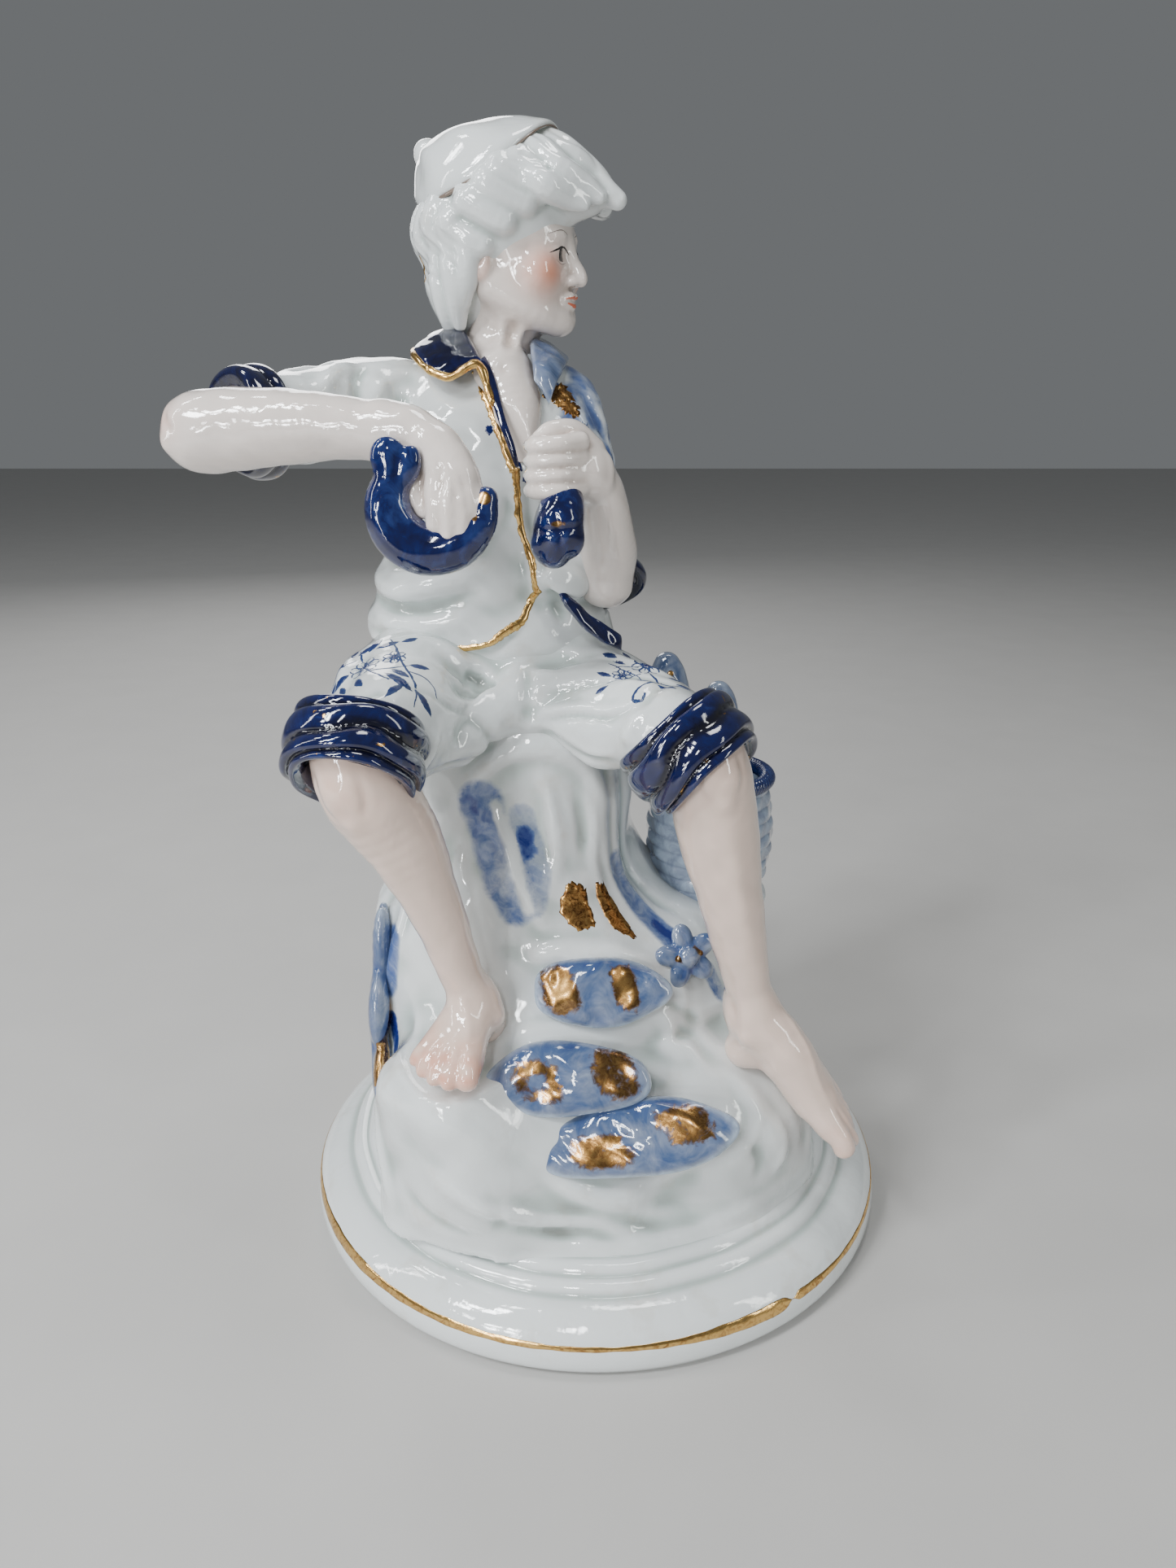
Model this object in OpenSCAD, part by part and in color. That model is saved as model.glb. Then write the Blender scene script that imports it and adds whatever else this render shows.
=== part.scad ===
// Porcelain figurine of a fisher boy seated on a rock, on a round stepped plinth.
// Millimetres. Origin: centre of the plinth's foot, on the shelf. +Z up, -Y is the figure's front.
// Each piece is one casting, luted to its neighbour along the cut where the two meet.

/* [Plinth] */
// Diameter of the plinth at its widest
plinth_d = 141; // [132:1:148]
// Height of the deck that the rock stands on
deck_h = 18.5; // [16:0.5:22]
// Thickness of the cast walls of the plinth
wall = 4; // [3:0.5:5]
// Diameter of the vent hole in the plinth's floor
vent_d = 8; // [5:0.5:12]

/* [Rock] */
// Height of the seat above the shelf
seat_z = 121; // [118:1:122]
// Thickness of the cast walls of the rock
rock_wall = 5; // [4:0.5:6]

/* [Figure] */
// Thickness of the arms and legs, as a share of the usual one
limb_girth = 1; // [0.9:0.02:1.08]
// Thickness of the rolled cuffs, as a share of the usual one
cuff_girth = 1; // [0.95:0.02:1.1]
// Size of the head with its hair and cap, as a share of the usual one
head_size = 1; // [0.94:0.02:1.04]

/* [Basket] */
// Radius of the basket at its rim
basket_r = 16; // [14:0.5:16.5]
// Height of the basket
basket_h = 31; // [28:1:33]

/* [Hidden] */
gap = 0.15;       // slip line left between two castings
sides = 16;       // sides of a lofted casting
far = 400;
vent_y = 16;      // how far the vent sits behind the middle

white = "white";
skin = "mistyrose";
cobalt = "midnightblue";
wash = "lightsteelblue";

// joints of the figure
hip_r = [-33, 2, 131];
hip_l = [-10, 2, 131];
knee_r = [-46, -46, 124];
knee_l = [21, -36, 123];
ankle_r = [-26, -35, 67];
ankle_l = [34, -31, 62];
toe_r = [-34, -50, 58];
toe_l = [55, -39, 33];
shoulder_r = [-43, 9, 188];
shoulder_l = [-8, 8, 187];
elbow_r = [-75, -20, 183];
elbow_l = [3, -4, 151];
wrist_r = [-36, -31, 183];
wrist_l = [1, -17, 172];
neck = [-22, 9, 197];
head = [-17, 8, 218.5];
basket = [28, 13, 72.2];

// ---- lofting -------------------------------------------------------------------------------

function unit(v) = v / norm(v);
function place(p) = [p[0], p[1], p[2]];
function heading(path, i) =
    unit(place(path[min(i + 1, len(path) - 1)]) - place(path[max(i - 1, 0)]));
function ring(p, t, up, n) =
    let (s = unit(cross(up, t)), u = cross(t, s))
    [for (k = [0 : n - 1]) place(p) + p[3] * cos(360 * k / n) * s + p[4] * sin(360 * k / n) * u];

// A closed skin over a row of rings; each ring is a list of n points in the same turning sense.
module skin_over(rings) {
    n = len(rings[0]);
    m = len(rings);
    polyhedron(
        points = [for (r = rings) for (p = r) p],
        faces = concat(
            [[for (k = [0 : n - 1]) k]],
            [for (i = [0 : m - 2]) for (k = [0 : n - 1])
                [i * n + k, (i + 1) * n + k, (i + 1) * n + (k + 1) % n, i * n + (k + 1) % n]],
            [[for (k = [n - 1 : -1 : 0]) (m - 1) * n + k]]
        )
    );
}

// A limb along a path of [x, y, z, half width, half depth], square to its own heading.
module limb(path, up = [0, 0, 1], n = sides) {
    skin_over([for (i = [0 : len(path) - 1]) ring(path[i], heading(path, i), up, n)]);
}

// Level slices [x, y, z, half width, half depth], for a body that stands upright.
module stack(slices, n = sides) {
    skin_over([for (s = slices) ring(s, [0, 0, 1], [0, 1, 0], n)]);
}

// An egg-shaped lump of half sizes a, b and c, tipped by turn.
module lump(centre, half, turn = [0, 0, 0], n = sides, rows = 7) {
    translate(centre) rotate(turn)
        stack([for (i = [0.5 : rows]) let (w = -90 + 180 * i / (rows + 0.5))
            [0, 0, half[2] * sin(w), half[0] * cos(w), half[1] * cos(w)]], n);
}

// A rolled band round a limb: a ring of rounded section whose axis is along dir.
module rolled_band(centre, dir, r_in, r_out, width) {
    yaw = atan2(dir[1], dir[0]);
    tilt = acos(dir[2] / norm(dir));
    half = width / 2;
    soft = min(half, (r_out - r_in) / 2);
    translate(centre) rotate([0, tilt, yaw])
        rotate_extrude($fn = 48)
            polygon([
                [r_in, -half + soft], [r_in + soft, -half], [r_out - soft, -half],
                [r_out, -half + soft], [r_out, half - soft], [r_out - soft, half],
                [r_in + soft, half], [r_in, half - soft]
            ]);
}

// ---- plinth and rock -----------------------------------------------------------------------

module plinth() {
    r = plinth_d / 2;
    color(white) difference() {
        rotate_extrude($fn = 128)
            polygon([
                [0, 0], [r - 2.5, 0], [r - 0.6, 1.6], [r, 4],
                [r - 0.4, 6.6], [r - 2.2, 9.6], [r - 5.2, 12.2], [r - 8, 13.4], [r - 9, 13.6],
                [r - 10, 15], [r - 11.8, 16], [r - 13.6, 16.4], [r - 14.6, 17.6], [r - 17, deck_h],
                [0, deck_h]
            ]);
        translate([0, 0, wall])
            cylinder(r1 = r - wall - 1, r2 = r - wall - 13, h = deck_h - 2 * wall, $fn = 128);
        translate([0, vent_y, -1]) cylinder(d = vent_d, h = far, $fn = 48);
    }
}

// Rock slices: [height above the deck, centre x, centre y, half width, half depth].
rock_slices = [
    [0, -3, -1, 50, 50], [10, -5, -1, 47, 49], [22, -7, -1, 45.5, 45], [34, -8, 0, 44, 38.5],
    [46, -8, 2, 44, 34], [54, -7, 3, 45, 32], [55.5, -17, 3, 33, 30.5], [70, -18, 4, 27.5, 29],
    [86, -17.5, 4, 26, 27], [seat_z - deck_h, -19, 5, 27, 24]
];
// The left shoulder of the rock comes forward as a bluff for the right foot.
bluff_slices = [
    [0, -22, -30, 29, 25.5], [10, -23, -31, 27, 24.5], [22, -26, -32, 22.5, 22],
    [30, -29, -33, 17.5, 20], [34.5, -30, -34, 13.5, 18]
];
// The right shoulder spreads forward under the left foot.
spur_slices = [
    [0, 24, -19, 27.5, 27], [10, 24.5, -19, 27, 26], [20, 24, -18, 25, 24], [29, 21, -15, 21, 20.5],
    [37, 16, -9, 14, 14]
];
// One body of level slices; shrink pulls its skin inwards, or outwards if negative.
module rock_body(slices, shrink) {
    last = len(slices) - 1;
    skin_over([for (i = [0 : last])
        let (s = slices[i], z = deck_h + s[0] + (i == 0 ? shrink : i == last ? -shrink : 0))
            [for (k = [0 : 23])
                let (w = 15 * k, swell = 1 + 0.03 * cos(5 * w + 3 * s[0]) + 0.02 * cos(3 * w - 2 * s[0]))
                [s[1] + (s[3] * swell - shrink) * cos(w), s[2] + (s[4] * swell - shrink) * sin(w), z]]]);
}
module rock_solid() {
    rock_body(rock_slices, 0);
    rock_body(bluff_slices, 0);
    rock_body(spur_slices, 0);
}
// The rock with a slip line round it, to cut what is luted to it.
module rock_seat() {
    rock_body(rock_slices, -gap);
    rock_body(bluff_slices, -gap);
    rock_body(spur_slices, -gap);
}
module rock() {
    color(white) difference() {
        rock_solid();
        rock_body(rock_slices, rock_wall);
        rock_body(bluff_slices, rock_wall);
        rock_body(spur_slices, rock_wall);
        translate([0, vent_y, 0]) cylinder(d = vent_d, h = deck_h + 2 * rock_wall, $fn = 48);
    }
}

module flat_stone(centre, half, turn) {
    color(wash) difference() {
        lump(centre, half, turn);
        rock_seat();
        children();
    }
}
module upper_stone() flat_stone([0.5, -31.5, 67.5], [15.5, 7.5, 3.6], [66, 0, 0]);
module middle_stone() flat_stone([-6, -39.5, 51.5], [18, 8, 4], [54, 0, 0]);
module lower_stone()
    flat_stone([8.5, -45.5, 40.5], [22.5, 8, 4], [54, -9, 6])
        lump([-6, -39.5, 51.5], [18.2, 8.2, 4.2], [54, 0, 0]);

// A spray of leaves luted to the rock; each leaf is a flat lump.
module leaf(centre, half, turn) lump(centre, half, turn, 10, 4);
module rock_leaves() {
    color(wash) difference() {
        union() {
            leaf([-51.5, -8, 67], [2.6, 5, 9], [0, 0, 10]);
            leaf([-52, -13, 53], [2.6, 6, 10], [14, 0, 16]);
            limb([[-51.5, -9, 62, 2, 1.6], [-52, -15, 45, 2, 1.6], [-51, -18, 38, 1.8, 1.5], [-50.5, -20, 31, 1.6, 1.2]],
                up = [0, 1, 0], n = 8);
        }
        rock_seat();
    }
}
module flower(centre, r, turn) {
    color(wash) difference() {
        translate(centre) rotate(turn) union() {
            lump([0, 0, 0], [r * 0.42, r * 0.42, 2.6], n = 10, rows = 4);
            for (k = [0 : 4])
                rotate(72 * k) lump([r * 0.6, 0, 0], [r * 0.44, r * 0.34, 2], [0, 0, 0], 10, 4);
        }
        rock_seat();
    }
}
module rock_flower() flower([20, -23, 71.5], 7, [74, 0, 30]);

// ---- legs and breeches ---------------------------------------------------------------------

g = limb_girth;

module lower_leg_solid(knee, ankle, toe, fat) {
    shin = ankle - knee;
    limb([
        [each knee - 0.06 * shin, 5 * g, 5 * g], [each knee, 9.2 * g * fat, 9 * g * fat],
        [each knee + 0.12 * shin, 9.4 * g * fat, 9.4 * g * fat],
        [each knee + 0.36 * shin + [0, 1.5, 0], 8.8 * g * fat, 9.2 * g * fat],
        [each knee + 0.62 * shin + [0, 1.5, 0], 6.8 * g, 7 * g],
        [each knee + 0.86 * shin, 5.2 * g, 5.4 * g], [each ankle, 5.4 * g, 5.8 * g],
        [each ankle - [0, -1, 7], 5 * g, 5.4 * g], [each ankle - [0, -1, 9.5], 3.4 * g, 3.6 * g]
    ], up = [0, 1, 0]);
    limb([
        [each ankle + [-0.5, 3.5, -8.5], 2.6, 2.4], [each ankle + [0, 1, -6.5], 5 * g, 4.2],
        [each ankle + 0.35 * (toe - ankle) + [0, 0, -2], 5.6 * g, 4.8],
        [each ankle + 0.75 * (toe - ankle) + [0, 0, -1.2], 6.4 * g, 3.2],
        [each toe, 5 * g, 2.2], [each toe + 0.06 * (toe - ankle), 3, 1.2]
    ]);
}
module right_lower_leg() {
    color(skin) difference() {
        lower_leg_solid(knee_r, ankle_r, toe_r, 1);
        rock_seat();
    }
}
module left_lower_leg() {
    color(skin) difference() {
        lower_leg_solid(knee_l, ankle_l, toe_l, 0.95);
        rock_seat();
    }
}

module breeches_solid() {
    stack([
        [-20, 6, 119.5, 20, 15], [-20.5, 6, 124, 25, 18], [-21.5, 6, 130, 27.5, 18.5],
        [-22, 5, 138, 25.5, 17.5], [-22, 5, 142, 22, 15]
    ]);
    for (leg = [[hip_r, knee_r, [-3, 0, 1], 1], [hip_l, knee_l, [2, 0, -1], 0.9]])
        let (way = leg[1] - leg[0], fat = leg[3])
            limb([
                [each leg[0] - 0.12 * way, 8, 7], [each leg[0] + 0.08 * way + leg[2], 14.5, 11.5 * fat],
                [each leg[0] + 0.4 * way + leg[2], 14.5, 12 * fat], [each leg[0] + 0.72 * way, 12.8, 11.5 * fat],
                [each leg[0] + 0.92 * way, 11.6, 11 * fat], [each leg[1], 9.4, 9.4]
            ]);
}
module breeches() {
    color(white) difference() {
        breeches_solid();
        rock_seat();
        shirt_solid();
        right_breeches_cuff_solid();
        left_breeches_cuff_solid();
        lower_leg_solid(knee_r, ankle_r, toe_r, 1.02);
        lower_leg_solid(knee_l, ankle_l, toe_l, 0.97);
        basket_solid();
    }
}

module right_breeches_cuff_solid()
    rolled_band([-46, -44, 124.5], [0.12, 0.72, 0.68], 9.4, 12.8 * cuff_girth, 12);
module left_breeches_cuff_solid()
    rolled_band([18.5, -33.5, 122], [-0.7, 0.5, 0.75], 9.4, 12.6 * cuff_girth, 12);
module right_breeches_cuff() {
    color(cobalt) difference() {
        right_breeches_cuff_solid();
        lower_leg_solid(knee_r, ankle_r, toe_r, 1.02);
    }
}
module left_breeches_cuff() {
    color(cobalt) difference() {
        left_breeches_cuff_solid();
        lower_leg_solid(knee_l, ankle_l, toe_l, 0.97);
    }
}

// ---- shirt ---------------------------------------------------------------------------------

module shirt_solid() {
    stack([
        [-23, 4.5, 136, 27, 18.5], [-24, 4.5, 141, 27.5, 18.5], [-24.5, 4, 147, 26.5, 17.5],
        [-24.5, 4, 154, 21.5, 15.5], [-24, 4, 165, 21, 16], [-24, 4.5, 176, 22, 15.5],
        [-24.5, 6, 186, 22.5, 14], [-24, 8, 192.5, 18, 11.5], [-23, 9, 197.5, 11, 9.5]
    ]);
}
module shirt_body() {
    color(white) difference() {
        shirt_solid();
        stack([
            [-23.5, 4.5, 141, 19, 12], [-24, 4, 154, 15.5, 10], [-24, 4.5, 178, 15, 9],
            [-23.5, 8, 188, 8, 5]
        ]);
        head_and_neck_solid();
        right_sleeve_solid();
        left_sleeve_solid();
        right_hand_solid();
        left_forearm_solid();
        right_fish_solid();
        left_fish_solid();
        collar_solid(right_flap);
        collar_solid(left_flap);
    }
}
// The loose corner of the shirt front, thrown back over the left hip.
module shirt_tail() {
    color(cobalt) difference() {
        limb([
            [-8, -13, 151, 2.5, 1], [-4, -12.5, 148, 4.5, 1.6], [0.5, -10.5, 143.5, 4.5, 1.6],
            [5, -8, 138.5, 2.5, 1.2]
        ]);
        shirt_solid();
        breeches_solid();
        left_forearm_solid();
        left_sleeve_cuff_solid();
    }
}

// A collar flap runs from the nape over the shoulder and down the front of the neck opening.
right_flap = [
    [-25, 18, 199.5, 4.5, 1.6], [-33, 11, 199.2, 6, 1.7], [-33.5, 1, 195.5, 5.5, 1.7],
    [-27.5, -8, 187.5, 2.4, 1.4], [-20, -13, 177, 1.2, 1]
];
left_flap = [
    [-20, 18, 199.5, 4.5, 1.6], [-11.5, 11, 199, 5.5, 1.7], [-9.5, 2, 195.5, 5, 1.7],
    [-11, -7, 188, 2.4, 1.4], [-14, -12.5, 178.5, 1.2, 1]
];
module collar_solid(flap) limb(flap);
module right_collar() {
    color(cobalt) difference() {
        collar_solid(right_flap);
        head_and_neck_solid();
        hair_solid();
        right_sleeve_solid();
    }
}
module left_collar() {
    color(wash) difference() {
        collar_solid(left_flap);
        head_and_neck_solid();
        hair_solid();
        left_sleeve_solid();
        collar_solid(right_flap);
    }
}

module right_sleeve_solid() {
    limb([
        [each shoulder_r + [6, -1, 0], 6, 8], [each shoulder_r + [1, 0, 0], 9.5, 9.5],
        [-52, 3, 187, 9.2, 9.6], [-60, -6, 185.5, 8.6, 9.2], [-64, -10.5, 185, 8.2, 8.8]
    ]);
}
module right_sleeve() color(white) right_sleeve_solid();
module left_sleeve_solid() {
    limb([
        [each shoulder_l + [-4, 0, 3], 5, 7], [each shoulder_l + [0, 0, 0], 8.6, 9],
        [-5, 6, 178, 8.4, 8.6], [-3, 3.5, 167, 7.8, 8], [-1, 1, 158.5, 7.2, 7.4]
    ], up = [0, 1, 0]);
}
module left_sleeve() {
    color(wash) difference() {
        left_sleeve_solid();
        left_forearm_solid();
    }
}

module right_sleeve_cuff_solid()
    rolled_band([-67.5, -14, 184.5], [-0.72, -0.68, -0.08], 6.4, 10.4 * cuff_girth, 6.5);
module left_sleeve_cuff_solid()
    rolled_band([0.5, -0.6, 154.8], [0.25, -0.3, -1], 5.8, 9.2 * cuff_girth, 5.5);
module right_sleeve_cuff() {
    color(cobalt) difference() {
        right_sleeve_cuff_solid();
        right_sleeve_solid();
        right_forearm_solid();
    }
}
module left_sleeve_cuff() {
    color(cobalt) difference() {
        left_sleeve_cuff_solid();
        left_sleeve_solid();
        left_forearm_solid();
        shirt_solid();
        translate([-31, -30, 130]) cube([31, 60, 40]);
    }
}

// ---- arms and hands ------------------------------------------------------------------------

module right_hand_solid() {
    limb([
        [each wrist_r + [-2, 0, 0], 4.2 * g, 4.6 * g], [-29.5, -34, 180, 5.6 * g, 4.4 * g],
        [-25.5, -37, 174.5, 6 * g, 4 * g], [-24.5, -38, 168.5, 5.2 * g, 3.6 * g],
        [-25.5, -36, 165, 3, 2]
    ], up = [0, 1, 0]);
}
module right_forearm_solid() {
    limb([
        [each elbow_r + [-4.5, -1, -0.5], 3, 3.4], [each elbow_r + [-2, -2, 0], 6.6 * g, 7.2 * g],
        [each elbow_r + [5, -3, 0.5], 7 * g, 7.8 * g], [-60, -25.5, 184, 6.4 * g, 7 * g],
        [-48, -28.5, 184, 5.2 * g, 5.6 * g], [each wrist_r, 4 * g, 4.4 * g]
    ]);
    limb([
        [-66, -12, 184.5, 5.4, 5.8], [-71, -16.5, 184, 6 * g, 6.4 * g],
        [each elbow_r + [1, -2, 0], 6.4 * g, 7 * g]
    ]);
    right_hand_solid();
}
module right_forearm() {
    color(skin) difference() {
        right_forearm_solid();
        right_sleeve_solid();
        right_fish_solid();
    }
}
module left_forearm_solid() {
    limb([
        [each elbow_l + [0, 1.5, -3.5], 3, 3], [each elbow_l + [0, 0, -1], 5.6 * g, 5.8 * g],
        [each elbow_l + [0.5, -3, 5], 6 * g, 6.2 * g], [3, -11, 162, 5.2 * g, 5.4 * g],
        [each wrist_l, 4.2 * g, 4.4 * g]
    ], up = [0, 1, 0]);
    limb([
        [each wrist_l + [1.5, -0.5, -1], 4, 4.4 * g], [-2, -20.5, 175.5, 6.2 * g, 6.4 * g],
        [-6.5, -24, 177, 6.6 * g, 6.2 * g], [-10.5, -26, 177.5, 5 * g, 5.2 * g]
    ], up = [0, 1, 0]);
}
module left_forearm() {
    color(skin) difference() {
        left_forearm_solid();
        left_fish_solid();
    }
}

// ---- head ----------------------------------------------------------------------------------

face_turn = 70;  // the head looks over the left shoulder
module face_frame() translate(head) rotate([0, 0, face_turn]) scale(head_size) children();

module head_and_neck_solid() {
    face_frame() {
        stack([
            [0, -4, -17.5, 3.5, 3], [0, -4, -16, 6.5, 6.5], [0, -2, -11, 10, 11],
            [0, 0, -3, 12, 14], [0, 0.5, 5, 12.8, 15], [0, 1, 11, 11.5, 14], [0, 1.5, 15, 8, 10],
            [0, 2, 17, 3, 4]
        ]);
        limb([[0, -13, 2.5, 0.9, 1], [0, -14.6, -2.5, 1.7, 1.7], [0, -13.2, -5, 1.2, 1]], up = [0, 1, 0], n = 8);
    }
    limb([
        [-21.5, 4, 184, 9.5, 5], [-21.5, 6, 192, 9, 8], [-21, 8.5, 198, 7, 7.2],
        [-19.5, 9, 206, 6.4, 6.6], [-18, 9, 212, 7, 7]
    ], up = [0, 1, 0]);
    limb([
        [-20, -2, 190, 6, 5], [-18, -7, 184, 4.5, 4], [-17, -10.5, 178, 2, 1.6]
    ], up = [0, 1, 0]);
}
module head_and_neck() {
    color(skin) difference() {
        head_and_neck_solid();
        hair_solid();
        cap_solid();
        left_forearm_solid();
        left_sleeve_solid();
    }
}

module hair_solid() {
    face_frame() difference() {
        union() {
            stack([
                [0, 11, -16, 6, 4.5], [0, 9.5, -12, 10.5, 7.5], [0, 7, -6.5, 13, 11],
                [0, 5, 0, 14.8, 14.5], [0, 3, 6, 15.5, 17], [0, 1.5, 12, 15, 17],
                [0, 1, 17, 12.5, 14.5], [0, -2, 20.5, 8.5, 9.5], [0, -3, 22, 4, 5]
            ]);
            limb([
                [0, -11, 12, 8, 7], [0, -16, 11, 7, 6], [0, -20, 9.5, 4.5, 4],
                [0, -23, 7.5, 2.5, 2.2], [0, -24.3, 6.8, 1, 1]
            ]);
        }
        stack([
            [0, -20, -14, 30, 18.5], [0, -20, 0, 30, 18.5], [0, -21, 5.5, 30, 15], [0, -22, 8, 30, 6]
        ]);
    }
}
module hair() {
    color(white) difference() {
        hair_solid();
        face_frame() stack([
            [0, 0, -14, 9, 8], [0, 0, -4, 10.5, 12.5], [0, 0, 5, 11, 13], [0, 0, 11, 8, 9]
        ]);
        cap_solid();
        neck_seat();
    }
}
module neck_seat()
    limb([
        [-21, 8.5, 198, 7.2, 7.4], [-19.5, 9, 206, 6.6, 6.8], [-18, 9, 214, 7.2, 7.2]
    ], up = [0, 1, 0]);

// The cap sits on the back of the head, its edge running up from the nape to above the brow.
module cap_solid() {
    face_frame() translate([0, 5, 14]) rotate([-27, 0, 0])
        stack([
            [0, 0, 0, 15.8, 15.8], [0, 1, 2, 15.4, 14.8], [0, 1.7, 4.3, 13.6, 12.8],
            [0, 3, 6.5, 11, 10.2], [0, 6, 9, 7, 6.4], [0, 9, 10.7, 3.2, 2.9]
        ]);
}
module cap() {
    color(white) difference() {
        cap_solid();
        face_frame() stack([
            [0, 0, -4, 12.2, 14.2], [0, 0.5, 5, 13, 15.2], [0, 1, 11, 11.7, 14.2], [0, 1.5, 15, 8.2, 10.2],
            [0, 2, 17, 3, 4]
        ]);
        cap_knot_solid();
    }
}
module cap_knot_solid()
    face_frame() limb([
        [0, 15, 14, 4, 4], [0, 17.5, 16.5, 3.8, 3.6], [0, 19.5, 18.3, 2.8, 2.6], [0, 20.6, 19.3, 1.2, 1.2]
    ], n = 12);
module cap_knot() color(white) cap_knot_solid();

// ---- fish and basket -----------------------------------------------------------------------

module right_fish_solid() {
    limb([
        [-34.5, -38.5, 179.5, 1.6, 1], [-36.5, -38.5, 176, 3.6, 2.6], [-37.5, -38.5, 170, 4.4, 3.4],
        [-35, -38, 165, 4.6, 3.8], [-30.5, -37.5, 162.5, 4.4, 3.8], [-25, -37.5, 164, 4, 3.2],
        [-21.5, -37.5, 168.5, 3.2, 2.6], [-20.5, -37.5, 173, 1.6, 1.2]
    ], up = [0, 1, 0], n = 12);
}
module right_hand_fish() color(cobalt) right_fish_solid();
module left_fish_solid() {
    limb([
        [-5, -24.5, 172, 2.4, 2.4], [-6.5, -26, 168.5, 5, 4.6], [-8, -27, 164, 5.4, 5],
        [-9, -27.5, 160.5, 3.6, 3.2], [-9.3, -27.6, 159.4, 1.8, 1.6]
    ], up = [0, 1, 0], n = 12);
}
module left_hand_fish() color(cobalt) left_fish_solid();

module basket_solid()
    translate(basket) stack([
        [0, 0, 0.4, basket_r - 3.5, basket_r - 3.5], [0, 0, 6, basket_r - 1.4, basket_r - 1.4],
        [0, 0, 16, basket_r - 0.4, basket_r - 0.4], [0, 0, basket_h - 3.4, basket_r - 1.6, basket_r - 1.6]
    ], 20);
module basket_body() {
    color(wash) difference() {
        basket_solid();
        lower_leg_solid(knee_l, ankle_l, toe_l, 1);
        rock_seat();
        for (f = basket_fish) basket_fish_solid(f);
    }
}
module basket_rim_solid()
    translate(basket + [0, 0, basket_h - 1.6])
        rotate_extrude($fn = 64) translate([basket_r - 2.6, 0]) circle(r = 1.7, $fn = 24);
module basket_rim() color(wash) basket_rim_solid();
// Fish in the basket, head up: [x, y, lean in x, lean in y, height above the rim].
basket_fish = [[20, 12, -3, 3, 29], [31, 16, -1, 3, 21]];
module basket_fish_solid(f) {
    foot = [f[0], f[1], basket[2] + basket_h - 12];
    tip = [f[0] + f[2], f[1] + f[3], basket[2] + basket_h + f[4]];
    limb([
        [each foot, 4, 3.6], [each foot + 0.35 * (tip - foot), 5.6, 5],
        [each foot + 0.75 * (tip - foot), 5.8, 5.2], [each foot + 0.93 * (tip - foot), 4.2, 3.8],
        [each tip, 1.8, 1.6]
    ], up = [0, 1, 0], n = 12);
}
module basket_fish_front() {
    color(wash) difference() {
        basket_fish_solid(basket_fish[0]);
        basket_rim_solid();
        breeches_solid();
        left_breeches_cuff_solid();
    }
}
module basket_fish_rear() {
    color(wash) difference() {
        basket_fish_solid(basket_fish[1]);
        basket_fish_solid(basket_fish[0]);
        basket_rim_solid();
        left_breeches_cuff_solid();
    }
}

plinth();
rock();
upper_stone();
middle_stone();
lower_stone();
rock_leaves();
rock_flower();
breeches();
right_breeches_cuff();
left_breeches_cuff();
right_lower_leg();
left_lower_leg();
shirt_body();
shirt_tail();
right_collar();
left_collar();
right_sleeve();
left_sleeve();
right_sleeve_cuff();
left_sleeve_cuff();
right_forearm();
left_forearm();
head_and_neck();
hair();
cap();
cap_knot();
right_hand_fish();
left_hand_fish();
basket_body();
basket_rim();
basket_fish_front();
basket_fish_rear();
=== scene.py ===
"""Looks of a porcelain figurine: a fisher boy seated on a rock, on a round stepped plinth.

Laid out as an add-on: each operator models one piece, or one group of like pieces, round the CAD frame.
Working units are millimetres; every mesh is put in metres when it is made.
"""
import math

import bpy
import numpy as np
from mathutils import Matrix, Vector


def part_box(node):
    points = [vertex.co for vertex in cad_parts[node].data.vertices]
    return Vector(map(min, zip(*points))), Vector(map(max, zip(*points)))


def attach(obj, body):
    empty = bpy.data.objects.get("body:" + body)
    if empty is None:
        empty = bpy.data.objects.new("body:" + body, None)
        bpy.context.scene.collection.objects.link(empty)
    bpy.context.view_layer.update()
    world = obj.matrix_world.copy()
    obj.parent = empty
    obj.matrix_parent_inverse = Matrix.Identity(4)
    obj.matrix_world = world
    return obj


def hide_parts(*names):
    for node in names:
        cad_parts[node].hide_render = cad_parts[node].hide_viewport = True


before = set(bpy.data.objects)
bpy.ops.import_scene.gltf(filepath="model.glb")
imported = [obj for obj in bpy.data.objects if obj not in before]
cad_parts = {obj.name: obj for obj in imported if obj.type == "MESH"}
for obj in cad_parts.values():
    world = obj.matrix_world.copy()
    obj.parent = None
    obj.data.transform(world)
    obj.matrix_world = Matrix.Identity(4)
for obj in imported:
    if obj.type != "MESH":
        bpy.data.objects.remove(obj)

bl_info = {
    "name": "Porcelain fisher boy",
    "version": (1, 0, 0),
    "blender": (4, 5, 0),
    "location": "3D View > Sidebar > Figurine",
    "description": "Models and glazes a seated fisher boy figurine round its CAD frame",
    "category": "Add Mesh",
}

MM = 0.001
TAU = 2 * math.pi
PANEL_TAB = "Figurine"


# ---- places, all taken from the frame ------------------------------------------------------


def corners(node):
    """The two corners of a CAD node's box, in mm."""
    low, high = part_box(node)
    return np.array(low) / MM, np.array(high) / MM


def spot(node, x, y, z):
    """A point of a CAD node's box, by fractions of its width, depth and height, in mm."""
    low, high = corners(node)
    return low + (high - low) * np.array([x, y, z])


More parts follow.
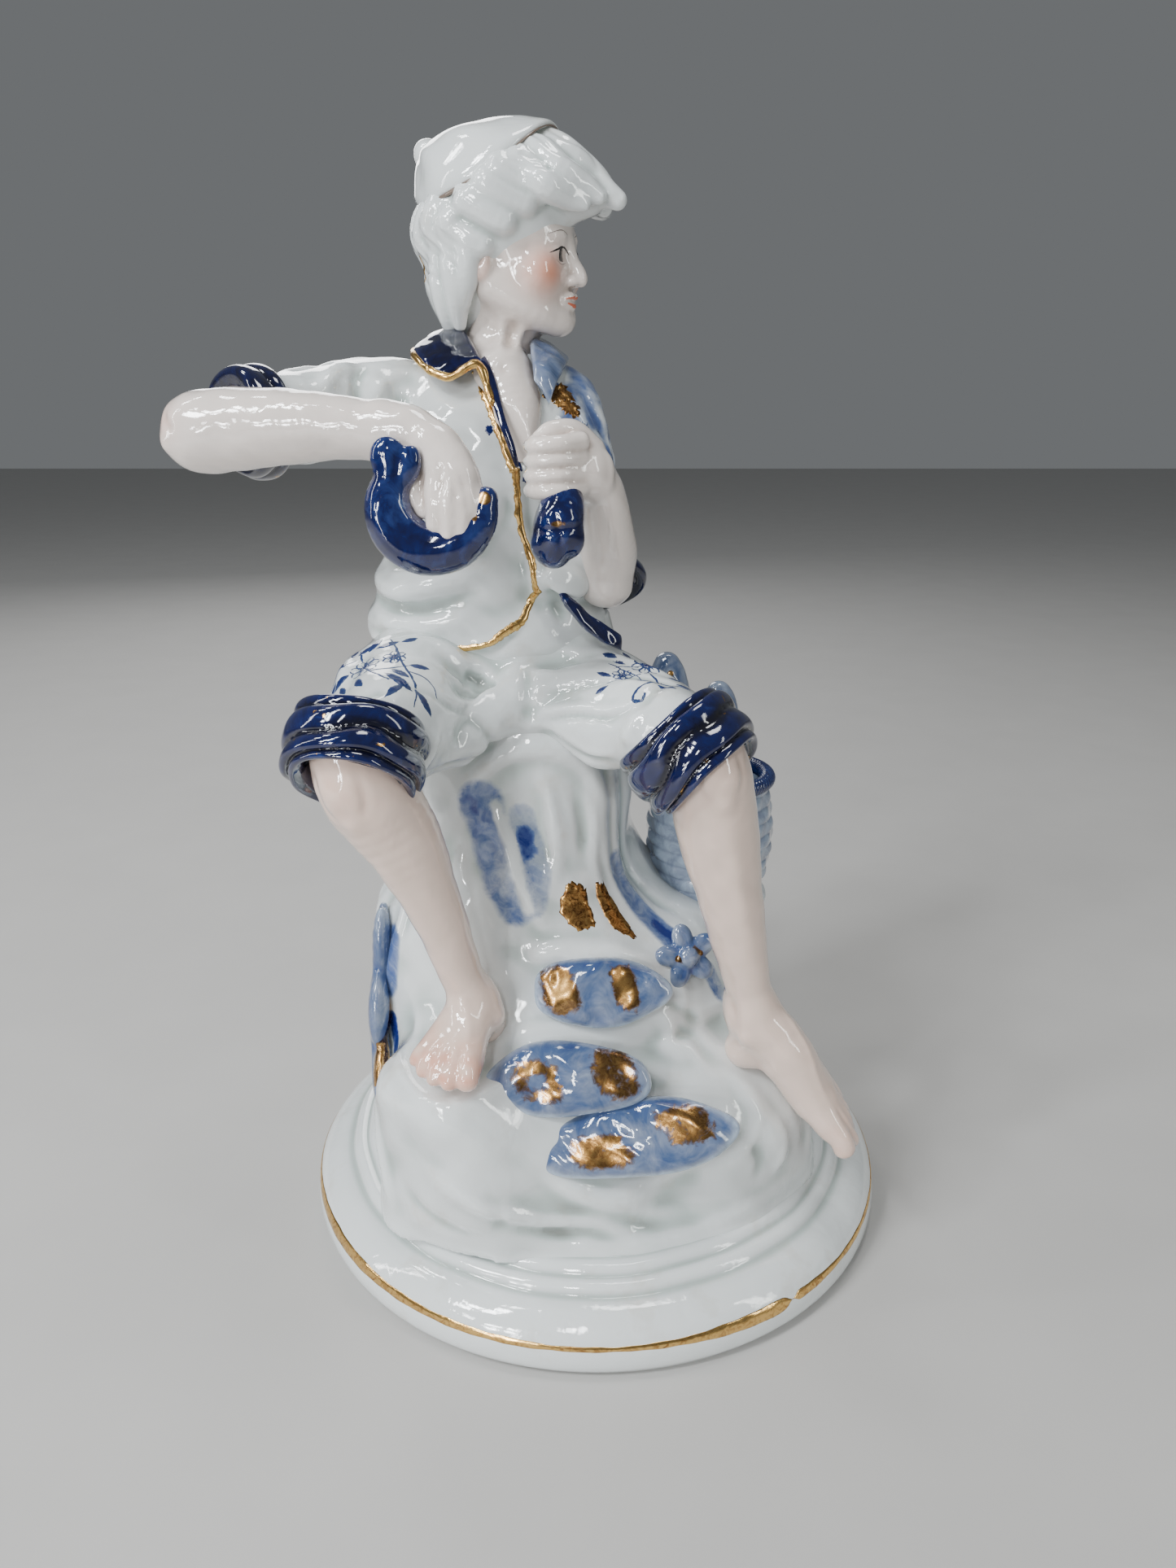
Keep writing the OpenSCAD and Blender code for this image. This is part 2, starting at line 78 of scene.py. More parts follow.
KNEE_R = spot("right_breeches_cuff", 0.5, 0.417, 0.464)
KNEE_L = spot("left_breeches_cuff", 0.599, 0.405, 0.54)
ANKLE_R = spot("right_lower_leg", 0.844, 0.768, 0.151)
ANKLE_L = spot("left_lower_leg", 0.477, 0.66, 0.324)
HIP_R = spot("breeches", 0.272, 0.693, 0.61)
HIP_L = spot("breeches", 0.545, 0.693, 0.61)
SHOULDER_R = spot("shirt_body", 0.153, 0.622, 0.846)
SHOULDER_L = spot("shirt_body", 0.784, 0.595, 0.829)
ELBOW_R = spot("right_forearm", 0.093, 0.643, 0.68)
WRIST_R = spot("right_forearm", 0.733, 0.315, 0.68)
ELBOW_L = spot("left_forearm", 0.71, 0.84, 0.134)
WRIST_L = spot("left_forearm", 0.62, 0.431, 0.695)
HEAD = spot("hair", 0.457, 0.468, 0.421)
BASKET = spot("basket_body", 0.5, 0.5, 0.0)
PLINTH_R = (corners("plinth")[1] - corners("plinth")[0])[0] / 2
DECK = corners("plinth")[1][2]
SEAT = corners("rock")[1][2]
FACE_TURN = math.radians(70)


# ---- small maths ---------------------------------------------------------------------------


def vec(*xyz):
    """Numbers, or rows of them, as an array."""
    return np.array(xyz, float)


def unit(v):
    """Each vector made one long."""
    v = np.asarray(v, float)
    return v / np.maximum(np.linalg.norm(v, axis=-1, keepdims=True), 1e-9)


def smooth_path(points, count):
    """A Catmull-Rom curve through the points, sampled evenly in its own parameter."""
    p = np.asarray(points, float)
    p = np.vstack([2 * p[0] - p[1], p, 2 * p[-1] - p[-2]])
    u = np.linspace(0, len(p) - 3, count)
    i = np.minimum(u.astype(int), len(p) - 4)
    t = (u - i)[:, None]
    a, b, c, d = p[i], p[i + 1], p[i + 2], p[i + 3]
    return 0.5 * (2 * b + (c - a) * t + (2 * a - 5 * b + 4 * c - d) * t**2 + (3 * b - a - 3 * c + d) * t**3)


def ease(x):
    """0 below 0, 1 above 1, and a smooth step between."""
    x = np.clip(x, 0, 1)
    return x * x * (3 - 2 * x)


def bell(x, width):
    """A bump of height 1 at x = 0 that dies away over its width."""
    return np.exp(-((x / width) ** 2))


def near(points, place, reach):
    """1 at a place, dying away over a reach, which may differ along each axis."""
    return bell(np.linalg.norm((points - np.asarray(place)) / reach, axis=1), 1)


def ripple(points, size, seed=0.0):
    """Soft uneven values between -1 and 1: sines along slanted directions, of a wavelength near size."""
    p = np.asarray(points, float) * (TAU / size)
    total = 0
    for k in range(5):
        w = vec(math.sin(1.7 * k + seed), math.cos(2.3 * k + 2 * seed), math.sin(3.1 * k + 1 + seed))
        total = total + np.sin(p @ (w * (0.7 + 0.17 * k)) + 1.9 * k + 3 * seed)
    return total / 3.2


def turned(points, angle):
    """Points turned about +Z."""
    p = np.asarray(points, float)
    c, s = math.cos(angle), math.sin(angle)
    return np.stack([p[..., 0] * c - p[..., 1] * s, p[..., 0] * s + p[..., 1] * c, p[..., 2]], -1)


def head_place(points):
    """From the head's own frame, with the face towards -Y, to its place on the neck."""
    return turned(points, FACE_TURN) + HEAD


def frames_along(path, up):
    """Two directions square to a path at each point; the first stays near up."""
    t = unit(np.gradient(path, axis=0))
    n = unit(np.asarray(up, float) - t * (t @ np.asarray(up, float))[:, None])
    return n, np.cross(t, n)


# ---- clay: a solid as a distance field on an even grid ---------------------------------------


class Clay:
    """A lump of clay: a field that is below zero inside, built up from soft strokes.

    Solids are joined by a smooth minimum, and strokes raise or sink the surface along a line
    by adding a bell curve of the distance from that line.
    """

    def __init__(self, low, high, step):
        self.low = np.array(low, float)
        self.step = step
        self.count = np.ceil((np.array(high, float) - self.low) / step).astype(int) + 1
        self.axes = [self.low[i] + step * np.arange(self.count[i]) for i in range(3)]
        self.field = np.full(self.count, 30.0, np.float32)

    def window(self, low, high):
        """Index slices of the grid that cover a box, and the grid points inside it."""
        a = np.clip(np.floor((np.array(low) - self.low) / self.step).astype(int), 0, self.count - 1)
        b = np.clip(np.ceil((np.array(high) - self.low) / self.step).astype(int) + 1, 1, self.count)
        cut = tuple(slice(a[i], max(b[i], a[i] + 1)) for i in range(3))
        grid = np.meshgrid(*[self.axes[i][cut[i]] for i in range(3)], indexing="ij")
        return cut, np.stack(grid, -1)

    def merge(self, cut, distance, blend, carve=False):
        """Joins a distance to the field by a smooth minimum, or takes it away if carve is set."""
        old = -self.field[cut] if carve else self.field[cut]
        h = np.clip(0.5 + 0.5 * (old - distance) / blend, 0, 1)
        new = old * (1 - h) + distance * h - blend * h * (1 - h)
        self.field[cut] = -new if carve else new

    def limb(self, points, radii, blend=2.0, squash=None, carve=False):
        """A tube through the points: the nearest of a row of cones, each a segment with two radii.

        squash is (axis, factor): across that axis the tube is factor times as thick.
        """
        n = 5 * len(points) - 4
        path = smooth_path(points, n)
        r = smooth_path(np.array(radii, float)[:, None], n)[:, 0]
        reach = r.max() + blend + 2 * self.step
        cut, grid = self.window(path.min(0) - reach, path.max(0) + reach)
        scale = 1.0
        if squash is not None:
            axis, scale = unit(squash[0]), squash[1]
            grid = grid + (grid @ axis)[..., None] * axis * (1 / scale - 1)
            path = path + (path @ axis)[:, None] * axis * (1 / scale - 1)
        best = np.full(grid.shape[:3], 1e3)
        for a, b, ra, rb in zip(path[:-1], path[1:], r[:-1], r[1:]):
            ab = b - a
            t = np.clip(((grid - a) @ ab) / max(ab @ ab, 1e-9), 0, 1)
            best = np.minimum(best, np.linalg.norm(grid - a - t[..., None] * ab,
                                                   axis=-1) - ra - t * (rb - ra))
        self.merge(cut, best * min(scale, 1.0), blend, carve)

    def egg(self, centre, half, blend=2.0, axes=None, carve=False):
        """An ellipsoid of the given half sizes along its own axes."""
        half = np.array(half, float)
        reach = half.max() + blend + 2 * self.step
        cut, grid = self.window(np.array(centre) - reach, np.array(centre) + reach)
        p = grid - centre
        if axes is not None:
            p = p @ np.array([unit(a) for a in axes]).T
        k0 = np.linalg.norm(p / half, axis=-1)
        k1 = np.linalg.norm(p / half**2, axis=-1)
        self.merge(cut, k0 * (k0 - 1) / np.maximum(k1, 1e-6), blend, carve)

    def column(self, slices, blend=2.0, swell=None):
        """An upright body whose level slices are ellipses: rows of height, centre x, y, half width, depth."""
        s = np.array(slices, float)
        z = np.linspace(s[0, 0], s[-1, 0], 80)
        dense = smooth_path(s, 80)
        rows = [np.interp(z, dense[:, 0], dense[:, i]) for i in range(1, 5)]
        wide = max(rows[2].max(), rows[3].max()) + blend + 4 * self.step
        low = [rows[0].min() - wide, rows[1].min() - wide, s[0, 0] - blend - 3]
        high = [rows[0].max() + wide, rows[1].max() + wide, s[-1, 0] + blend + 3]
        cut, grid = self.window(low, high)
        cx, cy, hw, hd = (np.interp(grid[..., 2], z, row) for row in rows)
        x, y = grid[..., 0] - cx, grid[..., 1] - cy
        if swell is not None:
            more = 1 + swell(np.arctan2(y, x), grid[..., 2])
            hw, hd = hw * more, hd * more
        k0 = np.sqrt((x / hw) ** 2 + (y / hd) ** 2)
        k1 = np.sqrt((x / hw**2) ** 2 + (y / hd**2) ** 2)
        side = k0 * (k0 - 1) / np.maximum(k1, 1e-6)
        side = np.where(k0 < 0.3, -np.minimum(hw, hd) * 0.7, side)
        ends = np.maximum(s[0, 0] - grid[..., 2], grid[..., 2] - s[-1, 0])
        self.merge(cut, np.maximum(side, ends), blend)

    def sample(self, points):
        """The field at any points, by trilinear steps."""
        q = (np.asarray(points, float) - self.low) / self.step
        i = np.clip(np.floor(q).astype(int), 0, self.count - 2)
        t = np.clip(q - i, 0, 1)
        out = 0
        for corner in np.ndindex(2, 2, 2):
            w = np.prod(np.where(corner, t, 1 - t), axis=-1)
            out = out + w * self.field[tuple((i + corner).T)]
        return out

    def settle(self, points):
        """Points moved along the field's slope until they lie on the surface."""
        p = np.array(points, float)
        e = self.step
        for _ in range(8):
            slope = np.stack([self.sample(p + d) - self.sample(p - d) for d in np.eye(3) * e], -1)
            size = np.maximum(np.linalg.norm(slope, axis=-1, keepdims=True), 1e-6)
            p = p - slope / size * np.clip(self.sample(p), -3, 3)[:, None]
        return p

    def stroke(self, points, width, height, taper=True):
        """Raises (or sinks, if height is below zero) the surface along a curve laid over it."""
        line = self.settle(smooth_path(points, 6 * len(points)))
        reach = 2.4 * width + self.step
        cut, grid = self.window(line.min(0) - reach, line.max(0) + reach)
        band = np.abs(self.field[cut]) < 2.5 * self.step + abs(height) + 1
        p = grid[band]
        best = np.full(len(p), 1e3)
        along = np.zeros(len(p))
        for k, (a, b) in enumerate(zip(line[:-1], line[1:])):
            ab = b - a
            t = np.clip(((p - a) @ ab) / max(ab @ ab, 1e-9), 0, 1)
            d = np.linalg.norm(p - a - t[:, None] * ab, axis=-1)
            nearer = d < best
            best = np.where(nearer, d, best)
            along = np.where(nearer, (k + t) / (len(line) - 1), along)
        fade = ease(np.minimum(along, 1 - along) * 2.8) if taper else 1.0
        part = self.field[cut]
        part[band] -= height * bell(best, width) * fade
        self.field[cut] = part

    def dab(self, centre, width, height):
        """Raises or sinks the surface in a round spot."""
        c = self.settle(np.array([centre], float))[0]
        cut, grid = self.window(c - 2.4 * width, c + 2.4 * width)
        self.field[cut] -= height * bell(np.linalg.norm(grid - c, axis=-1), width)

    def roughen(self, size, height, seed=0.0):
        """Uneven swellings all over, of a wavelength near size."""
        band = np.abs(self.field) < 3 * self.step + height
        where = np.argwhere(band) * self.step + self.low
        self.field[band] -= height * ripple(where, size, seed)

    def skin(self):
        """The surface where the field is zero: a point in each grid cell it crosses, joined in fours."""
        f = self.field
        f[0], f[-1], f[:, 0], f[:, -1], f[:, :, 0], f[:, :, -1] = (9.0,) * 6
        inside = f < 0
        corner = list(np.ndindex(2, 2, 2))
        shape = np.array(f.shape) - 1
        view = lambda g, c: g[c[0] : c[0] + shape[0], c[1] : c[1] + shape[1], c[2] : c[2] + shape[2]]
        hits = sum(view(inside, c).astype(np.int8) for c in corner)
        cells = np.argwhere((hits > 0) & (hits < 8))
        number = np.full(shape, -1, np.int64)
        number[tuple(cells.T)] = np.arange(len(cells))
        total, weight = np.zeros((len(cells), 3)), np.zeros(len(cells))
        for a in corner:
            for axis in range(3):
                if a[axis]:
                    continue
                b = tuple(1 if k == axis else a[k] for k in range(3))
                fa, fb = f[tuple((cells + a).T)], f[tuple((cells + b).T)]
                hit = (fa < 0) != (fb < 0)
                t = np.where(hit, fa / np.where(hit, fa - fb, 1), 0)
                total[hit] += (np.array(a) + np.outer(t, np.array(b) - a))[hit]
                weight[hit] += 1
        verts = self.low + self.step * (cells + total / weight[:, None])
        quads = []
        for axis in range(3):
            u, v = (axis + 1) % 3, (axis + 2) % 3
            first = [slice(1, -1)] * 3
            second = [slice(1, -1)] * 3
            first[axis], second[axis] = slice(0, -1), slice(1, None)
            a, b = inside[tuple(first)], inside[tuple(second)]
            where = np.argwhere(a != b) + [0 if k == axis else 1 for k in range(3)]
            out = ~a[a != b]
            ring = []
            for du, dv in ((0, 0), (-1, 0), (-1, -1), (0, -1)):
                shift = np.zeros(3, int)
                shift[u], shift[v] = du, dv
                ring.append(number[tuple((where + shift).T)])
            quad = np.stack(ring, -1)
            quad[out] = quad[out][:, ::-1]
            quads.append(quad)
        quads = np.concatenate(quads)[:, ::-1]
        verts = relaxed(verts, quads, 2)
        return verts, outward(verts, quads)


def edge_pairs(quads):
    """Both directions of every edge, as pairs of point numbers."""
    pairs = np.concatenate([quads[:, [k, (k + 1) % quads.shape[1]]] for k in range(quads.shape[1])])
    return np.concatenate([pairs, pairs[:, ::-1]])


def neighbour_mean(values, pairs, count):
    """The mean of a value over each point's neighbours."""
    n = np.maximum(np.bincount(pairs[:, 0], minlength=count), 1)
    if values.ndim == 1:
        return np.bincount(pairs[:, 0], values[pairs[:, 1]], count) / n
    return np.stack([np.bincount(pairs[:, 0], values[pairs[:, 1], i], count) / n for i in range(3)], -1)


def relaxed(verts, quads, rounds):
    """Evens out grid marks: each round steps towards the neighbours' mean and then part of the way back."""
    pairs = edge_pairs(quads)
    for _ in range(rounds):
        verts = verts + 0.5 * (neighbour_mean(verts, pairs, len(verts)) - verts)
        verts = verts - 0.52 * (neighbour_mean(verts, pairs, len(verts)) - verts)
    return verts


def normals_of(verts, quads):
    """A normal at each point: the sum of the cross products of its faces' diagonals."""
    across = np.cross(verts[quads[:, 2]] - verts[quads[:, 0]], verts[quads[:, 3]] - verts[quads[:, 1]])
    out = np.zeros_like(verts)
    for k in range(4):
        for i in range(3):
            out[:, i] += np.bincount(quads[:, k], across[:, i], len(verts))
    return unit(out)


def outward(verts, faces):
    """The faces, turned over if the shell they close has a volume below zero."""
    a, b, c, d = (verts[faces[:, k]] for k in range(4))
    volume = (a * np.cross(b, c)).sum() + (a * np.cross(c, d)).sum()
    return faces if volume > 0 else faces[:, ::-1]


# the glazes read this as painted shade in creases and painted highlight on ridges, besides pooled glaze
def hollows(verts, quads, rounds=6, gain=1.0):
    """How deep each point lies in a hollow: above zero in a crease and below zero on a ridge.

    It is the distance from a point to its neighbours' mean along the normal, spread over a few rounds.
    """
    pairs = edge_pairs(quads)
    broad = verts
    for _ in range(rounds):
        broad = neighbour_mean(broad, pairs, len(verts))
    depth = ((broad - verts) * normals_of(verts, quads)).sum(-1)
    for _ in range(2):
        depth = neighbour_mean(depth, pairs, len(verts))
    return np.clip(depth * gain, -1, 1)


# ---- surfaces on a grid ------------------------------------------------------------------------


def tube_faces(rings, sides):
    """Faces between rings of points that follow each other, with a fan to one point at either end."""
    row, k = np.meshgrid(np.arange(rings - 1), np.arange(sides), indexing="ij")
    a, b = row * sides + k, row * sides + (k + 1) % sides
    quads = np.stack([a, b, b + sides, a + sides], -1).reshape(-1, 4)
    k = np.arange(sides)
    after = (k + 1) % sides
    start, last = rings * sides, (rings - 1) * sides
    near = np.stack([after, k, np.full(sides, start), np.full(sides, start)], -1)
    far = np.stack([last + k, last + after, np.full(sides, start + 1), np.full(sides, start + 1)], -1)
    return np.concatenate([quads, near, far])


def closed_tube(rings):
    """A closed skin over an array of rings (rings, sides, 3), with each end drawn to its middle."""
    verts = np.concatenate([rings.reshape(-1, 3), rings[:1].mean(1), rings[-1:].mean(1)])
    return verts, outward(verts, tube_faces(rings.shape[0], rings.shape[1]))


def closed_ring(rings):
    """A closed skin over rings whose last joins the first, such as a hoop."""
    m, n = rings.shape[:2]
    row, k = np.meshgrid(np.arange(m), np.arange(n), indexing="ij")
    a, b = row * n + k, row * n + (k + 1) % n
    c, d = (row + 1) % m * n + (k + 1) % n, (row + 1) % m * n + k
    verts = rings.reshape(-1, 3)
    return verts, outward(verts, np.stack([a, b, c, d], -1).reshape(-1, 4))


def make_piece(name, verts, faces, glaze, nodes=(), marks=None):
    """Puts a surface into a mesh in metres, glazes it, and lets it ride on the frame.

    A face with one corner twice is a triangle. marks are values for each point that the glaze reads:
    pool (depth in a crease, from which the glaze paints shade in creases and highlight on ridges, besides
    pooled glaze), blue and gilt (how much paint), blush (warmth).
    """
    three = (faces[:, 2] == faces[:, 3]) | (faces[:, 0] == faces[:, 1])
    flat = faces[three]
    flat = np.where((flat[:, 0] == flat[:, 1])[:, None], flat[:, 1:], flat[:, :3])
    loops = np.concatenate([faces[~three].ravel(), flat.ravel()])
    sizes = np.concatenate([np.full(int((~three).sum()), 4), np.full(len(flat), 3)])
    mesh = bpy.data.meshes.new(name)
    mesh.vertices.add(len(verts))
    mesh.vertices.foreach_set("co", (verts * MM).astype(np.float32).ravel())
    mesh.loops.add(len(loops))
    mesh.loops.foreach_set("vertex_index", loops.astype(np.int32))
    mesh.polygons.add(len(sizes))
    mesh.polygons.foreach_set("loop_start", (np.cumsum(sizes) - sizes).astype(np.int32))
    mesh.update(calc_edges=True)
    mesh.validate()
    mesh.shade_smooth()
    mesh.materials.append(GLAZES[glaze])
    for label, values in (marks or {}).items():
        layer = mesh.attributes.new(label, "FLOAT", "POINT")
        layer.data.foreach_set("value", np.broadcast_to(values, len(verts)).astype(np.float32))
    piece = bpy.data.objects.new(name, mesh)
    bpy.context.scene.collection.objects.link(piece)
    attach(piece, "root")
    if nodes:
        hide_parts(*nodes)


def join_shells(shells):
    """Several closed shells as one list of points and faces, with their marks joined too."""
    verts, faces, marks, base = [], [], {}, 0
    for v, f, m in shells:
        verts.append(v)
        faces.append(f + base)
        base += len(v)
        for label, values in m.items():
            marks.setdefault(label, []).append(np.broadcast_to(values, len(v)))
    return np.concatenate(verts), np.concatenate(faces), {k: np.concatenate(v) for k, v in marks.items()}


def lay_paint(name, shells, glaze, place=None):
    """Several strokes of one paint as one piece, moved by place if it is given."""
    verts, faces, marks = join_shells(shells)
    make_piece(name, place(verts) if place else verts, faces, glaze, marks=marks)


# ---- paint laid on the clay --------------------------------------------------------------------


def slope_of(clay, points):
    """The outward direction at points of the surface, from the field's differences."""
    e = clay.step
    return unit(np.stack([clay.sample(points + d) - clay.sample(points - d) for d in np.eye(3) * e], -1))


def brush_line(clay, points, width, lift=0.12, ragged=0.12, seed=0.0, strength=1.0):
    """A painted line: a thin lens of paint carried along a curve laid on the clay.

    Its half width follows the width list, made uneven by ripples, and its middle stands up by lift.
    """
    rough = smooth_path(points, 40)
    length = np.linalg.norm(np.diff(rough, axis=0), axis=1).sum()
    n = int(np.clip(length / 0.35, 10, 420))
    path = clay.settle(smooth_path(points, n))
    heading = unit(np.gradient(path, axis=0))
    side = unit(np.cross(heading, slope_of(clay, path)))
    across = np.linspace(-1, 1, 7)
    w = np.interp(np.linspace(0, 1, n), np.linspace(0, 1, len(width)), width) / 2
    edge = [1 + ragged * ripple(path, 2.2, seed + k) + 0.6 * ragged * ripple(path, 0.8,
                                                                             seed + k) for k in (0, 5)]
    spread = np.where(across[None] < 0, edge[0][:, None], edge[1][:, None]) * w[:, None] * across
    top = clay.settle((path[:, None] + spread[..., None] * side[:, None]).reshape(-1, 3))
    out = slope_of(clay, top)
    dome = np.tile(lift * (1 - across**2) - 0.03, n)[:, None]
    upper = (top + out * dome).reshape(n, 7, 3)
    lower = (top - 0.3 * out).reshape(n, 7, 3)[:, ::-1]
    v, f = closed_tube(np.concatenate([upper, lower], 1))
    return v, f, {"strength": strength}


def brush_patch(clay, centre, along, across, outline, lift=0.1, sides=56, rings=7, strength=1.0, fade=0.0):
    """A painted patch: a shell over an outline, radius by angle in mm, laid on the clay.

    fade is how much fainter the paint is at the edge than in the middle.
    """
    turn = np.linspace(0, TAU, sides, endpoint=False)
    radius = outline(turn)
    share = np.linspace(0, 1, rings)[1:]
    flat = share[:, None, None] * radius[None, :, None] * (
        np.cos(turn)[None, :, None] * unit(along) + np.sin(turn)[None, :, None] * unit(across))
    top = clay.settle((np.asarray(centre) + flat).reshape(-1, 3))
    out = slope_of(clay, top)
    dome = np.repeat(lift * (1 - share**6) - 0.03, sides)[:, None]
    upper = (top + out * dome).reshape(rings - 1, sides, 3)
    lower = (top - 0.3 * out).reshape(rings - 1, sides, 3)[::-1]
    v, f = closed_tube(np.concatenate([upper, lower]))
    pale = strength * (1 - fade * np.repeat(share, sides) ** 2)
    marks = np.concatenate([pale, pale[::-1], [strength, strength]])
    return v, f, {"strength": marks}


def blob(length, width, ragged=0.12, seed=0.0):
    """An outline: an ellipse whose radius is made uneven by three sines."""
    def radius(turn):
        base = 1 / np.sqrt((np.cos(turn) / length) ** 2 + (np.sin(turn) / width) ** 2)
        return base * (1 + ragged * (np.sin(5 * turn + seed) + np.sin(11 * turn + 2 * seed)
                                     + 0.7 * np.sin(23 * turn + 3 * seed)) / 2)
    return radius


# ---- glazes ------------------------------------------------------------------------------------


def node_of(tree, kind, x, y, **values):
    """Adds a shader node; each value sets the property or the input of that name."""
    node = tree.nodes.new(kind)
    node.location = (x, y)
    for key, value in values.items():
        if hasattr(node, key):
            setattr(node, key, value)
        else:
            node.inputs[key].default_value = value
    return node


def ramp_of(tree, source, stops, x, y):
    """A colour ramp over a value: stops are (place, colour)."""
    ramp = node_of(tree, "ShaderNodeValToRGB", x, y)
    while len(ramp.color_ramp.elements) < len(stops):
        ramp.color_ramp.elements.new(0.5)
    for element, (place, colour) in zip(ramp.color_ramp.elements, stops):
        element.position = place
        element.color = (*colour, 1)
    tree.links.new(source, ramp.inputs["Fac"])
    return ramp.outputs["Color"]


def noise_of(tree, coords, scale, detail=3.0, roughness=0.55, distortion=0.0, x=-900, y=0):
    """A noise of the given scale over the coordinates."""
    noise = node_of(tree, "ShaderNodeTexNoise", x, y, Scale=scale, Detail=detail, Roughness=roughness,
                    Distortion=distortion)
    tree.links.new(coords, noise.inputs["Vector"])
    return noise.outputs["Fac"]


def maths(tree, what, a, b, x=-600, y=0, clamp=False):
    """A maths node whose two inputs are numbers or sockets."""
    node = node_of(tree, "ShaderNodeMath", x, y, operation=what, use_clamp=clamp)
    for socket, value in zip(node.inputs, (a, b)):
        if isinstance(value, (int, float)):
            socket.default_value = value
        else:
            tree.links.new(value, socket)
    return node.outputs[0]


def mixed(tree, factor, a, b, x=-300, y=0):
    """Two colours mixed by a factor; each is a colour or a socket."""
    node = node_of(tree, "ShaderNodeMix", x, y, data_type="RGBA")
    for socket, value in ((node.inputs[0], factor), (node.inputs[6], a), (node.inputs[7], b)):
        if isinstance(value, (int, float)):
            socket.default_value = value
        elif isinstance(value, tuple):
            socket.default_value = (*value, 1)
        else:
            tree.links.new(value, socket)
    return node.outputs[2]


def mark_of(tree, label, x=-1100, y=0):
    """The value of one of the mesh's own marks."""
    return node_of(tree, "ShaderNodeAttribute", x, y, attribute_name=label).outputs["Fac"]


def new_glaze(name, roughness, wave=0.25, coat=0.0):
    """A glossy glaze with a clear, slightly wavy surface: returns material, tree, shader and coords."""
    material = bpy.data.materials.new(name)
    material.use_nodes = True
    tree = material.node_tree
    shader = tree.nodes["Principled BSDF"]
    shader.inputs["IOR"].default_value = 1.52
    shader.inputs["Coat Weight"].default_value = coat
    shader.inputs["Coat Roughness"].default_value = 0.03
    coords = node_of(tree, "ShaderNodeTexCoord", -1400, 0).outputs["Object"]
    broad = noise_of(tree, coords, 120, detail=2, distortion=0.6, x=-900, y=-500)
    fine = noise_of(tree, coords, 420, detail=2, x=-900, y=-700)
    height = maths(tree, "ADD", broad, maths(tree, "MULTIPLY", fine, 0.14, y=-700), y=-560)
    bump = node_of(tree, "ShaderNodeBump", -300, -500, Strength=wave, Distance=0.0006)
    tree.links.new(height, bump.inputs["Height"])
    tree.links.new(bump.outputs["Normal"], shader.inputs["Normal"])
    patchy = noise_of(tree, coords, 260, detail=3, x=-900, y=-300)
    tree.links.new(maths(tree, "MULTIPLY_ADD", patchy, 0.05, x=-300, y=-300), shader.inputs["Roughness"])
    shader.inputs["Roughness"].links[0].from_node.inputs[2].default_value = roughness
    return material, tree, shader, coords


def broken(tree, mark, coords, scale, amount, x, y, edge=0.5, hard=6.0):
    """A painted mark with uneven edges: noise is added, and the sum is hardened at the edge value."""
    noise = noise_of(tree, coords, scale, detail=5, roughness=0.65, distortion=0.8, x=x - 300, y=y - 150)
    uneven = maths(tree, "MULTIPLY_ADD", noise, amount, x - 150, y)
    tree.links.new(mark, uneven.node.inputs[2])
    off = maths(tree, "SUBTRACT", uneven, 0.5 * amount + edge, x - 50, y)
    return maths(tree, "MULTIPLY", off, hard, x, y, clamp=True), off


def gilt_colours(tree, coords, gold, off, x, y):
    """Burnished gold, thinner and browner at its edges, with brush scratches: colour and roughness."""
    streak = noise_of(tree, coords, 480, detail=6, roughness=0.72, distortion=2.0, x=x - 600, y=y)
    tone = maths(tree, "ADD", streak, maths(tree, "MULTIPLY", off, 0.55, x - 500, y - 100), x - 400, y)
    stops = [(0.40, shade(gold, 0.09, (1.1, 0.8, 0.8))), (0.58, shade(gold, 0.30, (1.0, 0.8, 0.72))),
             (0.80, shade(gold, 0.8, (1.0, 0.9, 0.8)))]
    colour = ramp_of(tree, tone, stops, x - 300, y)
    rough = maths(tree, "MULTIPLY_ADD", streak, -0.35, x - 300, y - 200, clamp=True)
    rough.node.inputs[2].default_value = 0.44
    return colour, rough


GLAZES = {}


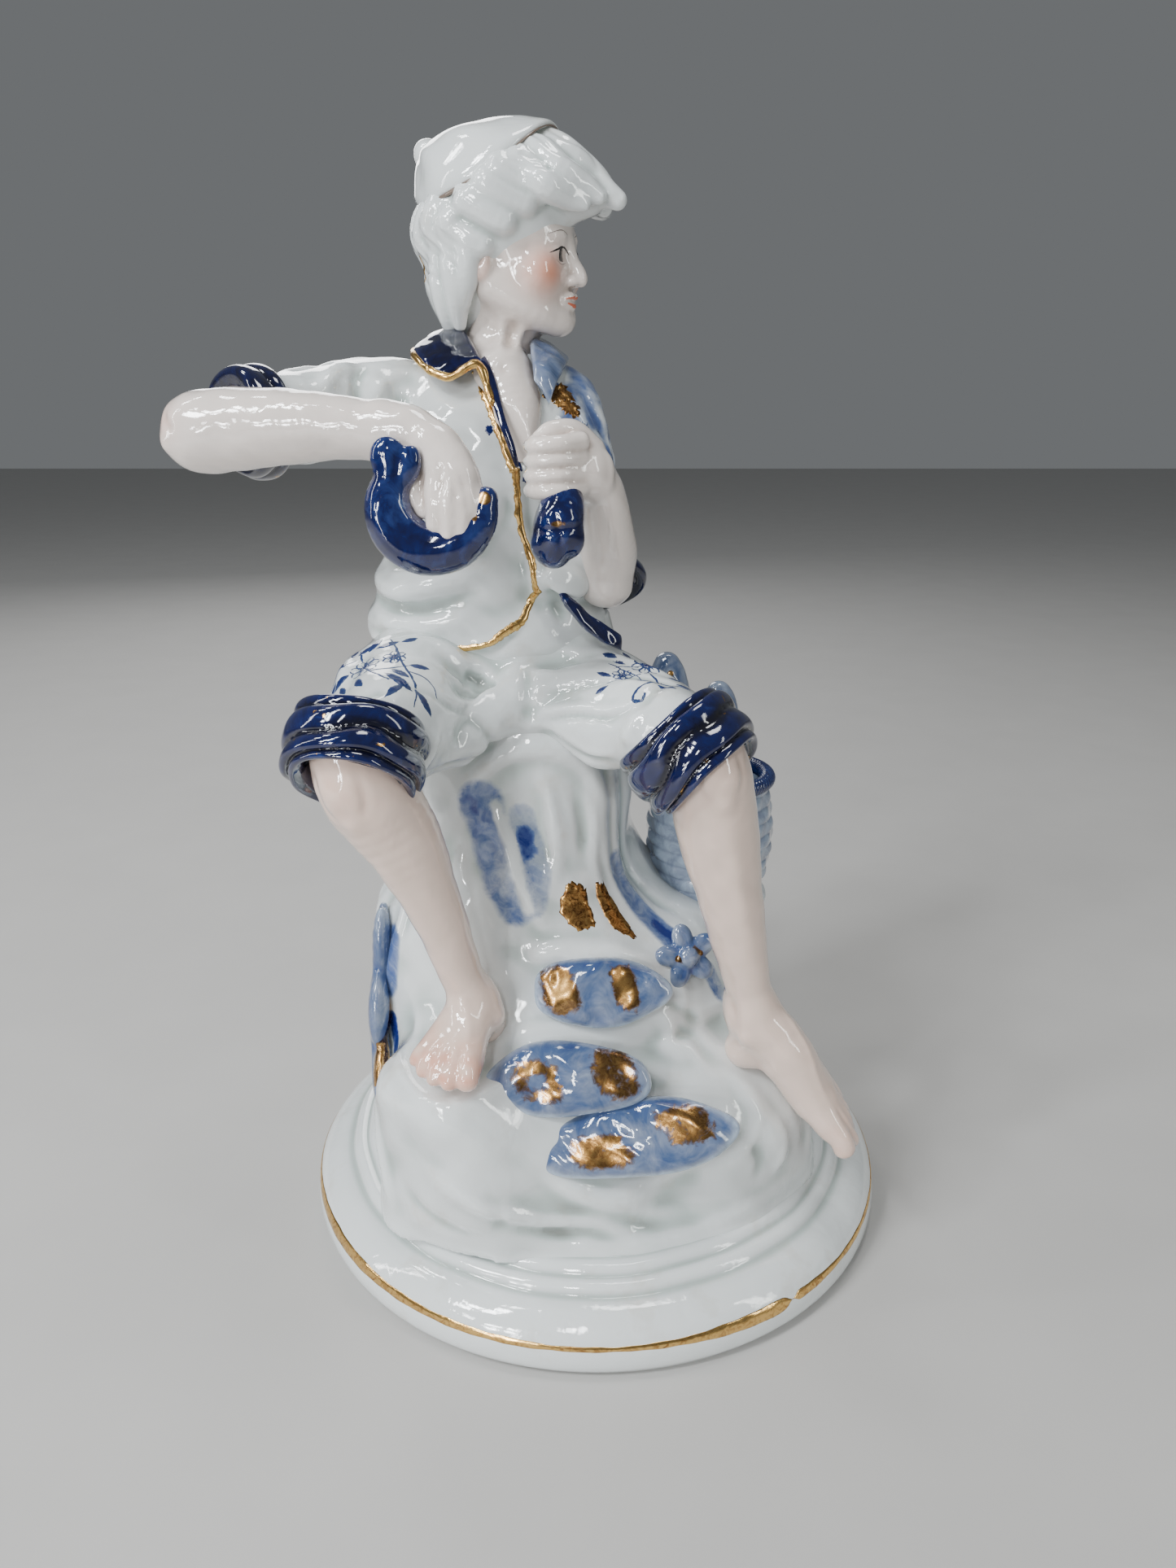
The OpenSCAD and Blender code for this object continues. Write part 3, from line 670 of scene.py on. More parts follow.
def painted_body(name, stops, look, wash=None, warmth=None, stain=0.0, streaks=None):
    """A glaze over the body: colour by depth in creases, then washes of blue, warmth and gilt by their marks.

    stops colour the crease-depth mark from ridge to deep crease, lighter on ridges as painted highlight and
    darker in creases as painted shade, partly glaze pooled there; streaks adds uneven brushing to it.
    """
    material, tree, shader, coords = new_glaze(name, look.roughness, look.wave, 0.8)
    # the crease-depth mark, low on ridges and high in creases: painted highlight to painted shade, with pooled
    # glaze
    pool_and_shade = maths(tree, "MULTIPLY_ADD", mark_of(tree, "pool_and_shade", y=300), 0.5, x=-900, y=300)
    pool_and_shade.node.inputs[2].default_value = 0.5
    if streaks:
        scale, amount = streaks
        cloudy = noise_of(tree, coords, scale, detail=5, roughness=0.6, distortion=2.2, x=-1200, y=450)
        uneven = maths(tree, "MULTIPLY_ADD", cloudy, amount, x=-900, y=450)
        tree.links.new(pool_and_shade, uneven.node.inputs[2])
        pool_and_shade = maths(tree, "SUBTRACT", uneven, 0.5 * amount, x=-800, y=450)
    colour = ramp_of(tree, pool_and_shade, stops, -600, 300)
    if stain:
        spots = noise_of(tree, coords, 60, detail=4, roughness=0.7, x=-1200, y=650)
        brown = maths(tree, "MULTIPLY", maths(tree, "SUBTRACT", spots, 0.56, -900, 650, True), stain, -750,
                      650, True)
        colour = mixed(tree, brown, colour, (0.42, 0.33, 0.20), -350, 400)
    if warmth:
        blush = maths(tree, "MULTIPLY", mark_of(tree, "blush", y=100), 1.0, -800, 100, True)
        colour = mixed(tree, blush, colour, warmth, -250, 300)
    if wash:
        cover, off = broken(tree, mark_of(tree, "blue", y=-50), coords, 330, 0.3, -600, 0, 0.25, 3.5)
        cloud = noise_of(tree, coords, 240, detail=5, distortion=1.6, x=-900, y=150)
        tone = maths(tree, "ADD", maths(tree, "MULTIPLY", off, 0.8), maths(tree, "MULTIPLY", cloud, 0.6),
                     -450, 0)
        tint = ramp_of(tree, tone, wash, -350, 100)
        colour = mixed(tree, cover, colour, tint, -100, 200)
    cover, off = broken(tree, mark_of(tree, "gilt", y=-200), coords, 380, 0.55, -600, -150, 0.5, 9.0)
    gold, rough = gilt_colours(tree, coords, look.gold, off, -300, -900)
    colour = mixed(tree, cover, colour, gold, 0, 200)
    tree.links.new(colour, shader.inputs["Base Color"])
    tree.links.new(cover, shader.inputs["Metallic"])
    plain = shader.inputs["Roughness"].links[0].from_socket
    blend = node_of(tree, "ShaderNodeMix", 0, -200, data_type="FLOAT")
    tree.links.new(cover, blend.inputs[0])
    tree.links.new(plain, blend.inputs[2])
    tree.links.new(rough, blend.inputs[3])
    tree.links.new(blend.outputs[0], shader.inputs["Roughness"])
    return material


def paint(name, stops, look, streak=300, amount=0.35):
    """A thin coat of colour under the glaze, paler where the brush ran thin."""
    material, tree, shader, coords = new_glaze(name, look.roughness + 0.03, look.wave)
    cloudy = noise_of(tree, coords, streak, detail=5, roughness=0.65, distortion=1.2, x=-1200, y=300)
    tone = maths(tree, "MULTIPLY_ADD", cloudy, amount, -900, 300)
    tree.links.new(mark_of(tree, "strength", y=300), tone.node.inputs[2])
    tone = maths(tree, "SUBTRACT", tone, 0.5 * amount, -750, 300)
    tree.links.new(ramp_of(tree, tone, stops, -600, 300), shader.inputs["Base Color"])
    return material


def gilding(name, dull, gold, look):
    """Burnished gold on the glaze; dull is how far it has worn to brown."""
    material, tree, shader, coords = new_glaze(name, 0.2, 0.5 + 0.3 * look.wave)
    streak = noise_of(tree, coords, 520, detail=5, roughness=0.7, distortion=1.8, x=-900, y=300)
    low, high = 0.30 + 0.16 * dull, 0.52 + 0.2 * dull
    stops = [(low - 0.06, shade(gold, 0.1, (1.1, 0.8, 0.9))),
             (low + 0.06, shade(gold, 0.5, (1.0, 0.8, 0.75))), (high, tuple(gold))]
    tree.links.new(ramp_of(tree, streak, stops, -600, 300), shader.inputs["Base Color"])
    shader.inputs["Metallic"].default_value = 1.0
    rough = maths(tree, "MULTIPLY_ADD", streak, -0.4, -300, 100, True)
    rough.node.inputs[2].default_value = 0.42 + 0.1 * dull
    tree.links.new(rough, shader.inputs["Roughness"])
    return material


def shade(colour, factor, lean=(1, 1, 1)):
    """A colour made lighter or darker, and leant towards another hue."""
    return tuple(min(1.0, c * factor * k) for c, k in zip(colour, lean))


def mix_glazes(look):
    """All the glazes and paints of the figurine, from its colours."""
    white, flesh, cobalt, wash, gold = look.white, look.flesh, look.cobalt, look.wash, look.gold
    washes = [(0.18, shade(wash, 2.3, (1.05, 1.02, 0.9))), (0.42, shade(wash, 1.5)),
              (0.66, shade(wash, 0.8, (0.6, 0.8, 1.3))),
              (0.92, shade(cobalt, 3.0))]
    pale = tuple(0.55 * a + 0.45 * b for a, b in zip(flesh, white))
    # body glazes: lighter on ridges as painted highlight, far darker in deep creases as painted shade and pooled
    # glaze
    GLAZES["white"] = painted_body(
        "white_glaze",
        [(0.28, shade(white, 1.12)), (0.5, shade(white, 1)), (0.66, shade(white, 0.74, (0.94, 1.02, 0.98))),
         (0.92, shade(white, 0.36, (0.96, 1.0, 0.92)))],
        look, wash=washes, stain=1.6)
    GLAZES["flesh"] = painted_body(
        "flesh_glaze",
        [(0.28, shade(flesh, 1.1)), (0.5, shade(flesh, 1)), (0.7, shade(flesh, 0.8, (1.0, 0.9, 0.86))),
         (0.95, shade(flesh, 0.45, (1.0, 0.84, 0.76)))],
        look, wash=washes, warmth=tuple(look.blush))
    GLAZES["pale"] = painted_body(
        "pale_flesh_glaze",
        [(0.28, shade(pale, 1.1)), (0.5, shade(pale, 1)), (0.7, shade(pale, 0.74, (1.0, 0.93, 0.88))),
         (0.95, shade(pale, 0.4, (1.0, 0.86, 0.78)))],
        look, wash=washes, warmth=tuple(look.blush))
    # cobalt: pale blue on ridges is painted highlight over thinner paint; near black in creases is painted shade
    GLAZES["cobalt"] = painted_body(
        "cobalt_glaze",
        [(0.06, (0.16, 0.24, 0.42)), (0.22, (0.017, 0.038, 0.15)), (0.40, shade(cobalt, 1)),
         (0.60, shade(cobalt, 0.35, (1.2, 0.8, 0.8))), (0.85, (0.003, 0.003, 0.006))],
        look, streaks=(190, 0.5))
    GLAZES["wash"] = painted_body(
        "blue_wash_glaze",
        [(0.2, shade(wash, 2.1, (1.0, 1.02, 0.92))), (0.42, shade(wash, 1.1)),
         (0.64, shade(wash, 0.55, (0.6, 0.85, 1.3))),
         (0.92, shade(cobalt, 2.5))],
        look, streaks=(130, 0.6))
    GLAZES["blue paint"] = paint(
        "blue_paint", [(0.0, shade(wash, 2.4)), (0.35, shade(wash, 1.0)),
                       (0.62, shade(wash, 0.3, (0.5, 0.8, 1.5))),
                       (0.92, shade(cobalt, 1.4))], look)
    GLAZES["eye paint"] = paint("eye_paint", [(0.0, (0.20, 0.15, 0.12)), (0.6, (0.02, 0.018, 0.018))], look,
                                amount=0.1)
    GLAZES["lip paint"] = paint("lip_paint", [(0.0, (0.75, 0.33, 0.22)), (0.9, (0.62, 0.10, 0.04))], look,
                                amount=0.3)
    GLAZES["gilt"] = gilding("gilt", 0.0, gold, look)
    GLAZES["worn gilt"] = gilding("worn_gilt", 1.0, gold, look)


# ---- plinth and rock ----------------------------------------------------------------------------


def plinth_points(share, turn):
    """The plinth's skin: a profile of radius and height, turned about +Z, with slightly uneven steps."""
    r = PLINTH_R
    profile = vec(
        (2, 0.4), (r - 30, 0.4), (r - 7, 0.3), (r - 4.5, 0), (r - 2.4, 0.2), (r - 0.7, 1.5), (r - 0.1, 3.6),
        (r - 0.3, 6.2), (r - 1.2, 8.6), (r - 2.8, 10.6), (r - 5.2, 12.3), (r - 7.4, 13.1), (r - 8.7, 13.4),
        (r - 9.2, 14.4), (r - 10.2, 15.3), (r - 11.4, 15.5), (r - 12.2, 15.4), (r - 12.8, 16.2),
        (r - 13.8, 17.0),
        (r - 15.2, 17.2), (r - 16.0, 17.1), (r - 16.8, 17.9), (r - 18.2, DECK), (r - 26, DECK), (2, DECK))
    curve = smooth_path(profile, 600)
    run = np.concatenate([[0], np.cumsum(np.linalg.norm(np.diff(curve, axis=0), axis=1))])
    place = np.asarray(share) * run[-1]
    radius, height = np.interp(place, run, curve[:, 0]), np.interp(place, run, curve[:, 1])
    steps = ease((height - 10) / 6) * (radius > r - 24)
    radius = radius + steps * (0.35 * np.sin(3 * turn + 0.8) + 0.25 * np.sin(7 * turn) + 0.12
                               * np.sin(17 * turn + 1))
    radius = radius - 0.12 * (1 + np.sin(5 * turn + 2)) * (height > 1)
    return np.stack([radius * np.cos(turn), radius * np.sin(turn), height], -1), run[-1]


def model_plinth():
    """The plinth, and its gold line: a flat lens of varying width carried round the profile's shoulder."""
    share, turn = np.meshgrid(np.linspace(0, 1, 260), np.linspace(0, TAU, 288, endpoint=False),
                              indexing="ij")
    rings, length = plinth_points(share, turn)
    verts, faces = closed_tube(rings)
    make_piece("plinth", verts, faces, "white", ["plinth"],
               {"pool_and_shade": hollows(verts, faces, 10, 2.2)})
    turn = np.linspace(0, TAU, 720, endpoint=False)
    across = np.linspace(-1, 1, 7)
    gap = 1 - bell(np.abs(np.angle(np.exp(1j * (turn + 0.93)))), 0.02)
    thick = bell(np.abs(np.angle(np.exp(1j * (turn - TAU * 0.595)))), 0.45) * 1.5
    bright = bell(np.abs(np.angle(np.exp(1j * (turn + 1.02)))), 0.22) * 2.0
    width = (sizes().gilt_line / MM + thick + bright + 0.18 * np.sin(9 * turn) + 0.12
             * np.sin(31 * turn + 1) + 0.1 * np.sin(67 * turn)) * gap
    width = np.maximum(width, 0.12)
    heights = plinth_points(np.linspace(0, 1, 4000), np.zeros(4000))[0]
    outer = np.argmax((heights[:, 2] > 7.4) & (heights[:, 0] > PLINTH_R - 6)) / 3999
    place = outer + 0.0012 * np.sin(2 * turn + 1)
    share = place[:, None] + across * width[:, None] / 2 / length
    on = plinth_points(share, turn[:, None])[0]
    out = unit(on * vec(1, 1, 0) + vec(0, 0, 40))
    upper = on + out * (0.13 * (1 - across**2) - 0.02)[None, :, None]
    rings = np.concatenate([upper, (on - 0.3 * out)[:, ::-1]], 1)
    verts, faces = closed_ring(rings)
    make_piece("plinth_gilt_line", verts, faces, "gilt")


def model_rock():
    """The rock: elliptical slices run together, then stroked with ridges and hollows, and painted."""
    clay = Clay((-64, -64, DECK - 3), (62, 62, SEAT + 3), 0.85)
    up = DECK

    def lobes(turn, z):
        return 0.03 * np.cos(5 * turn + 0.05 * z) + 0.02 * np.cos(3 * turn - 0.035 * z)

    clay.column([[up - 2, -3, -1, 49, 49], [up + 10, -5, -1, 46, 48], [up + 22, -7, -1, 45, 44],
                 [up + 34, -8, 0, 43.5, 38], [up + 46, -9, 2, 43, 33.5], [up + 54, -11, 3, 40, 31.5],
                 [up + 60, -15, 3, 33, 30], [up + 70, -18, 4, 27.5, 28.5], [up + 86, -18, 4, 26, 26.5],
                 [SEAT + 1, -19, 5, 27, 23.5]], 1, lobes)
    clay.column([[up - 2, -22, -30, 28, 24.5], [up + 10, -23, -31, 26.5, 24], [up + 22, -26, -32, 22, 22],
                 [up + 30, -29, -33, 18, 20], [up + 34.5, -30, -34, 13, 17]], 7, lobes)
    clay.column([[up - 2, 24, -19, 27, 26.5], [up + 10, 24.5, -19, 26, 25.5], [up + 20, 24, -18, 25, 24],
                 [up + 29, 21, -15, 21, 20.5], [up + 37, 16, -9, 14, 14]], 7, lobes)
    clay.column([[up + 30, 24, 12, 17, 18], [up + 53.5, 27, 13, 16, 16]], 6)
    clay.column([[up - 2.5, -1, -1, 54, 54], [up + 0.2, -1, -1, 52.5, 52.5]], 6)
    k = sizes().relief
    # under the thighs: a wide hollow below an arch, a slanting ridge across it, and the runs beside it
    clay.dab((-10, -26, 103), 13, -1.6)
    for path, width, height in (
        ([(-34, -18, 96), (-30, -20, 106), (-26, -21, 113), (-19, -21, 118), (-10, -21, 119),
          (-1, -20, 116), (5, -19, 109),
          (9, -20, 99), (12, -22, 89), (18, -24, 80), (27, -27, 70)], 1.9, 2.3),
        ([(-27, -23, 106), (-27, -25, 97), (-23, -28, 88)], 3.4, -1.3),
        ([(-18, -24, 107), (-13, -26, 99), (-12, -28, 90)], 3.2, -1.3),
        ([(-23, -22, 108), (-20.5, -26, 101), (-17, -28, 93), (-13.5, -30, 86), (-9, -31, 79)], 1.2, 2.1),
        ([(-12, -22, 116), (-9, -25, 105), (-8, -28, 95), (-10, -30, 86)], 1.3, 1.2),
        ([(-4, -22, 112), (0, -24, 102), (1, -27, 94)], 1.3, -1.1),
        ([(0, -21, 112), (5, -23, 102), (6, -26, 92), (14, -28, 82)], 1.5, 1.3),
        ([(12, -15, 116), (14, -17, 104), (18, -18, 92), (25, -20, 84)], 1.9, 1.8),
        ([(9, -18, 108), (11, -19, 98), (15, -21, 88)], 1.5, -1.3),
        ([(-38, -16, 112), (-38, -20, 102), (-40, -22, 90), (-43, -22, 80)], 2.2, 1.9),
        ([(-34, -20, 100), (-36, -23, 88), (-38, -25, 76)], 1.8, -1.4),
        ([(-44, -8, 112), (-43, -12, 100), (-47, -14, 88), (-50, -12, 78)], 2.0, -1.6),
        # the shelf below the panel
        ([(-20, -31, 79), (-8, -34, 77), (4, -34, 78), (13, -31, 80)], 2.4, 1.3),
        ([(-9, -33, 88), (-3, -32, 90), (3, -31, 91), (9, -29, 90)], 2.6, 0.9),
        # long runs down the front and sides of the base
        ([(30, -36, 46), (22, -41, 35), (8, -47, 29), (-8, -50, 30)], 2.0, 1.5),
        ([(26, -30, 52), (33, -34, 42), (38, -36, 32), (40, -37, 24)], 2.4, 1.4),
        ([(36, -24, 46), (43, -28, 34), (47, -29, 24)], 2.0, -1.1),
        ([(22, -28, 58), (27, -29, 52), (34, -26, 48)], 2.2, 1.4),
        ([(14, -38, 58), (20, -38, 56), (26, -35, 56)], 1.6, 1.1),
        ([(-12, -50, 34), (-2, -51, 29), (10, -50, 25), (22, -48, 23)], 1.8, 1.0),
        ([(-40, -48, 40), (-30, -54, 34), (-16, -55, 28), (-2, -54, 23)], 2.2, 0.9),
        ([(-44, -44, 30), (-34, -52, 25), (-18, -56, 22)], 1.8, -0.8),
        ([(-50, -22, 52), (-51, -28, 40), (-50, -34, 28), (-50, -38, 20)], 1.4, -1.7),
        ([(-47, -30, 50), (-48, -36, 38), (-46, -41, 28), (-44, -45, 20)], 1.8, 1.5),
        ([(-52, -16, 46), (-53, -22, 34), (-53, -26, 22)], 1.8, 1.3),
        # broken edges beside the stones, and the rim that rises round them
        ([(13, -34, 64), (18, -35, 60), (19, -37, 57), (24, -36, 56), (26, -37, 52)], 1.1, 1.6),
        ([(17, -33, 68), (23, -33, 62), (28, -33, 58)], 1.3, -1.1),
        ([(18, -29, 74), (22, -30, 68), (20, -33, 63)], 1.3, 1.5),
        ([(-17, -30, 73), (-9, -31, 77), (2, -31, 78), (12, -30, 76), (18, -29, 71)], 1.3, 1.3),
        ([(-25, -36, 55), (-17, -37, 61), (-5, -37, 62), (8, -37, 60)], 1.2, 1.1),
        ([(31, -37, 48), (35, -38, 42), (33, -42, 36), (26, -46, 31)], 1.3, 1.4),
        ([(38, -36, 40), (42, -38, 32), (40, -42, 26)], 1.2, 1.2),
        ([(30, -41, 38), (36, -42, 32), (36, -45, 26)], 1.2, -1.0),
        ([(-14, -49, 36), (-4, -51, 31), (8, -51, 28), (20, -49, 29)], 1.3, 1.3),
        ([(-34, -52, 38), (-24, -56, 31), (-12, -56, 26), (2, -54, 24), (16, -52, 21)], 1.5, 1.2),
        ([(-26, -55, 34), (-20, -56, 29), (-22, -57, 23)], 1.2, -0.9),
    ):
        clay.stroke(path, width, height * k)
    # shelves that the stones lie on
    for centre, reach in (((0, -32, 76.5), 17), ((-3, -38, 59.5), 18), ((12, -44, 50), 20)):
        x, y, z = centre
        clay.stroke([(x - reach, y + 5, z - 3), (x - 6, y, z), (x + 6, y, z), (x + reach, y + 5, z - 2)],
                    2.0, 1.3 * k)
    # soft ribs that run down the back and the sides
    rng = np.random.default_rng(7)
    for rib in range(22):
        turn = math.radians(-24 + 11 * rib)
        z = np.array([SEAT - 4, SEAT - 30, up + 50, up + 25, up + 4])
        reach = np.array([26, 30, 42, 46, 52]) + rng.normal(0, 1.5, 5)
        way = turn + rng.normal(0, 0.1, 5)
        path = np.stack([-12 + reach * np.cos(way), 2 + reach * np.sin(way), z], -1)
        first = rng.integers(0, 3)
        clay.stroke(path[first : first + 3], rng.uniform(1.6, 3.4), rng.uniform(1.0, 2.0) * k * (-1) ** rib)
    clay.roughen(34, 0.8 * k, 0.3)
    clay.roughen(14, 0.2 * k, 1.1)
    verts, faces = clay.skin()
    pool_and_shade = hollows(verts, faces, 10, 2.0)
    blue = np.zeros(len(verts))
    for path, reach, full in (
        (((-25.5, -23, 108), (-24.5, -25, 101), (-22, -27, 94), (-17, -29, 86)), 5.0, 0.55),
        (((-16, -25, 104), (-13.5, -26, 98), (-12.5, -27, 92), (-13.5, -29, 86)), 3.2, 0.5),
        (((-27.5, -23, 108), (-27, -24, 105.5)), 0.9, 0.85),
        (((-15, -26, 101.5), (-14, -27, 97.5)), 1.8, 0.95),
        (((13, -17, 92), (17, -20, 84), (21, -22, 77)), 3.6, 0.6),
        (((17, -20, 81), (22, -21, 76)), 1.6, 1.0),
        (((27, -19, 66), (30, -20, 62)), 2.6, 0.55),
        (((-52, -18, 52), (-51, -28, 38), (-50, -36, 26)), 1.8, 1.0),
        (((-51, -12, 70), (-52, -14, 60)), 4.0, 0.6),
    ):
        line = clay.settle(smooth_path(path, 30))
        blue = np.maximum(blue, full * (1 - ease((near_line(verts, line) - reach * 0.7) / (reach * 0.7))))
    ridge = clay.settle(smooth_path(((-22, -22, 107), (-19.5, -26, 100), (-17, -28, 93), (-14.5, -30, 86)),
                                    40))
    blue = blue * (1 - 0.9 * bell(near_line(verts, ridge), 1.1)) + 0.1 * ripple(verts, 11,
                                                                                2) * ease(blue * 3)
    make_piece("rock", verts, faces, "white", ["rock"], {"pool_and_shade": pool_and_shade, "blue": blue})
    dabs = [brush_patch(clay, (x, y, z), vec(1, 0, lean), vec(-lean, 0, 1), blob(wide, tall, 0.1, x), 0.3)
            for x, y, z, wide, tall, lean in ((-1.6, -32, 86.8, 5.2, 4.8, 0.1),
                                              (12.0, -31, 87.5, 5.4, 4.6, -0.3))]
    lay_paint("rock_gilt", dabs, "worn gilt")


def near_line(points, line):
    """The distance from each point to the nearest of a row of points."""
    best = np.full(len(points), 1e3)
    for p in line:
        best = np.minimum(best, np.linalg.norm(points - p, axis=1))
    return best


def flat_stone(node, half, shift, tilt, lean, seed, dabs):
    """A flat oval stone: a superellipse with a soft uneven top, lying back against the rock.

    dabs are worn patches of gold: place along and across, half sizes, and how much their middle is rubbed away.
    """
    low, high = corners(node)
    centre = (low + high) / 2 + vec(*shift)
    lat, turn = np.meshgrid(np.linspace(-math.pi / 2, math.pi / 2, 72)[1:-1],
                            np.linspace(0, TAU, 220, endpoint=False), indexing="ij")
    c, s = np.cos(lat) ** 0.55, np.sin(lat)
    edge = 1 + 0.035 * np.sin(3 * turn + seed) + 0.025 * np.sin(5 * turn + 2 * seed)
    local = np.stack([half[0] * c * edge * np.cos(turn), half[1] * c * edge * np.sin(turn),
                      half[2] * np.sign(s) * np.abs(s) ** 0.8], -1)
    local[..., 2] += 0.4 * ripple(local, 8, seed) * (s > 0)
    x, y, z = local[..., 0], local[..., 1], local[..., 2]
    gilt = np.zeros(x.shape)
    for u, v, a, b, rubbed in dabs:
        along, across = x - u + 0.25 * (y - v), y - v
        out = (np.abs(along / a) ** 2.8 + np.abs(across / b) ** 2.8) ** (1 / 2.8)
        gilt = np.maximum(gilt, 1.05 - 0.55 * out - rubbed * bell(out, 0.42))
    gilt = np.where(s > 0, gilt, 0)
    far = ease((y / half[1] - 0.2) / 0.7) * 0.28
    ct, st, cl, sl = math.cos(tilt), math.sin(tilt), math.cos(lean), math.sin(lean)
    y, z = y * ct - z * st, y * st + z * ct
    x, z = x * cl + z * sl, -x * sl + z * cl
    verts, faces = closed_tube(np.stack([x, y, z], -1) + centre)
    rim = np.cos(lat) ** 0.55
    shade_of = (0.12 + far - 0.62 * ease((rim - 0.84) / 0.16)).ravel()
    pool_and_shade = hollows(verts, faces, 6, 1.2) + np.concatenate([shade_of, [0, 0]])
    make_piece(node, verts, faces, "wash", [node],
               {"pool_and_shade": pool_and_shade, "gilt": np.concatenate([gilt.ravel(), [0, 0]])})


def model_stones():
    """The three painted stones, each with two brushed dabs of worn gold."""
    rows = (
        ("upper_stone", (15, 7.6, 3.0), (0, 0.2, 0), 66, 0, 1.0,
         ((-8.4, 0.2, 4.3, 5.4, 0.0), (5.4, 0.9, 3.0, 5.2, 0.0))),
        ("middle_stone", (17.6, 7.9, 3.2), (-0.8, -2.0, 0.9), 54, 0, 2.3,
         ((-6.2, -0.6, 5.8, 4.6, 0.6), (9.8, 1.2, 5.0, 5.4, 0.45))),
        ("lower_stone", (21.8, 7.9, 3.2), (-1.2, -2.1, 0.9), 54, -9, 3.7,
         ((-7.4, -1.8, 6.8, 3.8, 0.35), (10.4, 1.6, 6.0, 4.4, 0.4))),
    )
    for node, half, shift, tilt, lean, seed, dabs in rows:
        flat_stone(node, half, shift, math.radians(tilt), math.radians(lean), seed, dabs)


# ---- legs and breeches --------------------------------------------------------------------------


def foot_on(clay, ankle, heel, tips, arch, bulk):
    """A foot: heel, ankle bones, five rays fanning from the instep, and five toes from big to little."""
    front = unit(np.mean(tips, 0) - heel)
    across = unit(tips[0] - tips[4])
    across = unit(across - front * (across @ front))
    upward = unit(np.cross(front, across))
    upward = upward * np.sign(upward[2] + 1e-6)
    instep = ankle * 0.45 + heel * 0.2 + np.mean(tips, 0) * 0.35 + upward * arch
    clay.egg(heel + upward * 2.2 + front * 1.5, vec(4.4, 3.9, 4.2) * bulk, 3)
    clay.limb([ankle, instep, heel * 0.35 + np.mean(tips, 0) * 0.65 + upward * 1.5],
              vec(4.9, 4.8, 4.0) * bulk, 3.5)
    for k, tip in enumerate(tips):
        base = tip * 0.72 + instep * 0.28 - upward * 0.3
        clay.limb([instep - across * (k - 1.5) * 1.1 - upward * 1.5, base, base * 0.5 + tip * 0.5],
                  [3.4, 2.9 + 0.5 * (k == 0), 2.3], 2.4)
    for k, tip in enumerate(tips):
        girth = 2.75 if k == 0 else 1.95 - 0.12 * (k - 1)
        root = tip * 0.68 + instep * 0.32
        clay.limb([root, tip * 0.86 + instep * 0.14 + upward * 0.7, tip],
                  [girth, girth * 0.98, girth * 0.88], 0.6)
        clay.egg(tip - front * 0.5 + upward * girth * 0.72, (0.6 * girth, 0.62 * girth, 0.35), 0.3,
                 (front, across, upward))
    for k in range(4):
        gap = (tips[k] + tips[k + 1]) / 2
        clay.stroke([gap * 0.6 + instep * 0.4 + upward * 3, gap * 0.86 + instep * 0.14 + upward * 3,
                     gap + upward * 1.5],
                    0.7, -0.5)
    for sign in (-1, 1):
        clay.dab(ankle + across * 5 * sign - vec(0, 0, 1.0 + 0.8 * sign), 2.1, 1.1)
    clay.stroke([ankle - front * 5 + vec(0, 0, 12), ankle - front * 5 + vec(0, 0, 4),
                 heel - front * 3 + upward * 4],
                1.5, 0.6)
    for side in (-1, 1):
        clay.stroke([ankle - front * 3.6 + across * 3.5 * side + vec(0, 0, 7),
                     heel + across * 3.8 * side + upward * 6],
                    1.4, -0.6)
    clay.stroke([ankle + front * 4 + vec(0, 0, 5), instep + upward * 3, tips[0] * 0.8 + instep * 0.2], 0.8,
                0.35)


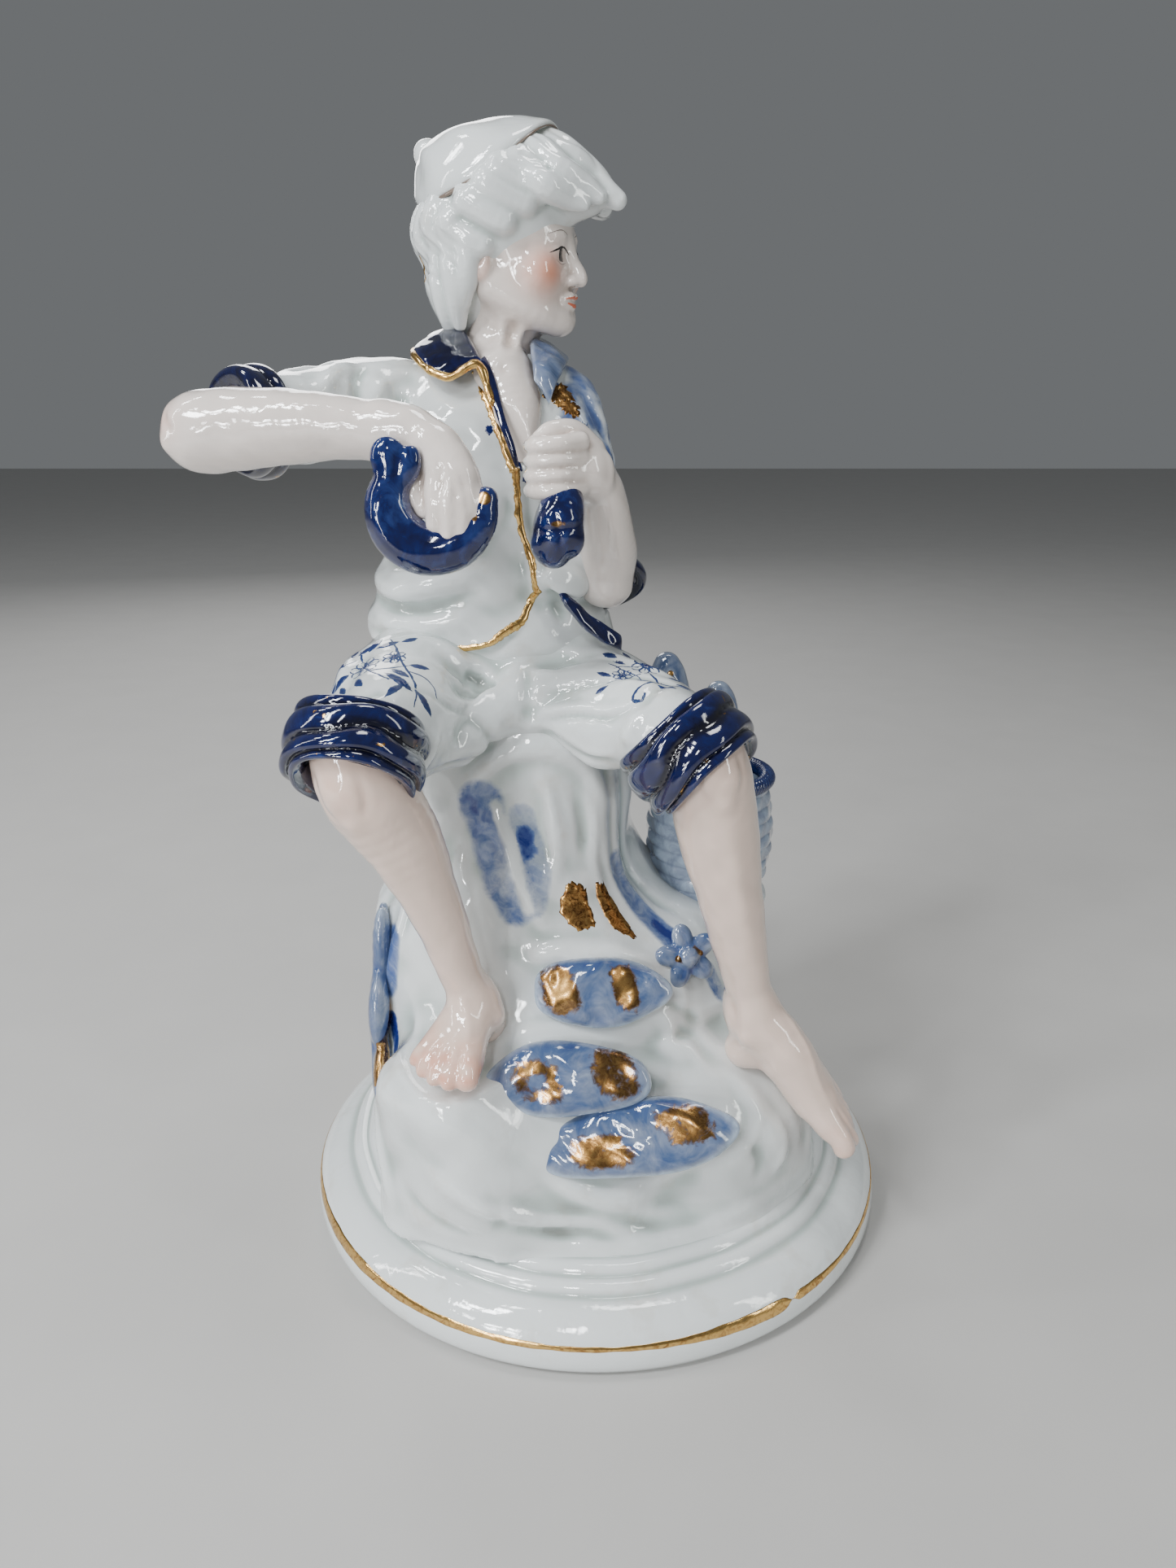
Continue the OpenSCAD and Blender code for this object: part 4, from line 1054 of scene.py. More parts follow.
def model_lower_legs():
    """The bare legs from the knee down: a tapering limb with calf, kneecap and shin, and a foot."""
    rows = (
        ("right", KNEE_R, ANKLE_R, vec(-24, -32, 58.5), 1.0, 2.2, vec(-0.35, -1, 0),
         (vec(-26.5, -51.5, 58.5), vec(-30.2, -52, 58.2), vec(-33.2, -50.8, 58.4), vec(-35.8, -48.6, 58.8),
          vec(-37.6, -45.8, 59.6))),
        ("left", KNEE_L, ANKLE_L, vec(31.5, -28.5, 52.0), 0.95, 2.6, vec(0.25, -1, 0),
         (vec(54.2, -39.6, 33.4), vec(56.2, -37.2, 33.8), vec(56.0, -34.8, 35.2), vec(55.2, -32.6, 36.8),
          vec(53.8, -30.6, 38.8))),
    )
    for side, knee, ankle, heel, fat, arch, ahead, tips in rows:
        every = np.array([knee, ankle, heel, *tips])
        clay = Clay(every.min(0) - 14, every.max(0) + 13, 0.55)
        shin = ankle - knee
        ahead = unit(ahead - unit(shin) * (ahead @ unit(shin)))
        beside = np.cross(unit(shin), ahead)
        behind = -ahead
        at = lambda share, back=0.0, out=0.0: knee + share * shin + behind * back + beside * out
        slim = 0.9 if side == "right" else 0.0
        thin = 1.3 * slim * np.sign(beside[0])
        clay.limb([at(-0.02), at(0.05), at(0.14), at(0.36, 0.8, thin), at(0.62, 0.6, thin), at(0.86),
                   at(1.0), at(1.05)],
                  [7.9 * fat, 8.8 * fat, 8.9 * fat, 8.0 * fat - slim, 6.4 - slim, 5.0 - 0.4 * slim, 4.8,
                   4.5], 2)
        clay.egg(at(0.28, 1.8, thin), (7.2 * fat - slim, 6.8 * fat - slim, 13), 4, (beside, behind, shin))
        clay.egg(at(0.04, -5.8), (4.2, 3.4, 4.6), 3.0, (beside, behind, shin))
        clay.stroke([at(0.14, -8, 0.5), at(0.45, -8, 0.3), at(0.8, -5, 0)], 2.2, 0.55)
        clay.stroke([at(0.1, -6, 5), at(0.3, -5, 6), at(0.55, -4, 5)], 2.0, -0.35)
        clay.stroke([at(-0.06, -6, 4), at(0.05, -8, 4.6), at(0.12, -8, 2)], 1.0, -0.45)
        clay.stroke([at(-0.06, -6, -4), at(0.05, -8, -4.6), at(0.12, -8, -2)], 1.0, -0.45)
        clay.dab(at(0.13, -9, 0), 2.0, 0.6)
        foot_on(clay, ankle, heel, tips, arch, 1.0 if side == "right" else 1.2)
        clay.roughen(9, 0.1, 0.7)
        verts, faces = clay.skin()
        toes = np.min([np.linalg.norm(verts - t, axis=1) for t in tips], 0)
        blush = 0.55 * (1 - ease((toes - 2) / 9)) + 0.16 * near(verts, at(0.02, -8), 7)
        blush = blush * (0.8 + 0.4 * ripple(verts, 6, 1)) * (1 if side == "right" else 0.35)
        make_piece(side + "_lower_leg", verts, faces, "flesh", [side + "_lower_leg"],
                   {"pool_and_shade": hollows(verts, faces, 5, 3.2), "blush": blush})


def rolled_cuff(centre, axis, inner, outer, width, ridges, seed, wave=1.0, tip=(0, 0, 0)):
    """A rolled cloth cuff: a ring whose thick section turns in folds.

    Round the ring the section is a rounded oval between the inner and outer radius; its outer half is
    raised and sunk by ridges, the absolute value of a sine whose phase wanders slowly round the limb.
    """
    turn, around = np.meshgrid(np.linspace(0, TAU, 300, endpoint=False),
                               np.linspace(0, TAU, 120, endpoint=False), indexing="ij")
    cs, sn = np.cos(around), np.sin(around)
    radial = np.sign(cs) * np.abs(cs) ** 0.8
    axial = np.sign(sn) * np.abs(sn) ** 0.8
    outer_side = ease((cs + 0.55) / 0.8)
    wander = 0.9 * np.sin(turn + seed) + 0.55 * np.sin(2 * turn + 1.7 * seed) + 0.25 * np.sin(5 * turn
                                                                                              + seed)
    phase = ridges * around / 2 + wave * wander
    crest = np.abs(np.sin(phase)) ** 0.6
    swell = 1 + 0.07 * np.sin(2 * turn + seed) + 0.05 * np.sin(3 * turn + 2 * seed)
    thick, half = (outer - inner) / 2, width / 2
    lift = 0.95 * (crest - 0.62) * outer_side * (outer - inner) / 3
    r = inner + thick + (thick * radial + lift * np.abs(cs) ** 0.5) * swell
    z = half * axial * swell + lift * sn + 0.7 * np.sin(turn * 2 + 2 * seed) * 0.8
    a = unit(axis)
    u = unit(np.cross(vec(0, 0, 1) if abs(a[2]) < 0.9 else vec(1, 0, 0), a))
    v = np.cross(a, u)
    z = z + r * (np.cos(turn) * (u @ np.array(tip)) + np.sin(turn) * (v @ np.array(tip)))
    points = centre + (r * np.cos(turn))[..., None] * u + (r * np.sin(turn))[..., None] * v + z[..., None] * a
    return closed_ring(points)


def model_breeches_cuffs():
    """The two rolled cuffs, each a folded ring tilted to its leg."""
    rows = (
        ("right_breeches_cuff", vec(0, 0, 0.3), vec(0.12, 0.72, 0.68), 8.2, 13.2, 13.0, 7, 0.6),
        ("left_breeches_cuff", vec(0, 0, 0.2), vec(-0.7, 0.5, 0.75), 8.2, 13.0, 13.2, 7, 2.1),
    )
    for node, shift, axis, inner, outer, width, ridges, seed in rows:
        low, high = corners(node)
        verts, faces = rolled_cuff((low + high) / 2 + shift, axis, inner, outer, width, ridges, seed)
        pool_and_shade = hollows(verts, faces, 10, 1.9) + 0.12
        bits = ease((ripple(verts, 3.1, seed) - 0.86) / 0.1) * ease((ripple(verts, 9, 3) - 0.1) / 0.3)
        make_piece(node, verts, faces, "cobalt", [node], {"pool_and_shade": pool_and_shade, "gilt": 0.8 * bits})


def breeches_clay():
    """Hips of elliptical slices and a thigh to each knee, with folds fanning out from the crotch."""
    clay = Clay((-64, -52, 108), (34, 30, 150), 0.65)
    clay.column([[118, -20, 6, 19, 14], [124, -20.5, 6, 25, 18], [130, -21.5, 6, 27.5, 18.5],
                 [138, -22, 5, 26, 17.5], [144, -22.5, 4.5, 25, 16.5]], 3)
    for hip, knee, lift, fat in ((HIP_R, KNEE_R, vec(-3, 0, 1), 1.0),
                                 (HIP_L, KNEE_L, vec(2, 0, -1.5), 0.9)):
        way = knee - hip
        clay.limb([hip - 0.12 * way, hip + 0.08 * way + lift, hip + 0.4 * way + lift, hip + 0.7 * way,
                   hip + 0.86 * way, hip + 0.95 * way], [8, 13.6 * fat, 13.8 * fat, 12.4 * fat, 10.6, 8.4],
                   4,
                  (vec(0, 0.2, 1), 0.86))
    for way, low_x in ((-1, -30), (1, 1)):
        clay.limb([(-14.5 + 1.5 * way, -13, 129.5), (0.5 * low_x - 7, -18, 126), (low_x, -23, 122)],
                  [4.2, 5.2, 5.8], 6)
    clay.egg((-14.5, -14.5, 126), (7, 5, 7), 4)
    clay.stroke([(-15.5, -14, 138), (-14.5, -17, 131), (-14.5, -18, 124)], 1.2, -1.5)
    # folds that fan out from the crotch over both thighs
    fans = (
        ([(-20, -14, 127), (-26, -19, 129), (-35, -24, 133)], 1.5, -1.0),
        ([(-20, -14, 130), (-27, -18, 134), (-36, -20, 138)], 1.6, -0.8),
        ([(-21, -15, 133), (-28, -16, 138), (-38, -14, 141)], 1.5, 0.8),
        ([(-22, -17, 124), (-29, -24, 124), (-37, -32, 126)], 1.4, -0.8),
        ([(-30, -24, 118), (-36, -32, 117), (-41, -38, 118)], 1.6, 0.6),
        ([(-17, -14, 127), (-10, -18, 128), (0, -23, 130)], 1.5, -1.0),
        ([(-16, -14, 131), (-8, -17, 134), (4, -20, 136)], 1.7, 0.8),
        ([(-16, -14, 134), (-8, -14, 138), (3, -13, 140)], 1.4, -0.8),
        ([(-14, -17, 123), (-6, -24, 121), (6, -30, 118)], 1.5, -0.7),
        ([(2, -20, 137), (10, -24, 134), (16, -27, 132)], 1.3, -0.7),
        ([(0, -12, 141), (9, -17, 139), (18, -20, 135)], 1.3, 0.7),
        ([(-54, -8, 138), (-52, -20, 137), (-51, -30, 134)], 1.6, 0.7),
        ([(-46, -16, 141), (-48, -26, 137), (-48, -34, 133)], 1.3, -0.6),
        ([(-40, -36, 133), (-44, -38, 133), (-50, -38, 130)], 1.2, -0.7),
        ([(-36, -34, 128), (-38, -38, 124), (-38, -40, 119)], 1.3, 0.6),
        ([(8, -34, 129), (11, -30, 134), (16, -25, 136)], 1.3, -0.8),
        ([(5, -33, 124), (7, -34, 127), (11, -32, 132)], 1.4, 0.7),
    )
    for path, width, height in fans:
        clay.stroke(path, width, 1.5 * height * sizes().folds)
    # sharp creases where the cloth is drawn tight
    for path in (
        [(-20, -15, 128.5), (-27, -20, 131.5), (-37, -24, 136), (-44, -26, 139)],
        [(-21, -16, 126), (-28, -23, 127), (-38, -31, 130), (-45, -36, 132)],
        [(-25, -20, 121), (-32, -29, 120), (-38, -36, 122)],
        [(-17, -15, 128.5), (-8, -19, 131), (4, -23, 134), (11, -25, 136)],
        [(-16, -16, 126), (-7, -21, 126), (4, -27, 127), (11, -32, 130)],
        [(-12, -20, 121), (-3, -27, 119), (5, -32, 119)],
        [(-10, -14, 140), (0, -16, 140), (9, -18, 139)],
        [(-30, -14, 139), (-38, -14, 141), (-46, -16, 142)],
    ):
        clay.stroke(path, 0.9, -0.75 * sizes().folds)
        clay.stroke([vec(*p) + vec(0, -0.5, 1.6) for p in path], 1.1, 0.55 * sizes().folds)
    for k in range(9):
        turn = math.radians(20 + 18 * k)
        out = vec(27 * math.cos(turn), 18 * math.sin(turn), 0)
        centre = vec(-22, 5, 0)
        clay.stroke([centre + out + vec(0, 0, 144), centre + 1.05 * out + vec(2 * math.sin(3 * k), 0, 134),
                     centre + out + vec(3 * math.sin(2 * k), 0, 122)], 2.0, 0.9 * (-1) ** k)
    clay.roughen(16, 0.35, 2.0)
    return clay


def sprig(clay, flower, size, stems, leaves, petals, turn=0.0):
    """A painted spray: a flower of outlined petals with a dotted heart, stems, and filled pointed leaves."""
    shells = []
    centre = clay.settle(np.array([flower], float))[0]
    out = slope_of(clay, centre[None])[0]
    right = unit(np.cross(vec(0, 0.3, 1), out))
    above = np.cross(out, right)
    for k in range(petals):
        w = turn + TAU * k / petals
        way, cross = math.cos(w) * right + math.sin(w) * above, -math.sin(w) * right + math.cos(w) * above
        t = np.linspace(-0.92, 0.92, 9) * math.pi
        loop = centre + size * (0.62 - 0.36 * np.cos(t))[:, None] * way + size * 0.3 * np.sin(t)[:, None] * cross
        shells.append(brush_line(clay, loop, [0.35, 0.6, 0.75, 0.6, 0.35], 0.08, 0.2, k, strength=0.7))
        vein = [centre + size * 0.3 * way, centre + size * 0.62 * way]
        shells.append(brush_line(clay, vein, [0.5, 0.25], 0.07, 0.1, k, strength=0.6))
    shells.append(brush_patch(clay, centre, right, above, blob(0.2 * size, 0.2 * size, 0.2, 1), 0.1, 24, 4,
                              0.95))
    for path, width in stems:
        shells.append(brush_line(clay, path, 1.5 * vec(*width), 0.08, 0.25, 3, strength=0.68))
    for root, tip, wide in leaves:
        ends = clay.settle(np.array([root, tip], float))
        way = ends[1] - ends[0]
        long = np.linalg.norm(way)
        normal = slope_of(clay, ends.mean(0)[None])[0]
        shells.append(brush_patch(clay, ends.mean(0), way, np.cross(normal, unit(way)),
                                  leaf_outline(0.58 * long, 1.15 * wide), 0.09,
                                  40, 5, 0.86, 0.35))
    return shells


def leaf_outline(half_length, half_width):
    """A leaf drawn to a point at both ends: the meeting of two arcs."""
    def radius(turn):
        c, s = np.abs(np.cos(turn)), np.abs(np.sin(turn))
        bow = half_length**2 / half_width
        # where the ray meets the parabola y = half_width - x^2 / bow
        a, b = c**2 / bow, s
        root = np.where(a > 1e-6, (-b + np.sqrt(b * b + 4 * a * half_width)) / (2 * np.maximum(a, 1e-6)),
                        half_width / np.maximum(s, 1e-6))
        return root * (1 + 0.05 * np.sin(7 * turn))
    return radius


def model_breeches():
    """The breeches, and the blue sprays painted on both thighs."""
    clay = breeches_clay()
    verts, faces = clay.skin()
    make_piece("breeches", verts, faces, "white", ["breeches"],
               {"pool_and_shade": hollows(verts, faces, 6, 2.2)})
    shells = sprig(
        clay, (-47, -26, 138), 3.6,
        (([(-50, -18, 141), (-48, -24, 140), (-45, -29, 137), (-41, -33, 134)], [0.3, 0.5, 0.35]),
         ([(-45, -29, 137), (-41, -29, 138), (-37, -27, 138)], [0.4, 0.35, 0.15]),
         ([(-50, -22, 140), (-54, -24, 137), (-56, -27, 134)], [0.4, 0.3, 0.15])),
        (((-46, -20, 141.5), (-41, -18, 142), 1.1), ((-48, -20, 142), (-45.5, -15, 143), 1.0),
         ((-50.5, -20, 141), (-47, -17, 142.5), 0.8), ((-42, -31, 136), (-38, -34, 132), 1.0),
         ((-41, -29.5, 137.5), (-38, -31, 135), 0.9), ((-50, -27, 137), (-54, -29, 134), 0.9),
         ((-48, -30, 136), (-45, -34, 133.5), 0.9), ((-52, -30, 135), (-49, -33, 133.5), 0.8)),
        7, 0.3)
    shells += sprig(
        clay, (-41, -24, 138), 2.6,
        (([(-43, -16, 141), (-41, -21, 139.5), (-39, -27, 137), (-37, -33, 133), (-38, -37, 130)],
          [0.25, 0.45, 0.45, 0.2]),
         ([(-38, -29, 136), (-35, -29, 135), (-33, -31, 132)], [0.35, 0.3, 0.15])),
        (((-38, -27, 137), (-34.5, -26, 136.5), 0.8), ((-37, -33, 133), (-34.5, -36, 129.5), 0.9),
         ((-39, -33, 133.5), (-41.5, -37, 130.5), 0.8), ((-40.5, -18, 141), (-37.5, -16, 141.5), 0.8),
         ((-53, -24, 139), (-55, -21, 138.5), 0.9), ((-54, -27, 136), (-56.5, -29, 132.5), 0.8),
         ((-52, -20, 140.5), (-52, -15, 141), 0.9)),
        6, 0.8)
    shells += sprig(
        clay, (11, -18, 139), 3.4,
        (([(11, -21, 138), (12, -25, 136), (16, -27, 134.5), (19, -27, 134)], [0.3, 0.5, 0.3]),
         ([(13, -25.5, 135.5), (8.5, -28, 133.5), (7.5, -30, 131.5), (9.5, -30.5, 131), (10, -29, 132)],
          [0.3, 0.55, 0.6, 0.4]),
         ([(9, -19, 139.5), (5, -19, 139.5), (3, -20, 139)], [0.4, 0.3, 0.12]),
         ([(9, -22, 138), (4, -24, 136.5), (0, -24, 136)], [0.3, 0.22, 0.1])),
        (((16, -26, 135), (19.5, -25.5, 134.5), 0.9), ((15, -22, 137), (18.5, -21, 136.5), 0.8),
         ((4, -16, 141), (1, -14, 142), 0.8), ((6, -18, 140.3), (3, -17, 141), 0.6),
         ((8, -14, 141), (6.5, -10.5, 141), 0.7), ((14, -17, 138.5), (17, -15, 138), 0.8),
         ((2, -23, 137.5), (-1, -21.5, 138.5), 0.6), ((12, -27, 134.5), (15, -29.5, 132), 0.8)),
        6, 0.0)
    shells += sprig(
        clay, (5, -22, 137.5), 2.2,
        (([(2, -18, 139.5), (5, -20, 138.5), (9, -24, 136)], [0.2, 0.4, 0.2]),),
        (((8, -25, 135.5), (11, -26, 134.5), 0.6), ((1, -25, 135.5), (-2, -26, 134.5), 0.6)), 6, 0.5)
    lay_paint("breeches_sprigs", shells, "blue paint")


# ---- shirt --------------------------------------------------------------------------------------


def shirt_clay():
    """The shirt's body of elliptical slices, bloused over the waist, and a limb for each sleeve."""
    clay = Clay((-84, -26, 132), (14, 30, 203), 0.62)
    clay.column([[135.5, -23.5, 4.5, 25, 17], [139, -24, 4.5, 27, 18.2], [144, -24.5, 4, 26.5, 17.8],
                 [149, -24.5, 4, 23.5, 16],
                 [154, -24.5, 4, 22, 15.8], [160, -24, 4, 21.5, 16], [168, -24, 4, 21.2, 16],
                 [177, -24, 4.5, 22, 15.5], [186, -24.5, 6, 22, 14], [192.5, -24, 8, 17.5, 11.5],
                 [198, -22.5, 9, 11, 9.5]], 2)
    # the cloth blouses out over the waist
    clay.egg((-38, 3, 151), (10.5, 15, 7), 4)
    clay.egg((-30, -8, 152), (12, 6.5, 6), 4)
    clay.egg((-8, -2, 154), (9, 12, 7), 4)
    clay.egg((-24, 16, 152), (19, 7, 7), 4)
    for points, radii, squash in (
        ([SHOULDER_R + vec(6, -1, 0), SHOULDER_R + vec(1, 0, 0), vec(-52, 3, 187), vec(-60, -6, 185.5),
          vec(-65, -11, 185)],
         [6.5, 9.3, 9.4, 9.0, 8.8], (vec(0.6, 0.6, 0), 1.0)),
        ([SHOULDER_L + vec(-4, 0, 2), SHOULDER_L, vec(-5, 6, 178), vec(-3, 3.5, 167), vec(-1, 1, 158.5)],
         [6, 8.6, 8.4, 7.8, 7.2], (vec(0, 0, 1), 1.0)),
    ):
        clay.limb(points, radii, 3.5, squash)
    return clay


def shirt_folds(clay):
    """Gathers at the shoulders, long folds from the armpits and curved folds over the waist."""
    strokes = (
        # his right shoulder and sleeve
        ([(-40, -4, 193), (-41, -6, 187), (-42, -9, 180)], 1.5, -1.3),
        ([(-43, -2, 195), (-45, -5, 189), (-47, -8, 181)], 1.5, 1.0),
        ([(-47, 2, 196.5), (-50, -3, 191), (-52, -6, 183)], 1.2, -0.9),
        ([(-50, 2, 197), (-54, -4, 192), (-58, -9, 187)], 1.6, 1.0),
        ([(-54, 3, 196), (-58, -2, 193), (-62, -8, 190)], 1.1, -0.9),
        ([(-57, 2, 194.5), (-61, -3, 193), (-65, -8, 191)], 1.3, 0.8),
        ([(-49, -5, 180), (-55, -10, 180), (-62, -14, 180)], 1.6, -0.8),
        ([(-47, 8, 197), (-53, 6, 196), (-60, 0, 194)], 1.3, 0.8),
        ([(-44, 14, 192), (-52, 12, 190), (-62, 2, 188)], 1.4, -0.8),
        # breast and side
        ([(-38, -5, 190), (-38.5, -9, 180), (-39, -11, 170)], 2.0, 0.9),
        ([(-42, -6, 178), (-41, -9, 170), (-40, -9, 161)], 1.5, -0.9),
        ([(-33, -8, 186), (-34, -11, 176), (-36, -12, 166)], 2.2, -0.5),
        ([(-26, -12, 172), (-31, -12, 164), (-37, -10, 158)], 1.6, 0.5),
        ([(-16, -13, 172), (-19, -13, 165), (-26, -13, 158)], 1.5, -0.4),
        # over the waist on his right
        ([(-46, 1, 158), (-41, -8, 156), (-30, -13, 158), (-20, -13.5, 161)], 1.5, -1.1),
        ([(-48, 3, 154), (-43, -8, 151), (-32, -13.5, 153), (-21, -14, 157)], 1.7, 1.1),
        ([(-48, 2, 149.5), (-43, -8, 147), (-33, -14, 148), (-22, -15, 152)], 1.4, -1.2),
        ([(-50, 3, 146), (-44, -10, 143.5), (-34, -15, 144), (-24, -16, 147)], 1.5, 0.9),
        ([(-51, 4, 142), (-45, -10, 140), (-37, -14, 140)], 1.2, -0.8),
        ([(-45, -4, 163), (-43, -7, 160), (-38, -10, 159)], 1.4, 0.7),
        # over the waist on his left
        ([(-11, -13, 161), (-6, -11, 157), (-1, -8, 152)], 1.4, -1.0),
        ([(-12, -14, 156), (-7, -12, 152), (-2, -10, 147)], 1.5, 1.1),
        ([(-12, -14.5, 151), (-8, -13.5, 147), (-4, -12, 143)], 1.3, -1.0),
        ([(-11, -13, 166), (-4, -9, 162), (0, -5, 156)], 1.3, 0.8),
        ([(-4, -7, 163), (0, -2, 158), (2, 4, 152)], 1.5, -0.8),
        # his left sleeve
        ([(-8, -4, 193), (-4, -3, 187), (0, -2, 180)], 1.6, 0.8),
        ([(-4, 0, 194), (0, 1, 187), (3, 2, 179)], 1.3, -0.9),
        ([(0, -4, 180), (2, -4, 174), (3, -4, 166)], 1.4, 0.8),
        ([(3, 6, 184), (4.5, 5, 176), (4.5, 3, 167)], 1.3, -0.8),
        ([(-2, 13, 186), (2, 13, 177), (3, 9, 168)], 1.6, 0.8),
        ([(4, 0, 170), (5, 0, 165), (4.5, -1, 160)], 1.1, 0.7),
    )
    for path, width, height in strokes:
        clay.stroke(path, width, 1.7 * height * sizes().folds)
    # the back: a yoke seam and folds that hang from it
    clay.stroke([(-42, 18, 186), (-32, 21, 184), (-24, 21, 183), (-14, 21, 184), (-4, 18, 186)], 0.8, -0.7)
    for k in range(9):
        x = -42 + 4.6 * k
        lean = 0.25 * (x + 23)
        path = [(x, 20, 181 - 2 * math.sin(k)), (x + 0.3 * lean, 22, 170), (x - 0.3 * lean, 22, 160),
                (x - 0.5 * lean, 23, 153), (x - 0.2 * lean, 22, 146), (x, 22, 139)]
        clay.stroke(path, 1.9, 1.0 * (-1) ** k)
    for k in range(4):
        z = 157 - 4.2 * k
        clay.stroke([(-48 + k, 8, z), (-38, 18, z - 2), (-28, 21, z - 1)], 1.5, 0.8 * (-1) ** k)
        clay.stroke([(0 - k, 8, z), (-9, 18, z - 2), (-19, 21, z - 1)], 1.5, -0.8 * (-1) ** k)
    clay.roughen(18, 0.3, 4.0)
    clay.roughen(7, 0.1, 1.0)


PLACKET = ((-16.3, -13, 175.8), (-15.8, -14, 172), (-15.3, -14, 167), (-14.7, -14, 162.5),
           (-14.0, -14, 158), (-13.8, -14, 154), (-13, -14, 149.6))
NECK_EDGE = ((-25.2, -6, 196.4), (-23.8, -7, 194), (-22.6, -8, 190.5), (-21.4, -9, 187.5),
             (-20.0, -11, 184.5), (-18.2, -12.5, 180), (-16.3, -14, 175.5))
HEM = ((-13, -14.5, 149.8), (-15.2, -15.5, 146), (-18.8, -16.5, 143), (-22.6, -16, 140.2),
       (-27.4, -15.5, 138.6), (-33, -14.5, 138.4))


def model_shirt():
    """The shirt with its open neck, its lapped front, its gold edges and the blue of the left sleeve."""
    clay = shirt_clay()
    # the open neck
    clay.limb([(-18, -4, 203), (-15.6, -9, 192), (-15.2, -13, 184), (-15.8, -16, 177)],
              [8.4, 5.4, 3.0, 0.9], 1.0, carve=True)
    shirt_folds(clay)
    # the front edge laps over: a low step along the placket and the hem
    clay.stroke(PLACKET, 1.3, 0.8, taper=False)
    clay.stroke([vec(*p) + vec(2.3, 0, 0) for p in PLACKET], 1.2, -0.7)
    clay.stroke(HEM, 1.2, 0.7)
    clay.stroke([vec(*p) + vec(0, 0, -2.0) for p in HEM], 1.2, -0.9)
    clay.stroke([(-32.5, -14, 137), (-42, -9, 137), (-50, 0, 137), (-51, 8, 137)], 1.2, -0.8)
    verts, faces = clay.skin()
    pool_and_shade = hollows(verts, faces, 6, 2.6)
    sleeve = ease((verts[:, 0] + 11.5 - 0.12 * (verts[:, 2] - 175)) / 4) * ease((verts[:, 2] - 160) / 6)
    sleeve = sleeve * ease((verts[:, 1] + 12) / 4)
    streaks = np.sin(1.1 * verts[:, 2] + 0.9 * verts[:, 0] + 2 * ripple(verts, 14, 3))
    blue = sleeve * np.clip(0.6 + 0.16 * ripple(verts, 6, 5) + 0.08 * streaks + 0.5 * pool_and_shade, 0.3, 0.95)
    make_piece("shirt", verts, faces, "white", ["shirt_body", "right_sleeve", "left_sleeve"],
               {"pool_and_shade": pool_and_shade, "blue": blue})
    wide = sizes().gilt_edge / MM
    line = [brush_line(clay, PLACKET, wide * vec(1.25, 0.85, 1.15, 0.9, 1.1, 0.8, 1.05), 0.36, 0.22, 1.0),
            brush_line(clay, NECK_EDGE, wide * vec(1.0, 1.15, 0.9, 1.1, 0.9, 1.25), 0.4, 0.2, 2.0),
            brush_line(clay, HEM, wide * vec(0.95, 1.15, 1.35, 1.25, 1.0, 1.1, 0.5), 0.3, 0.2, 3.0)]
    lay_paint("shirt_gilt_edge", line, "gilt")
    other = [brush_line(clay, [(-15.5, -12, 178), (-13.6, -11.5, 181), (-11.8, -10, 185), (-10.6, -8, 189)],
                        [0.7, 1.3, 0.8, 1.1, 0.5], 0.12, 0.4, 4.0),
             brush_patch(clay, (-7.8, -3, 191.2), vec(1, 0, -0.3), vec(0.2, 0.5, 1), blob(3.4, 2.8, 0.3, 2),
                         0.16),
             brush_patch(clay, (-5.6, -3.5, 187.8), vec(1, 0, -0.3), vec(0, 0.5, 1), blob(3.0, 1.7, 0.3, 5),
                         0.14)]
    lay_paint("shirt_worn_gilt", other, "worn gilt")
    beside = [vec(*p) + vec(1.7, 0.6, 0) for p in NECK_EDGE[1:]]
    blue_bits = [
        brush_line(clay, beside, [1.6, 2.0, 1.8, 1.3, 0.5], 0.14, 0.15, 5.0, strength=1.0),
        brush_patch(clay, (-21.8, -11.5, 184.2), vec(1, 0, 0), vec(0, 0, 1), blob(0.9, 1.3, 0.2, 3), 0.12),
        brush_patch(clay, (-13.0, -13.5, 173.8), vec(1, 0, 0), vec(0, 0, 1), blob(1.5, 1.0, 0.25, 4), 0.12,
                    strength=0.8),
    ]
    for k, (x, y, z, r) in enumerate(((-1.5, -4, 184, 1.6), (0.8, -3, 179.5, 1.3), (2.6, 0, 183.5, 1.2),
                                      (-5.5, -4, 184, 1.3),
                                      (2.6, -3, 174, 1.4), (-7.5, -3, 194, 1.1), (4.2, 2, 177.5, 1.2))):
        blue_bits.append(brush_patch(clay, (x, y, z), vec(1, 0, -0.6), vec(0.4, 0.3, 1),
                                     blob(r, 0.55 * r, 0.4, k), 0.1,
                                     strength=0.6, fade=0.4))
    lay_paint("shirt_blue_touches", blue_bits, "blue paint")


def sheet_flap(outline_rows, thick, sides=60, folds=0.0, seed=0.0):
    """A flap of cloth: a patch between two curved edges, given a thickness and a rounded rim.

    outline_rows are curves across the flap, each from its inner to its outer edge.
    """
    rows = [smooth_path(row, 40) for row in outline_rows]
    grid = np.stack([smooth_path([row[i] for row in rows], sides) for i in range(40)], 1)
    du, dv = np.gradient(grid, axis=0), np.gradient(grid, axis=1)
    normal = unit(np.cross(du, dv))
    u, v = np.meshgrid(np.linspace(0, 1, sides), np.linspace(0, 1, 40), indexing="ij")
    rim = np.clip(np.minimum.reduce([u, 1 - u, v, 1 - v]) * 9, 0, 1)
    half = thick / 2 * np.sqrt(1 - (1 - rim) ** 2 + 0.01)
    wave = folds * ripple(grid, 6, seed)
    top = grid + normal * (half + wave)[..., None]
    under = grid - normal * (half - wave)[..., None]
    loop = np.concatenate([top, under[:, ::-1]], 1)
    return closed_tube(loop)


